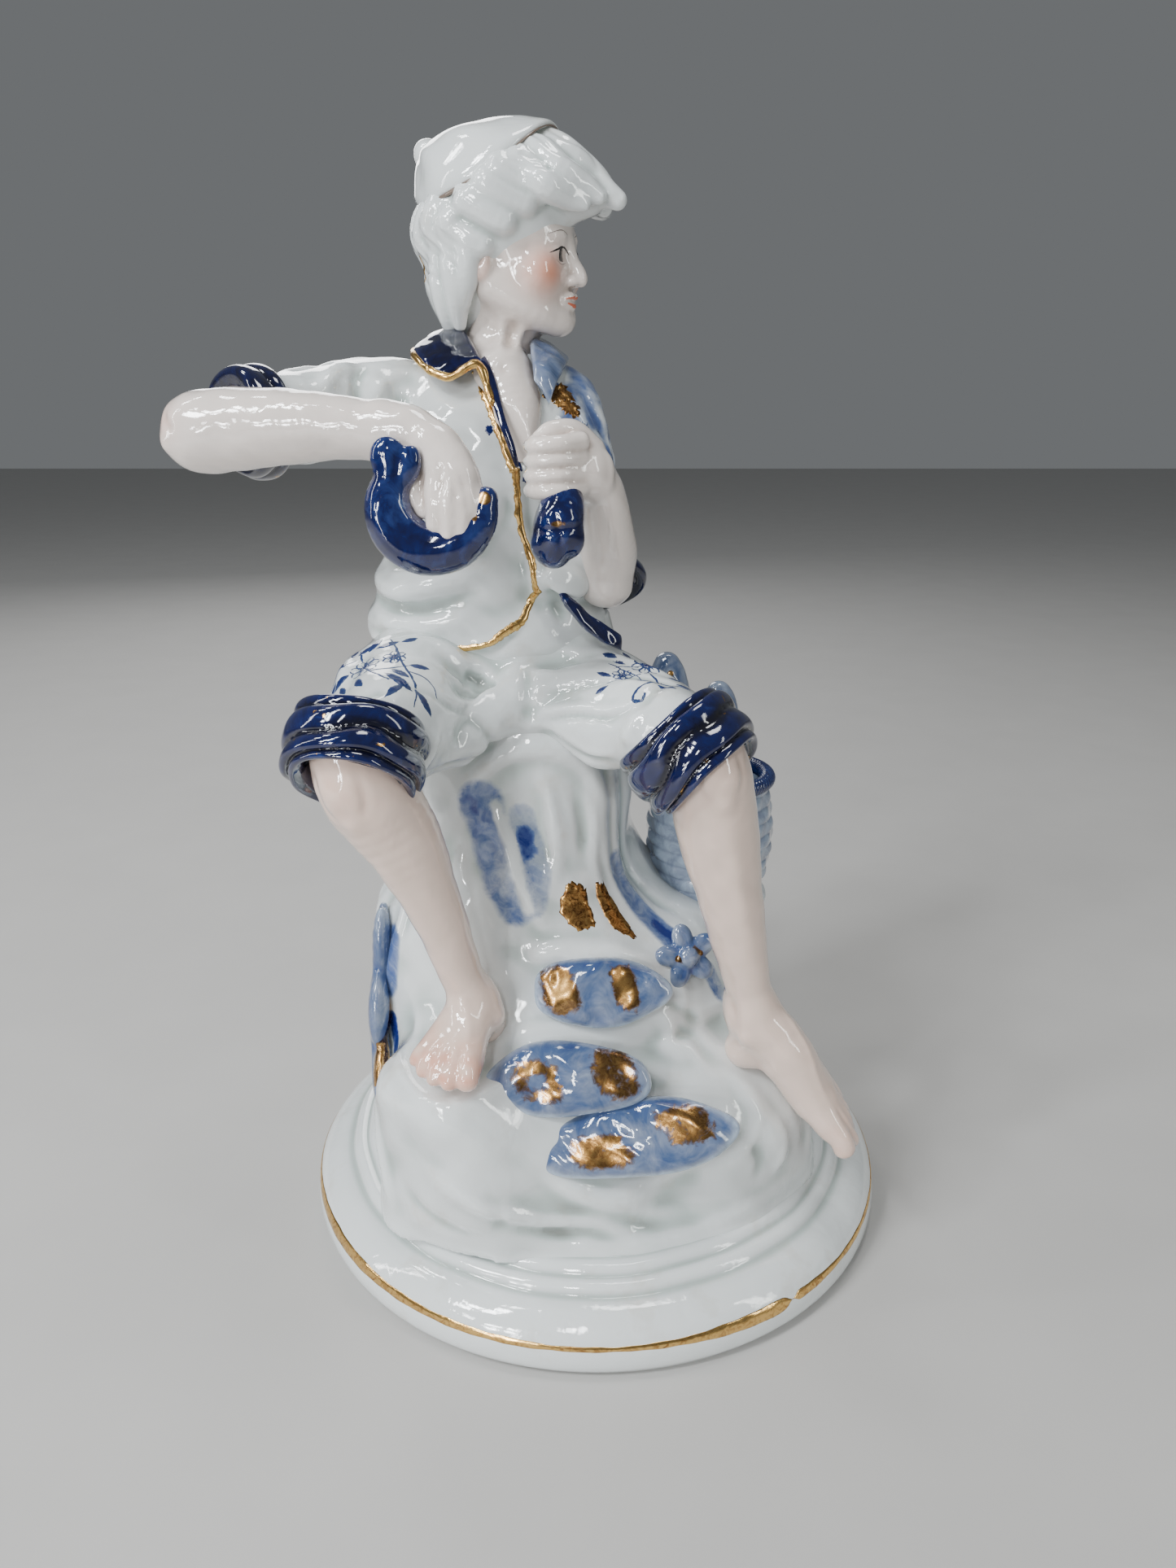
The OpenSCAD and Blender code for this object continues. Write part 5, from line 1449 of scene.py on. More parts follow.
def model_collars():
    """The two collar flaps, thick painted cloth lying from the nape over the shoulders to the neck opening."""
    right = [
        [(-24, 16.5, 201.5), (-26, 19, 200.5), (-28, 20.5, 198)],
        [(-29, 12, 203.0), (-33, 13.5, 201.8), (-36.5, 14, 199)],
        [(-27.8, 5, 202.4), (-33.5, 5, 201.4), (-38, 4.5, 198.4)],
        [(-26, 0, 200.4), (-32, -1, 199.6), (-37.2, -2, 197.2)],
        [(-24.6, -3.6, 198.2), (-29.5, -5, 197), (-34, -6.6, 194.6)],
        [(-23.2, -6.2, 195.8), (-26.5, -7.2, 195.4), (-30.4, -8.2, 193.2)],
    ]
    left = [
        [(-22, 16.5, 200.5), (-20, 19.5, 199.5), (-18, 21, 197)],
        [(-16, 13.5, 201), (-12.5, 15.5, 199.5), (-9, 17, 196.5)],
        [(-14, 7, 200.5), (-10, 8, 199.3), (-6.5, 8.5, 196.5)],
        [(-14, 2, 199.5), (-10, 1.5, 198), (-7, 1, 194.8)],
        [(-13.5, -3, 197), (-10.5, -4, 195), (-8.5, -4.5, 191.8)],
        [(-12.8, -6.5, 192.5), (-11.2, -7, 190.5), (-9.8, -7, 188)],
    ]
    verts, faces = sheet_flap(right, 1.9, folds=0.1, seed=1)
    make_piece("right_collar", verts, faces, "cobalt", ["right_collar"],
               {"pool_and_shade": hollows(verts, faces, 6, 1.6) + 0.22})
    facing = [
        [(-23.8, -6.4, 196.2), (-23.3, -5.8, 196.8), (-22.9, -5.0, 197.2)],
        [(-22.2, -7.6, 192.4), (-21.5, -7.5, 192.6), (-20.8, -7.1, 192.8)],
        [(-21.0, -9.2, 187.8), (-20.2, -9.4, 188.0), (-19.4, -9.2, 188.2)],
        [(-19.7, -11.3, 184.2), (-19.0, -11.5, 184.4), (-18.3, -11.3, 184.6)],
        [(-17.9, -12.9, 179.8), (-17.3, -13.1, 180.0), (-16.7, -12.9, 180.2)],
        [(-16.4, -14.0, 176.0), (-16.1, -14.1, 176.1), (-15.8, -14.0, 176.2)],
    ]
    verts, faces = sheet_flap(facing, 0.9)
    make_piece("collar_facing", verts, faces, "cobalt")
    verts, faces = sheet_flap(left, 1.7, folds=0.3, seed=2)
    make_piece("left_collar", verts, faces, "wash", ["left_collar"],
               {"pool_and_shade": hollows(verts, faces, 6, 2.0) + 0.15})
    rim = smooth_path([row[-1] for row in right] + [(-28.4, -8.4, 193.6), (-26.2, -8.2, 195.0),
                                                    (-24.4, -7.8, 195.6), (-23.2, -7.8, 194.4),
                                                   (-22.4, -8.0, 192), (-21.7, -8.8, 189.6),
                                                   (-21, -9.8, 187.4)], 200)
    ring = np.linspace(0, TAU, 12, endpoint=False)
    n, b = frames_along(rim, vec(0, 0, 1))
    along = np.arange(200)
    girth = (0.85 + 0.14 * ripple(rim, 6, 1) + 0.05 * ripple(rim, 2.4, 2)) * ease(np.minimum(along,
                                                                                             199 - along)
                                                                                             / 9 + 0.1)
    rings = rim[:, None] + girth[:, None, None] * (np.cos(ring)[None, :,
                                                                None] * n[:, None] + 1.1
                                                                * np.sin(ring)[None, :, None] * b[:, None])
    verts, faces = closed_tube(rings)
    make_piece("right_collar_gilt_edge", verts, faces, "gilt")


def model_sleeve_cuffs():
    """The cuff at the right elbow and the narrow one at the left."""
    verts, faces = rolled_cuff(vec(-68.2, -14.6, 184.5), vec(-0.72, -0.68, -0.08), 6.2, 11.0, 7.4, 3, 1.1,
                               0.8)
    pool_and_shade = hollows(verts, faces, 10, 1.6) + 0.2
    dabs = near(verts, (-75, -19, 192), (4, 4, 2.2))
    dabs = dabs + near(verts, (-62, -14, 175), (3.6, 3, 2.4))
    dabs = dabs + near(verts, (-60, -12, 192), (3.6, 3, 2))
    gilt = dabs * (0.85 + 0.5 * ripple(verts, 3, 1))
    make_piece("right_sleeve_cuff", verts, faces, "cobalt", ["right_sleeve_cuff"],
               {"pool_and_shade": pool_and_shade, "gilt": gilt})
    verts, faces = rolled_cuff(vec(1.2, -1.0, 151.8), vec(0.1, -0.75, -0.6), 5.2, 8.9, 4.2, 3, 0.4, 0.7)
    make_piece("left_sleeve_cuff", verts, faces, "cobalt", ["left_sleeve_cuff"],
               {"pool_and_shade": hollows(verts, faces, 8, 1.6) + 0.2})


def model_shirt_tail():
    """The loose blue corner of the shirt, a curved sheet over the left hip."""
    rows = [
        [(-8.2, -13.5, 151.2), (-7.5, -14.3, 150), (-6.9, -14.6, 148.8)],
        [(-3.6, -12.8, 147.4), (-3.2, -14, 145.8), (-3, -14.6, 143.8)],
        [(0.8, -11.6, 144), (1.0, -12.8, 142.2), (1.0, -13.4, 140.4)],
        [(5.0, -9.8, 140.6), (5.2, -10.5, 139.4), (5.2, -11, 138.2)],
    ]
    verts, faces = sheet_flap(rows, 1.7, folds=0.3, seed=3)
    make_piece("shirt_tail", verts, faces, "cobalt", ["shirt_tail"],
               {"pool_and_shade": hollows(verts, faces, 6, 1.6) - 0.05})


# ---- arms, hands and the fish in them --------------------------------------------------------------


def model_forearms():
    """Both forearms: a tapering limb, a palm, and a limb for each finger."""
    right = Clay((-90, -50, 156), (-12, 0, 198), 0.5)
    tip = ELBOW_R
    right.limb([tip + vec(-1.5, -2, 0), tip + vec(5, -3, 0.5), vec(-60, -25.5, 184), vec(-48, -28.5, 184),
                WRIST_R],
               [6.9, 7.3, 6.7, 5.5, 4.7], 2, (vec(0, 0, 1), 1.05))
    right.limb([(-62, -9, 184.5), (-66, -12, 184.5), (-71, -16.5, 184), tip + vec(1, -2, 0)],
               [5.2, 5.6, 6.2, 6.5], 3)
    right.egg(tip + vec(-3.4, -1.5, -0.6), (3.4, 3.6, 4.4), 3)
    right.stroke([tip + vec(-6, -4, 3.6), tip + vec(-5, -6.5, 1.4), tip + vec(-3.4, -8, 0.8)], 0.9, -0.7)
    right.dab(tip + vec(-5.4, -5, -1.6), 1.8, 0.5)
    right.stroke([(-66, -30, 190), (-56, -32, 189), (-46, -33, 187)], 2.4, 0.35)
    right.stroke([(-64, -31, 180), (-54, -33, 180), (-44, -34, 181)], 2.2, -0.3)
    # the hand droops over the fish, with its fingers side by side
    knuckles = ((-29.2, -37.5, 177.5), (-26.8, -39, 175.5), (-24.6, -39, 173.6), (-22.8, -38, 172.4))
    ends = ((-29.6, -40.5, 167.5), (-27.2, -41, 166), (-24.8, -40.6, 165.6), (-22.8, -39.4, 166.8))
    right.limb([WRIST_R + vec(-3, 0, 0.5), WRIST_R + vec(2, -1.5, 0), (-29.5, -34.5, 179.5),
                (-26.2, -37, 175.5)],
               [4.7, 4.5, 5.4, 4.8], 2.5, (vec(0.2, 1, 0.3), 0.85))
    for knuckle, end in zip(knuckles, ends):
        mid = (vec(*knuckle) + vec(*end)) / 2 + vec(0, -0.8, 0.4)
        right.limb([WRIST_R * 0.45 + vec(*knuckle) * 0.55, knuckle, mid, end], [3.0, 2.3, 2.0, 1.6], 0.9)
    right.limb([WRIST_R + vec(1, 0, -2), (-34, -35, 177), (-33.4, -37.5, 173), (-32, -38, 170)],
               [3, 2.4, 2.1, 1.7], 1.5)
    for a, b in zip(knuckles[:-1], knuckles[1:]):
        mid = (vec(*a) + vec(*b)) / 2
        right.stroke([mid + vec(-1.5, -2, 3.5), mid + vec(0, -3, 0), mid + vec(-0.2, -4, -4)], 0.5, -0.45)
    right.roughen(8, 0.1, 0.4)
    verts, faces = right.skin()
    pale = near(verts, (tip + vec(-7, -5, 2)), 4)
    make_piece("right_forearm", verts, faces, "pale", ["right_forearm"],
               {"pool_and_shade": hollows(verts, faces, 5, 3.2), "blush": 0.3 * pale})

    left = Clay((-22, -38, 138), (18, 12, 192), 0.45)
    left.limb([ELBOW_L + vec(-1.4, 0, 1.4), ELBOW_L + vec(-0.8, -3, 6), (2.4, -11, 162),
               WRIST_L + vec(0, 0, -1), (-1, -19.5, 174.5)],
              [5.9, 6.1, 5.3, 4.4, 4.3], 2)
    left.egg(ELBOW_L + vec(-1.0, -0.4, 0.2), (4.8, 5.2, 4.2), 2.5)
    left.egg((-3, -21, 176.3), (5.4, 5.2, 5.8), 2.5)
    left.egg((-7.4, -23.5, 176.8), (4.4, 5, 5.6), 2)
    # four curled fingers, one above the other, and the thumb across the top
    for k in range(4):
        z = 181.0 - 2.75 * k
        left.limb([(-3.5, -25.2 + 0.2 * k, z + 0.4), (-7.6, -28.3 + 0.2 * k, z),
                   (-11.6, -27.8 + 0.3 * k, z - 0.3),
                   (-13.0, -24.6, z - 0.4)], [1.9, 1.75, 1.7, 1.4], 0.55)
    left.limb([(-1, -20, 180), (-4.5, -22, 183.2), (-8.5, -24.5, 183.4), (-11, -25.6, 182)],
              [2.2, 2.1, 1.9, 1.6], 1.0)
    for k in range(3):
        z = 179.7 - 2.75 * k
        left.stroke([(-3.4, -26.4, z + 0.5), (-7.6, -29.4, z), (-11.8, -28.6, z - 0.3)], 0.5, -0.35)
    left.stroke([(1, -22, 181), (1.6, -22, 176), (0.8, -22, 171)], 1.0, 0.35)
    left.roughen(8, 0.08, 0.9)
    verts, faces = left.skin()
    make_piece("left_forearm", verts, faces, "pale", ["left_forearm"],
               {"pool_and_shade": hollows(verts, faces, 4, 3.4)})


def model_hand_fish():
    """The two small fish in the hands: a curled body, a lobed tail, and gilt eyes."""
    clay = Clay((-50, -48, 152), (-12, -28, 188), 0.42)
    clay.limb([(-36.6, -39, 176.5), (-38.2, -39, 171), (-36.6, -39, 166), (-32, -39, 163),
               (-26, -39, 163.6),
               (-22, -39, 167.5), (-20.4, -38.6, 172)], [3.0, 4.2, 4.8, 4.8, 4.2, 3.4, 2.2], 1.5,
               (vec(0, 1, 0), 0.9))
    clay.egg((-37.4, -39.4, 179), (3.4, 2.2, 3.9), 1.4, (vec(1, 0, 0.35), vec(0, 1, 0), vec(-0.35, 0, 1)))
    clay.egg((-33.9, -39.4, 177.8), (2.1, 1.7, 3.6), 1.2, (vec(1, 0, -0.25), vec(0, 1, 0), vec(0.25, 0, 1)))
    clay.stroke([(-35.2, -42, 181.5), (-35.6, -43, 178), (-36.2, -43, 174)], 0.7, -0.8)
    clay.stroke([(-40, -42, 174), (-40, -43, 168), (-36, -43, 163), (-30, -43, 161)], 1.3, 0.5)
    clay.stroke([(-36, -43, 172), (-35, -44, 168), (-31, -44, 165.5), (-26, -43, 165.5)], 1.0, -0.5)
    clay.stroke([(-23.6, -42, 171.5), (-21.8, -42.5, 169.4), (-19, -41, 168.6)], 0.6, -0.5)
    verts, faces = clay.skin()
    eye = near(verts, clay.settle(np.array([(-20.6, -41, 172.4)]))[0], 1.3)
    stripe = near(verts, (-22.4, -42, 169), (1, 1.6, 1))
    tail = near(verts, (-34.4, -43, 174), (2.6, 3, 6))
    make_piece("right_hand_fish", verts, faces, "cobalt", ["right_hand_fish"],
               {"pool_and_shade": hollows(verts, faces, 8, 1.4) - 0.12 - 0.4 * tail + 0.12 * ripple(verts, 9, 4),
                "gilt": 1.3 * eye + 0.85 * stripe})
    clay = Clay((-20, -36, 152), (4, -18, 180), 0.38)
    clay.limb([(-6, -24.5, 173), (-7, -26.5, 169), (-8, -27.5, 164.5), (-8.6, -28, 161.5)],
              [2.6, 4.4, 4.8, 3.6], 1.5)
    clay.egg((-9.6, -28.4, 162.4), (3.4, 2.8, 3.3), 1.0)
    clay.egg((-5.4, -28.2, 163.6), (2.8, 2.5, 3.6), 0.9)
    clay.egg((-7.6, -29.4, 167.6), (3.8, 2.2, 2.6), 0.9)
    clay.stroke([(-8.6, -31, 170), (-7.6, -32, 165.5), (-7.0, -31, 160.5)], 0.6, -0.8)
    clay.stroke([(-12, -29, 165.2), (-8, -32, 165.6), (-4, -30, 166.2)], 0.6, -0.6)
    verts, faces = clay.skin()
    brown = near(verts, (-7.8, -31.5, 166.8), (2.4, 2, 1.1))
    make_piece("left_hand_fish", verts, faces, "cobalt", ["left_hand_fish"],
               {"pool_and_shade": hollows(verts, faces, 8, 1.4) - 0.1 + 0.15 * ripple(verts, 6, 1),
                "gilt": 0.72 * brown})


# ---- head, hair and cap ---------------------------------------------------------------------------


def head_local(points):
    """From the figurine's frame to the head's own, with the face towards -Y."""
    return turned(np.asarray(points, float) - HEAD, -FACE_TURN)


def head_clay():
    """The head in its own frame: cranium, cheeks and jaw as eggs, features added by small limbs and strokes.

    The face is plain and even: eyes halfway down the head, the nose's foot and the brow a third apart.
    """
    clay = Clay((-17, -20, -42), (17, 20, 19), 0.36)
    clay.egg((0, 2.2, 3.6), (12.4, 14.2, 13.0), 2)
    clay.egg((0, -3.4, -4.6), (10.4, 9.2, 10.6), 4)
    clay.limb([(-8.6, 1.5, -8), (-5.6, -6.2, -12.6), (0, -9.2, -14.2), (5.6, -6.2, -12.6), (8.6, 1.5, -8)],
              [3.2, 3.0, 2.9, 3.0, 3.2], 4)
    clay.egg((0, -10.2, -14.0), (2.8, 2.3, 2.3), 2.5)
    for side in (-1, 1):
        clay.egg((side * 6.4, -8.0, -5.6), (3.9, 3.3, 3.6), 3)
        clay.egg((side * 4.9, -13.4, -2.1), (3.0, 1.9, 1.7), 1.6, carve=True)
        clay.egg((side * 4.7, -9.5, -2.1), (2.5, 2.3, 2.0), 0.7)
        clay.stroke([(side * 2.0, -13, 0.9), (side * 4.8, -13, 1.5), (side * 7.8, -11, 0.7)], 1.1, 0.5)
        clay.stroke([(side * 2.5, -13, -1.6), (side * 4.7, -13, -0.7), (side * 7.2, -11, -1.7)], 0.5, 0.32)
        clay.stroke([(side * 2.7, -13, -2.8), (side * 4.7, -13, -3.6), (side * 6.9, -11, -2.8)], 0.45, 0.22)
        clay.egg((side * 12.0, 2.6, -3.6), (1.5, 2.5, 3.6), 1.0)
        clay.stroke([(side * 13.4, 1.2, -5.6), (side * 13.6, 0.6, -2.6), (side * 13.6, 2.4, -0.6),
                     (side * 13.4, 4.4, -2.4),
                     (side * 13.3, 3.6, -5.4)], 0.6, 0.55)
        clay.dab((side * 13.6, 2.2, -3.2), 0.9, -0.8)
    clay.limb([(0, -11.2, 0.2), (0, -12.5, -2.6), (0, -14.0, -5.4), (0, -14.3, -6.5)], [1.2, 1.2, 1.5, 1.5],
              1.6)
    for side in (-1, 1):
        clay.egg((side * 1.55, -13.0, -6.8), (1.15, 1.4, 1.05), 0.8)
        clay.dab((side * 0.95, -14, -7.9), 0.45, -0.4)
    clay.stroke([(0, -13, -8.2), (0, -13, -9.4)], 0.5, -0.22)
    clay.limb([(-2.7, -11.5, -10.3), (-1.0, -12.5, -9.7), (0, -12.45, -9.9), (1.0, -12.5, -9.7),
               (2.7, -11.5, -10.3)],
              [0.5, 0.85, 0.8, 0.85, 0.5], 0.9)
    clay.limb([(-2.2, -11.5, -11.0), (0, -12.2, -11.6), (2.2, -11.5, -11.0)], [0.55, 1.0, 0.55], 0.9)
    clay.stroke([(-2.9, -12, -10.5), (-1.2, -13, -10.5), (0, -13, -10.6), (1.2, -13, -10.5),
                 (2.9, -12, -10.5)], 0.34, -0.4)
    clay.stroke([(-1.8, -12, -12.9), (0, -12, -13.1), (1.8, -12, -12.9)], 0.7, -0.3)
    # the neck, and the breast in the open collar
    neck = head_local([(-21.5, 4, 180), (-21.5, 6, 190), (-21, 8.5, 198), (-19.5, 9, 206), (-18, 9, 212)])
    clay.limb(neck, [9.0, 8.8, 7.8, 7.4, 7.8], 4)
    clay.limb(head_local([(-19.5, 0, 193), (-17, -4.0, 187), (-16.2, -8.2, 181), (-16, -10.6, 177)]),
              [6.6, 5.6, 3.8, 1.8], 3)
    clay.stroke(head_local([(-14, 2, 206), (-16, 0.5, 200), (-18.5, -3, 195)]), 1.1, 0.5)
    clay.stroke(head_local([(-20, -2, 206), (-20, -1, 200), (-19.6, -4, 195)]), 1.1, 0.45)
    clay.stroke(head_local([(-17, 0, 206), (-18, 0, 200), (-19, -3, 196)]), 1.2, -0.45)
    clay.dab(head_local([(-19, -5, 194)])[0], 1.2, -0.6)
    return clay


def model_head():
    """The head with blush on its cheeks and ears, and its painted eyes, brows and lips."""
    clay = head_clay()
    verts, faces = clay.skin()
    cheeks = sum(near(verts, (s * 7.8, -9.4, -5.6), (3.6, 4.6, 4.0)) for s in (-1, 1))
    ears = 0.3 * ease((np.abs(verts[:, 0]) - 11.8) / 1.0) * (verts[:, 2] > -9) * (verts[:, 1] > -2)
    pool_and_shade = hollows(verts, faces, 4, 3.2)
    make_piece("head_and_neck", head_place(verts), faces, "pale", ["head_and_neck"],
               {"pool_and_shade": pool_and_shade, "blush": cheeks + ears})
    dark, lips = [], []
    for s in (-1, 1):
        dark.append(brush_line(clay, [(s * 2.3, -13, -2.0), (s * 3.4, -13, -1.2), (s * 4.8, -13, -0.9),
                                      (s * 6.2, -12.5, -1.2),
                                      (s * 7.8, -11, -1.9)], [0.25, 0.5, 0.6, 0.5, 0.15], 0.06, 0.08, 1,
                                      strength=1.0))
        dark.append(brush_patch(clay, (s * 4.6, -13, -2.15), vec(s, 0.2, 0), vec(0, 0, 1),
                                blob(1.0, 1.3, 0.03, 1), 0.08, 40, 5))
        dark.append(brush_line(clay, [(s * 2.0, -13, 1.7), (s * 4.6, -13, 2.5), (s * 7.6, -11, 1.6)],
                               [0.2, 0.36, 0.15],
                               0.05, 0.15, 2, strength=0.25))
        dark.append(brush_line(clay, [(s * 3.2, -13, -3.2), (s * 4.8, -13, -3.7), (s * 6.4, -12, -3.1)],
                               [0.1, 0.16, 0.1],
                               0.04, 0.1, 3, strength=0.3))
    for row, width in (([(-2.6, -12, -10.2), (-1.0, -13, -9.85), (0, -13, -10.05), (1.0, -13, -9.85),
                         (2.6, -12, -10.2)],
                        [0.3, 1.0, 1.0, 1.0, 0.3]),
                       ([(-2.0, -12, -11.0), (0, -13, -11.5), (2.0, -12, -11.0)], [0.4, 1.3, 0.4])):
        lips.append(brush_line(clay, row, width, 0.06, 0.04, 1, strength=0.6))
    lay_paint("eye_paint", dark, "eye paint", head_place)
    lay_paint("lip_paint", lips, "lip paint", head_place)


def hair_ball(azimuth, elevation):
    """A place on the rounded mass of hair, by azimuth from the face and elevation, in radians."""
    back = 0.5 - 0.5 * np.cos(azimuth)
    x = 15.0 * np.sin(azimuth) * np.cos(elevation)
    y = 2.6 - (14.2 + 3.0 * back) * np.cos(azimuth) * np.cos(elevation)
    z = 5.0 + 15.6 * np.sin(elevation)
    return np.stack([x, y, z], -1)


def over_head(rows, swell=0.0):
    """Places over the hair, from rows of azimuth from the face, elevation (both in degrees) and height."""
    r = np.array(rows, float)
    ball = hair_ball(np.radians(r[:, 0]), np.radians(r[:, 1]))
    return ball + unit(ball - vec(0, 3, 5)) * (r[:, 2:3] + swell)


def hair_clay():
    """Hair as a rounded mass over the cranium, with locks laid over it like tapering limbs."""
    clay = Clay((-22, -30, -24), (22, 27, 28), 0.42)
    clay.egg((0, 3.0, 5.4), (14.2, 15.2, 15.0), 2)
    clay.egg((0, 8.5, -4), (12.6, 10.4, 11), 4)
    clay.limb([(0, 10.5, -8), (0, 10.0, -13), (0, 9.4, -17)], [8.0, 6.6, 4.0], 4)
    # the mass swept forward over the brow
    clay.egg((0, -7.0, 12.6), (11.5, 8.5, 7.4), 4)
    clay.egg((0.3, -14.0, 9.2), (8.0, 6.0, 4.4), 3)
    # the face, the neck and the ears stay open
    clay.egg((0, -18.5, -9.5), (13.8, 18.0, 13.4), 1.2, carve=True)
    clay.egg((0, -4.0, -18), (11.0, 9, 9.5), 2, carve=True)
    locks = [
        ([(-62, 50, 0.6), (-54, 38, 1.6), (-42, 28, 2.4), (-30, 21, 2.8), (-18, 14, 2.6)],
         [1.8, 3.0, 3.2, 2.6, 1.0]),
        ([(52, 50, 0.6), (50, 38, 1.6), (44, 27, 2.2), (34, 18, 2.6), (24, 11, 2.2)],
         [1.8, 3.0, 3.2, 2.6, 1.0]),
    ]
    for side in (-1, 1):
        for rows, radii in (
            ([(78, 46, 0.4), (72, 34, 1.6), (60, 24, 2.4), (46, 17, 2.8), (34, 12, 2.6)],
             [1.6, 2.8, 3.1, 2.5, 0.9]),
            ([(96, 36, 0.4), (86, 24, 1.8), (70, 14, 2.3), (56, 8, 2.0), (46, 5, 1.2)],
             [1.6, 2.8, 3.0, 2.2, 0.8]),
            ([(112, 26, 0.4), (100, 12, 1.8), (84, 2, 2.2), (72, -4, 1.6), (64, -6, 0.6)],
             [1.5, 2.7, 2.9, 2.2, 0.8]),
            ([(122, 16, 0.4), (114, 0, 1.8), (102, -12, 2.0), (92, -20, 1.4), (86, -26, 0.4)],
             [1.5, 2.6, 2.8, 2.1, 0.8]),
            ([(134, 24, 0.4), (130, 6, 1.8), (120, -12, 2.0), (108, -26, 1.6), (102, -36, 0.4)],
             [1.5, 2.7, 2.9, 2.2, 0.8]),
            ([(148, 20, 0.4), (148, 0, 1.8), (138, -20, 2.0), (128, -36, 1.4), (124, -46, 0.2)],
             [1.5, 2.7, 2.9, 2.2, 0.8]),
            ([(164, 22, 0.4), (168, 2, 1.8), (158, -20, 2.0), (150, -38, 1.4), (152, -52, 0.0)],
             [1.5, 2.7, 2.9, 2.2, 0.9]),
        ):
            locks.append(([(side * a, b, c) for a, b, c in rows], radii))
    locks.append(([(180, 20, 0.4), (176, 0, 1.8), (184, -22, 2.0), (178, -46, 0.4)], [1.5, 2.8, 2.8, 1.0]))
    # the forelock: thick waves drawn forward over the brow to a tip
    waves = (
        ([(-3, -2, 19.4), (-2.4, -8, 18.2), (-1.6, -12.6, 15.2), (-0.4, -16.4, 12), (0.4, -19.4, 9.4),
          (0.5, -21.9, 7.8)],
         [2.2, 3.0, 3.3, 3.2, 2.7, 2.0]),
        ([(3, -3, 19), (4.4, -9, 16.6), (5.4, -13.4, 13), (5.0, -17, 10), (3.0, -20, 8.2)],
         [2.2, 3.0, 3.2, 2.7, 1.4]),
        ([(-7, -2, 18), (-7.6, -8, 15.8), (-7.2, -12.6, 12.4), (-5.6, -16.4, 9.6), (-3.2, -19.6, 7.8)],
         [2.2, 3.0, 3.2, 2.7, 1.4]),
        ([(-10.4, -1, 15.6), (-11, -6.6, 12.6), (-10.2, -11, 9.6), (-8.2, -14.6, 7.4), (-5.6, -17.4, 6.2)],
         [2.0, 2.8, 3.0, 2.4, 1.1]),
        ([(8.4, -2, 16.6), (9.6, -7.4, 13.6), (9.6, -12, 10.2), (8.0, -15.4, 7.8), (5.6, -17.8, 6.6)],
         [2.0, 2.8, 3.0, 2.4, 1.1]),
    )
    for path, radii in waves:
        path = [(x + 0.9 * sway, y, z) for (x, y, z), sway in zip(path, (0, 1, -1, 1, -0.6, 0))]
        clay.limb(path, radii, 1.5)
        for shift in (-1.5, 1.4):
            groove = [(x + shift, y, z + 2.6) for x, y, z in path[:-1]]
            clay.stroke(groove, 0.55, -0.36 * sizes().strands)
    # locks behind and below the ears
    for side in (-1, 1):
        for path, radii in (
            ([(side * 12.4, 4.6, 4), (side * 13.4, 4.6, -1), (side * 12.6, 5.2, -6),
              (side * 11.2, 6.4, -11)],
             [1.6, 2.5, 2.5, 1.2]),
            ([(side * 12.6, 8, 1), (side * 12.6, 8.2, -4), (side * 11.4, 8.0, -9.5),
              (side * 9.4, 8.6, -15)],
             [2.0, 2.7, 2.6, 1.3]),
            ([(side * 10.4, 11.6, 0), (side * 10, 12, -6), (side * 8.6, 11.6, -12),
              (side * 6.0, 11.4, -18)],
             [2.2, 2.8, 2.6, 1.4]),
        ):
            clay.limb(path, radii, 0.9)
    locks = [([(a + 6 * sway, b - 3 * sway, c) for (a, b, c), sway in zip(rows, (0, 1, -1, 1, -0.4))],
              radii)
             for rows, radii in locks]
    for rows, radii in locks:
        clay.limb(over_head(rows, -2.1), radii, 1.5)
    for rows, radii in locks:
        for shift, depth in ((-2.4, -0.32), (2.6, -0.26)):
            path = [(a + shift, b + 0.8 * shift, c + 1.2) for a, b, c in rows]
            clay.stroke(over_head(path, 0), 0.55, depth * sizes().strands)
    clay.roughen(9, 0.16, 2.2)
    return clay


def model_hair():
    """The hair, darker between its locks, where the crease-depth mark paints shade, partly as pooled glaze."""
    clay = hair_clay()
    verts, faces = clay.skin()
    make_piece("hair", head_place(verts), faces, "white", ["hair"],
               {"pool_and_shade": hollows(verts, faces, 6, 1.9)})


CAP_TILT = math.radians(-27)


def cap_place(points):
    """From the cap's own frame, its opening facing down, to the head's frame: tipped back over the crown."""
    p = np.asarray(points, float)
    c, s = math.cos(CAP_TILT), math.sin(CAP_TILT)
    return np.stack([p[..., 0], p[..., 1] * c - p[..., 2] * s + 5, p[..., 1] * s + p[..., 2] * c + 14.2],
                    -1)


def cap_edge(turn):
    """The cap's lower edge: level fore and aft, and drooping over the temples."""
    return -4.6 * np.cos(turn) ** 2 + 0.3 * np.sin(3 * turn)


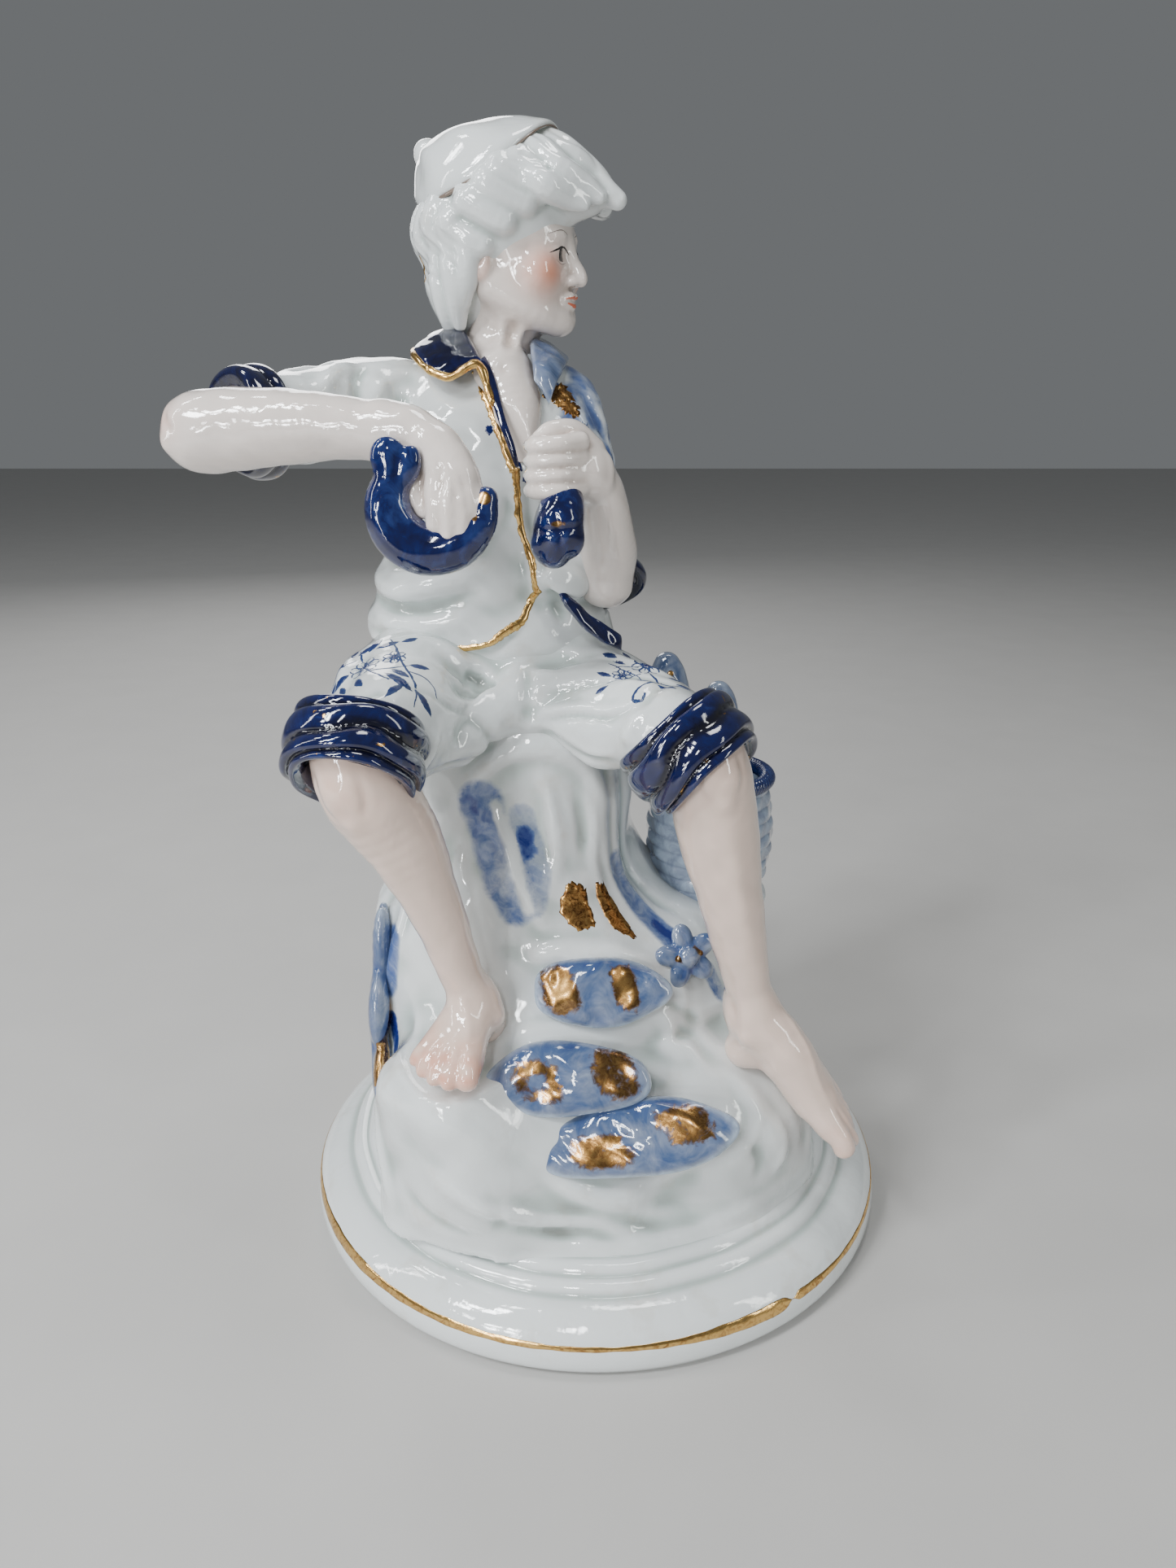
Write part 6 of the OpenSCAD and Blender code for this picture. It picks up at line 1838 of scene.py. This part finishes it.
def model_cap():
    """A soft cap that leans back to a peak: rings from its edge to its crown, their middles moving to the back.

    Shallow folds run from the edge to the peak, and the first rings turn in under the edge.
    """
    share, turn = np.meshgrid(np.linspace(0, 1, 130), np.linspace(0, TAU, 260, endpoint=False),
                              indexing="ij")
    rows = vec((0, 15.4, -0.2), (0.1, 16.25, 0.3), (0.4, 16.2, 1.2), (1.3, 15.2, 2.7), (2.2, 13.4, 4.7),
               (3.6, 11.0, 6.8),
               (5.4, 8.2, 8.6), (7.4, 5.4, 9.9), (9.0, 2.8, 10.8), (9.8, 0.4, 11.1))
    rows = smooth_path(rows, 130)
    shift, r, z = (rows[:, k][:, None] for k in range(3))
    fold = np.sin(math.pi * np.clip(share * 1.15, 0, 1)) ** 1.2
    away = np.angle(np.exp(1j * (turn - math.radians(110))))
    pleats = 0.34 * np.sin(7 * turn + 1.5 * share + 0.6) * fold * (0.5 + 0.5 * bell(away, 1.4))
    dent = -0.7 * bell(np.angle(np.exp(1j * (turn - math.radians(150)))), 0.45) * bell(share - 0.45, 0.2)
    r = r + pleats + dent
    x, y = r * np.cos(turn) * 0.96, r * np.sin(turn) * 0.98 + shift
    z = z + cap_edge(turn) * (1 - ease(share * 1.6)) + 0.5 * pleats
    skin = cap_place(np.stack([x, y, z], -1))
    under = cap_place(np.stack([0.9 * x[:1], 0.9 * y[:1], z[:1] + 0.6], -1))
    verts, faces = closed_tube(np.concatenate([under, skin]))
    make_piece("cap", head_place(verts), faces, "white", ["cap"],
               {"pool_and_shade": hollows(verts, faces, 8, 2.4)})
    turn = np.linspace(0, TAU, 360, endpoint=False)
    around = np.linspace(0, TAU, 10, endpoint=False)
    girth = (0.24 + 0.10 * np.sin(2 * turn + 2) + 0.05 * np.sin(11 * turn))[:, None]
    r = 16.05 + girth * np.cos(around)
    z = cap_edge(turn)[:, None] - 0.12 + 1.3 * girth * np.sin(around)
    rings = cap_place(np.stack([0.96 * r * np.cos(turn)[:, None], 0.98 * r * np.sin(turn)[:, None] + 0.1,
                                z], -1))
    v, f = closed_ring(rings)
    make_piece("cap_edge_line", head_place(v), f, "eye paint", marks={"strength": 0.1})
    clay = Clay((-8, 9, 8), (8, 27, 26), 0.35)
    clay.limb([(0, 14.5, 14.5), (0, 17.2, 16.6), (0, 19.2, 18.3), (0.3, 20.2, 19.2)], [4.2, 3.8, 2.9, 1.6],
              1.5)
    for k in range(6):
        w = TAU * k / 6 + 0.4
        side = vec(math.cos(w), -0.7 * math.sin(w), 0.7 * math.sin(w))
        clay.stroke([vec(0, 15, 15) + 4.4 * side, vec(0, 17.5, 17) + 3.8 * side,
                     vec(0.2, 19.8, 18.9) + 1.8 * side], 0.9,
                    0.4 * (-1) ** k)
    v, f = clay.skin()
    make_piece("cap_knot", head_place(v), f, "white", ["cap_knot"], {"pool_and_shade": hollows(v, f, 4, 2)})
    # gold that ran down the back of the head
    hair = hair_clay()
    gold = [brush_line(hair, over_head([(-150, 12, 1), (-152, 2, 2), (-154, -8, 2)]), [0.4, 1.1, 0.3], 0.14,
                       0.3, 1.0),
            brush_line(hair, over_head([(-150, -22, 2), (-152, -30, 2), (-156, -40, 2)]), [0.3, 1.2, 0.4],
                       0.14, 0.3, 2.0)]
    lay_paint("hair_gilt", gold, "gilt", head_place)


# ---- basket, leaves and flower --------------------------------------------------------------------


def basket_wall(height, turn):
    """The basket's wall: radius by height, with staves and woven bands that pass over and under them."""
    z = vec(0, 4, 9, 16, 22, 27.5, 30)
    r = vec(12.5, 14.2, 15.1, 15.5, 15.2, 14.4, 14.2)
    base = np.interp(height, np.linspace(0, 30, 200), smooth_path(np.stack([z, r], -1), 200)[:, 1])
    staves, rows = sizes().staves, 9
    row = height / 30 * rows
    cell = np.cos(staves * turn / 2 + math.pi * np.floor(row))
    weave = np.abs(np.sin(math.pi * row)) ** 0.7 * (0.55 + 0.45 * cell)
    return base + 0.62 * weave - 0.3


def model_basket():
    """The woven basket, its rope rim, and two fish standing in it."""
    place, turn = np.meshgrid(np.linspace(0, 1, 170), np.linspace(0, TAU, 396, endpoint=False),
                              indexing="ij")
    height = 29.6 * place
    r = basket_wall(height, turn)
    wall = np.stack([r * np.cos(turn), r * np.sin(turn), height + 0.3], -1)
    inner_r = np.linspace(12.6, 11.0, 12)[:, None] + 0 * turn[:1]
    inner = np.stack([inner_r * np.cos(turn[:1]), inner_r * np.sin(turn[:1]),
                      np.linspace(29, 20, 12)[:, None] + 0 * turn[:1]], -1)
    verts, faces = closed_tube(np.concatenate([wall, inner]) + BASKET)
    make_piece("basket_body", verts, faces, "wash", ["basket_body"],
               {"pool_and_shade": hollows(verts, faces, 8, 2.2) - 0.3})
    # a rope rim: strands wound round a ring
    turn, around = np.meshgrid(np.linspace(0, TAU, 480, endpoint=False),
                               np.linspace(0, TAU, 40, endpoint=False), indexing="ij")
    twist = around - 30 * turn
    r = 1.75 * (1 + 0.17 * np.abs(np.sin(1.5 * twist)) ** 0.8) - 0.1
    ring = 13.6 + r * np.cos(around)
    points = np.stack([ring * np.cos(turn), ring * np.sin(turn), 29.6 + r * np.sin(around)], -1) + BASKET
    verts, faces = closed_ring(points)
    make_piece("basket_rim", verts, faces, "cobalt", ["basket_rim"],
               {"pool_and_shade": hollows(verts, faces, 5, 2.2) - 0.25})
    # fish standing head up in the basket
    for node, foot, tip, girth, dots in (
        ("basket_fish_front", (20, 12, 92), (16.8, 15.0, 129.0), 1.0, ((17.5, 9, 128.5), (21.5, 8, 123))),
        ("basket_fish_rear", (31, 16, 92), (29.8, 18.8, 121.2), 0.95, ((32.0, 12.5, 120.6),)),
    ):
        foot, tip = vec(*foot), vec(*tip)
        clay = Clay(np.minimum(foot, tip) - 9, np.maximum(foot, tip) + 9, 0.45)
        at = lambda share, x=0.0, y=0.0: foot + share * (tip - foot) + vec(x, y, 0)
        clay.limb([foot, at(0.3), at(0.65), at(0.9), at(1.0)],
                  [4.4 * girth, 5.4 * girth, 5.7 * girth, 4.6 * girth, 3.2 * girth], 1)
        clay.stroke([at(0.95, -4.5, -4), at(1.06, -1.5, -4.4), at(1.1, 2, -3)], 0.7, -0.9)
        clay.stroke([at(0.62, -5, -3), at(0.68, 0, -6), at(0.62, 5, -3)], 0.8, -0.7)
        clay.stroke([at(0.72, -5, -3), at(0.76, 0, -6), at(0.72, 5, -3)], 1.2, 0.5)
        for x, y, z in dots:
            clay.dab((x, y, z), 1.2, 0.5)
        verts, faces = clay.skin()
        spots = clay.settle(np.array(dots, float))
        eye = np.max([near(verts, s, 1.0) for s in spots], 0)
        ring = np.max([bell(np.linalg.norm(verts - s, axis=1) - 2.0, 0.7) for s in spots], 0)
        make_piece(node, verts, faces, "wash", [node],
                   {"pool_and_shade": hollows(verts, faces, 6, 2) + 0.25 * ring + 0.08 + 0.1 * ripple(verts, 12, 2),
                    "gilt": 1.1 * eye})


def model_rock_leaves():
    """Leaves and a twining stem luted to the rock's side, and a flower on the other side."""
    clay = Clay((-64, -32, 22), (-42, 6, 84), 0.5)
    for centre, half, tip in (((-50.5, -8, 67), (2.4, 4.6, 9), 0.15),
                              ((-51, -14, 53), (2.6, 5.6, 9.5), 0.3),
                              ((-51, -3, 56), (2.2, 4.6, 7.5), -0.5),
                              ((-50, -20, 40), (2.2, 4.4, 8), 0.55)):
        along = unit(vec(0, math.sin(tip), math.cos(tip)))
        clay.egg(centre, half, 1.0, (vec(1, 0, 0), np.cross(along, vec(1, 0, 0)), along))
        c = vec(*centre)
        clay.stroke([c + along * 8 - vec(5, 0, 0), c - vec(5, 0, 0), c - along * 8 - vec(5, 0, 0)], 0.6,
                    -0.6)
        for s in (-1, 1):
            across = np.cross(along, vec(1, 0, 0)) * s
            for k in (-3.5, 0, 3.5):
                clay.stroke([c + along * k - vec(5, 0, 0),
                             c + along * (k + 2.6) + across * 3.6 - vec(5, 0, 0)], 0.45, -0.35)
    clay.limb([(-50.5, -4, 75), (-51, -11, 62), (-51.4, -16, 47), (-51, -20, 36), (-50.2, -22, 30)],
              [1.0, 1.5, 1.6, 1.5, 1.0], 1.2)
    verts, faces = clay.skin()
    pool_and_shade = hollows(verts, faces, 6, 2.0) + 0.25 + 0.25 * ripple(verts, 14, 2)
    gilt = ease((ripple(verts, 11, 6) - 0.35) / 0.3) * 0.75
    make_piece("rock_leaves", verts, faces, "wash", ["rock_leaves"], {"pool_and_shade": pool_and_shade, "gilt": gilt})
    clay = Clay((8, -36, 58), (34, -12, 86), 0.42)
    centre, axis = vec(20, -22.6, 71.5), unit(vec(0.28, -1, 0.3))
    right = unit(np.cross(vec(0, 0, 1), axis))
    above = np.cross(axis, right)
    clay.egg(centre + 0.8 * axis, (2.6, 2.6, 2.2), 0.6, (right, above, axis))
    for k in range(5):
        w = TAU * k / 5 + 0.5
        way, cross = math.cos(w) * right + math.sin(w) * above, -math.sin(w) * right + math.cos(w) * above
        clay.egg(centre + 4.0 * way, (3.5, 2.5, 1.6), 0.6, (way, cross, axis))
        clay.stroke([centre + 2.4 * way + 3 * axis, centre + 6.4 * way + 3 * axis], 0.5, -0.35)
    verts, faces = clay.skin()
    out = np.linalg.norm((verts - centre) - np.outer((verts - centre) @ axis, axis), axis=1)
    gilt = 0.72 * bell(out - 2.6, 1.2) * (0.6 + 0.6 * ripple(verts, 4, 1))
    make_piece("rock_flower", verts, faces, "wash", ["rock_flower"],
               {"pool_and_shade": hollows(verts, faces, 5, 2) + 0.2 + 0.2 * ripple(verts, 7, 1), "gilt": gilt})


# ---- the stage --------------------------------------------------------------------------------------


def lay_floor(colour):
    """A plain pale floor, a square sheet with a faint mottle."""
    side = np.linspace(-3, 3, 9)
    x, y = np.meshgrid(side, side, indexing="ij")
    verts = np.stack([x, y, np.zeros_like(x)], -1).reshape(-1, 3)
    i, j = np.meshgrid(np.arange(8), np.arange(8), indexing="ij")
    a = (i * 9 + j).ravel()
    mesh = bpy.data.meshes.new("floor")
    mesh.from_pydata(verts.tolist(), [], np.stack([a, a + 9, a + 10, a + 1], -1).tolist())
    mesh.shade_smooth()
    material = bpy.data.materials.new("floor_paper")
    material.use_nodes = True
    tree = material.node_tree
    shader = tree.nodes["Principled BSDF"]
    coords = node_of(tree, "ShaderNodeTexCoord", -900, 0).outputs["Object"]
    mottle = noise_of(tree, coords, 30, detail=4, x=-600)
    darker = tuple(0.96 * c for c in colour)
    tree.links.new(ramp_of(tree, mottle, [(0.3, darker), (0.7, tuple(colour))], -300, 0),
                   shader.inputs["Base Color"])
    shader.inputs["Roughness"].default_value = 0.75
    mesh.materials.append(material)
    floor = bpy.data.objects.new("floor", mesh)
    bpy.context.scene.collection.objects.link(floor)


def hang_lamp(name, place, aim, size, power, colour):
    """An area light at a place, in metres, turned to face its aim."""
    lamp = bpy.data.lights.new(name, "AREA")
    lamp.shape = "RECTANGLE"
    lamp.size, lamp.size_y = size
    lamp.energy = power
    lamp.color = colour
    stand = bpy.data.objects.new(name, lamp)
    bpy.context.scene.collection.objects.link(stand)
    stand.location = place
    stand.rotation_euler = (Vector(aim) - Vector(place)).to_track_quat("-Z", "Y").to_euler()


def set_camera(lens):
    """A camera in front of the figurine and a little above it, looking down."""
    view = bpy.data.cameras.new("camera")
    view.lens = lens
    view.sensor_fit = "VERTICAL"
    view.sensor_width = 36
    view.sensor_height = 36
    view.clip_start = 0.01
    camera = bpy.data.objects.new("camera", view)
    bpy.context.scene.collection.objects.link(camera)
    camera.location = (-0.002, -0.249, 0.1895)
    camera.rotation_euler = (math.radians(90 - 18.9), 0, 0)
    bpy.context.scene.camera = camera


def set_stage(stage):
    """The floor, an even sky, two window lights from the left, softer ones round about, and the camera."""
    scene = bpy.context.scene
    lay_floor(stage.floor_colour)
    world = scene.world or bpy.data.worlds.new("studio")
    scene.world = world
    world.use_nodes = True
    sky = world.node_tree.nodes["Background"]
    sky.inputs["Color"].default_value = (0.80, 0.84, 0.87, 1)
    sky.inputs["Strength"].default_value = stage.sky
    middle = (-0.01, 0, 0.13)
    k = stage.window
    for pane, (x, z) in enumerate(((-0.60, 0.84), (-0.44, 0.90), (-0.60, 0.64), (-0.44, 0.70))):
        hang_lamp(f"window_pane_{pane}", (x, -0.44, z), middle, (0.075, 0.10), 1.6 * k, (0.95, 0.98, 1.0))
    for pane, (x, z) in enumerate(((-0.56, 0.38), (-0.43, 0.40), (-0.56, 0.24), (-0.43, 0.25))):
        hang_lamp(f"low_pane_{pane}", (x, -0.80, z), middle, (0.06, 0.07), 0.8 * k, (0.96, 0.98, 1.0))
    hang_lamp("second_window", (-0.12, -0.76, 0.66), middle, (0.05, 0.17), 1.5 * k, (0.97, 0.99, 1.0))
    for pane, place in enumerate(((-0.60, 0.06, 0.80), (-0.50, 0.16, 0.90), (-0.66, -0.66, 0.40),
                                  (-0.34, -0.30, 0.98))):
        hang_lamp(f"skylight_{pane}", place, middle, (0.06, 0.09), 0.55 * k, (0.97, 0.99, 1.0))
    hang_lamp("left_strip", (-0.72, -0.10, 0.40), middle, (0.025, 0.6), 1.1 * k, (1, 1, 1))
    hang_lamp("low_strip", (-0.30, -0.62, 0.20), middle, (0.02, 0.3), 0.45 * k, (1, 1, 1))
    hang_lamp("right_panel", (0.66, -0.40, 0.42), middle, (0.07, 0.5), 1.2 * k, (0.97, 1.0, 0.96))
    hang_lamp("overhead", (0.12, 0.05, 0.98), middle, (0.22, 0.22), 2.0 * k, (1, 1, 1))
    hang_lamp("back_panel", (-0.25, 0.80, 0.55), middle, (0.30, 0.45), 2.0 * k, (1, 1, 1))
    set_camera(stage.lens)


# ---- the add-on -------------------------------------------------------------------------------------


def colour_property(name, description, default):
    """A colour that the panel shows."""
    return bpy.props.FloatVectorProperty(
        name=name, description=description, default=default, subtype="COLOR", size=3, min=0, max=1)


class FigurineGlazes(bpy.types.PropertyGroup):
    """Colours and gloss of the glazes."""

    white: colour_property("White glaze", "Colour of the plain glazed body", (0.70, 0.735, 0.735))
    flesh: colour_property("Flesh glaze", "Colour of the face, arms and legs", (0.78, 0.61, 0.52))
    cobalt: colour_property("Cobalt", "Colour of the deep blue on cuffs, collar and fish",
                            (0.0035, 0.008, 0.062))
    wash: colour_property("Blue wash", "Colour of the thin blue on stones and sleeve",
                          (0.185, 0.225, 0.315))
    gold: colour_property("Gilt", "Colour of the burnished gold", (0.86, 0.55, 0.19))
    blush: colour_property("Blush", "Colour rubbed on the cheeks and toes", (0.76, 0.28, 0.16))
    roughness: bpy.props.FloatProperty(
        name="Roughness", description="How dull the glaze is", default=0.05, min=0.0, max=0.6,
        subtype="FACTOR")
    wave: bpy.props.FloatProperty(
        name="Waviness", description="How far the glaze's surface waves", default=0.5, min=0, max=1,
        subtype="FACTOR")


class FigurineSizes(bpy.types.PropertyGroup):
    """Sizes of the figurine's detail; the pieces themselves take their places from the frame."""

    gilt_line: bpy.props.FloatProperty(
        name="Gilt line", description="Usual width of the gold line on the plinth", default=0.0013,
        min=0.0003, max=0.003, unit="LENGTH")
    gilt_edge: bpy.props.FloatProperty(
        name="Gilt edge", description="Usual width of the gold edge on the shirt", default=0.0018,
        min=0.0005, max=0.004, unit="LENGTH")
    folds: bpy.props.FloatProperty(
        name="Cloth folds", description="Depth of the folds in shirt and breeches, as a share of the usual",
        default=1.0,
        min=0.2, max=1.8, subtype="FACTOR")
    strands: bpy.props.FloatProperty(
        name="Hair locks", description="Depth of the combed lines in the hair, as a share of the usual",
        default=1.0,
        min=0.0, max=2.0, subtype="FACTOR")
    relief: bpy.props.FloatProperty(
        name="Rock relief", description="Depth of the rock's ridges and hollows, as a share of the usual",
        default=1.0,
        min=0.2, max=1.8, subtype="FACTOR")
    staves: bpy.props.IntProperty(
        name="Basket staves", description="Number of staves round the basket", default=22, min=12, max=36)


class FigurineStage(bpy.types.PropertyGroup):
    """Floor, light and camera."""

    floor_colour: colour_property("Floor", "Colour of the floor", (0.50, 0.49, 0.475))
    sky: bpy.props.FloatProperty(name="Sky", description="Strength of the even light", default=0.19, min=0,
                                 max=3)
    window: bpy.props.FloatProperty(name="Lamps", description="Strength of all the lamps", default=1.0,
                                    min=0, max=5)
    lens: bpy.props.FloatProperty(
        name="Lens", description="Focal length of the camera", default=26.0, min=10, max=200, unit="CAMERA")


def sizes():
    """The sizes that the panel shows."""
    return bpy.context.scene.figurine_sizes


class FIGURINE_OT_plinth(bpy.types.Operator):
    """Turn the round plinth: a stepped profile revolved about +Z, with its gold line"""

    bl_idname = "figurine.plinth"
    bl_label = "Plinth"

    def execute(self, context):
        model_plinth()
        return {"FINISHED"}


class FIGURINE_OT_rock(bpy.types.Operator):
    """Model the rock: three upright bodies of elliptical slices run together, with ridges and hollows"""

    bl_idname = "figurine.rock"
    bl_label = "Rock"

    def execute(self, context):
        model_rock()
        return {"FINISHED"}


class FIGURINE_OT_stones(bpy.types.Operator):
    """Lay the three flat stones, each a superellipse, with their dabs of gold"""

    bl_idname = "figurine.stones"
    bl_label = "Stones"

    def execute(self, context):
        model_stones()
        return {"FINISHED"}


class FIGURINE_OT_rock_plants(bpy.types.Operator):
    """Model the leaves and the flower on the rock, of flat eggs with veins"""

    bl_idname = "figurine.rock_plants"
    bl_label = "Leaves and Flower"

    def execute(self, context):
        model_rock_leaves()
        return {"FINISHED"}


class FIGURINE_OT_lower_legs(bpy.types.Operator):
    """Model the bare legs and feet, of tapering limbs with calf, kneecap, heel and toes"""

    bl_idname = "figurine.lower_legs"
    bl_label = "Legs and Feet"

    def execute(self, context):
        model_lower_legs()
        return {"FINISHED"}


class FIGURINE_OT_breeches(bpy.types.Operator):
    """Model the breeches: hips and two thighs, folds that fan from the crotch, and painted sprigs"""

    bl_idname = "figurine.breeches"
    bl_label = "Breeches"

    def execute(self, context):
        model_breeches()
        return {"FINISHED"}


class FIGURINE_OT_breeches_cuffs(bpy.types.Operator):
    """Roll the breeches' cuffs: rings of a thick section whose outer half runs in wandering ridges"""

    bl_idname = "figurine.breeches_cuffs"
    bl_label = "Breeches Cuffs"

    def execute(self, context):
        model_breeches_cuffs()
        return {"FINISHED"}


class FIGURINE_OT_shirt(bpy.types.Operator):
    """Model the shirt with its sleeves, its open neck, folds, and gold and blue edges"""

    bl_idname = "figurine.shirt"
    bl_label = "Shirt"

    def execute(self, context):
        model_shirt()
        return {"FINISHED"}


class FIGURINE_OT_collars(bpy.types.Operator):
    """Lay the two collar flaps, sheets between curved edges with a rounded rim"""

    bl_idname = "figurine.collars"
    bl_label = "Collar Flaps"

    def execute(self, context):
        model_collars()
        return {"FINISHED"}


class FIGURINE_OT_sleeve_cuffs(bpy.types.Operator):
    """Roll the two sleeve cuffs"""

    bl_idname = "figurine.sleeve_cuffs"
    bl_label = "Sleeve Cuffs"

    def execute(self, context):
        model_sleeve_cuffs()
        return {"FINISHED"}


class FIGURINE_OT_shirt_tail(bpy.types.Operator):
    """Lay the loose corner of the shirt over the left hip"""

    bl_idname = "figurine.shirt_tail"
    bl_label = "Shirt Tail"

    def execute(self, context):
        model_shirt_tail()
        return {"FINISHED"}


class FIGURINE_OT_forearms(bpy.types.Operator):
    """Model the bare forearms and hands, of limbs for the arm, the palm and each finger"""

    bl_idname = "figurine.forearms"
    bl_label = "Forearms and Hands"

    def execute(self, context):
        model_forearms()
        return {"FINISHED"}


class FIGURINE_OT_hand_fish(bpy.types.Operator):
    """Model the two small fish that the boy holds"""

    bl_idname = "figurine.hand_fish"
    bl_label = "Fish in the Hands"

    def execute(self, context):
        model_hand_fish()
        return {"FINISHED"}


class FIGURINE_OT_head(bpy.types.Operator):
    """Model the head and neck, with a plain even face and its painted eyes and lips"""

    bl_idname = "figurine.head"
    bl_label = "Head and Neck"

    def execute(self, context):
        model_head()
        return {"FINISHED"}


class FIGURINE_OT_hair(bpy.types.Operator):
    """Model the hair: a rounded mass with tapering locks laid over it"""

    bl_idname = "figurine.hair"
    bl_label = "Hair"

    def execute(self, context):
        model_hair()
        return {"FINISHED"}


class FIGURINE_OT_cap(bpy.types.Operator):
    """Model the soft cap, rings whose middles lean back to a peak, with its knot and edge line"""

    bl_idname = "figurine.cap"
    bl_label = "Cap"

    def execute(self, context):
        model_cap()
        return {"FINISHED"}


class FIGURINE_OT_basket(bpy.types.Operator):
    """Weave the basket: a revolved wall with staves and bands, a rope rim, and the fish standing in it"""

    bl_idname = "figurine.basket"
    bl_label = "Basket of Fish"

    def execute(self, context):
        model_basket()
        return {"FINISHED"}


class FIGURINE_OT_stage(bpy.types.Operator):
    """Set the floor, the lights and the camera"""

    bl_idname = "figurine.stage"
    bl_label = "Stage"

    def execute(self, context):
        set_stage(context.scene.figurine_stage)
        return {"FINISHED"}


PIECES = (
    FIGURINE_OT_plinth, FIGURINE_OT_rock, FIGURINE_OT_stones, FIGURINE_OT_rock_plants, FIGURINE_OT_basket,
    FIGURINE_OT_lower_legs, FIGURINE_OT_breeches, FIGURINE_OT_breeches_cuffs, FIGURINE_OT_shirt,
    FIGURINE_OT_shirt_tail, FIGURINE_OT_collars, FIGURINE_OT_sleeve_cuffs, FIGURINE_OT_forearms,
    FIGURINE_OT_hand_fish, FIGURINE_OT_head, FIGURINE_OT_hair, FIGURINE_OT_cap,
)


class FIGURINE_PT_panel(bpy.types.Panel):
    """The figurine's sizes, colours and pieces in the sidebar"""

    bl_idname = "FIGURINE_PT_panel"
    bl_label = "Porcelain Fisher Boy"
    bl_space_type = "VIEW_3D"
    bl_region_type = "UI"
    bl_category = PANEL_TAB

    def draw(self, context):
        scene = context.scene
        for heading, group in (("Sizes", scene.figurine_sizes), ("Glazes", scene.figurine_glazes),
                               ("Stage", scene.figurine_stage)):
            box = self.layout.box()
            box.label(text=heading)
            for key in group.bl_rna.properties.keys():
                if key not in {"rna_type", "name"}:
                    box.prop(group, key)
        column = self.layout.column(align=True)
        for piece in (*PIECES, FIGURINE_OT_stage):
            column.operator(piece.bl_idname)


CLASSES = (FigurineGlazes, FigurineSizes, FigurineStage, *PIECES, FIGURINE_OT_stage, FIGURINE_PT_panel)


def register():
    """Registers the classes and hangs their values on the scene."""
    for item in CLASSES:
        bpy.utils.register_class(item)
    bpy.types.Scene.figurine_glazes = bpy.props.PointerProperty(type=FigurineGlazes)
    bpy.types.Scene.figurine_sizes = bpy.props.PointerProperty(type=FigurineSizes)
    bpy.types.Scene.figurine_stage = bpy.props.PointerProperty(type=FigurineStage)


def unregister():
    """Takes the values and the classes away again."""
    del bpy.types.Scene.figurine_stage
    del bpy.types.Scene.figurine_sizes
    del bpy.types.Scene.figurine_glazes
    for item in reversed(CLASSES):
        bpy.utils.unregister_class(item)


def main():
    register()
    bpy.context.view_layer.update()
    mix_glazes(bpy.context.scene.figurine_glazes)
    for piece in PIECES:
        getattr(bpy.ops.figurine, piece.bl_idname.split(".")[1])()
    bpy.ops.figurine.stage()


if __name__ == "__main__":
    main()
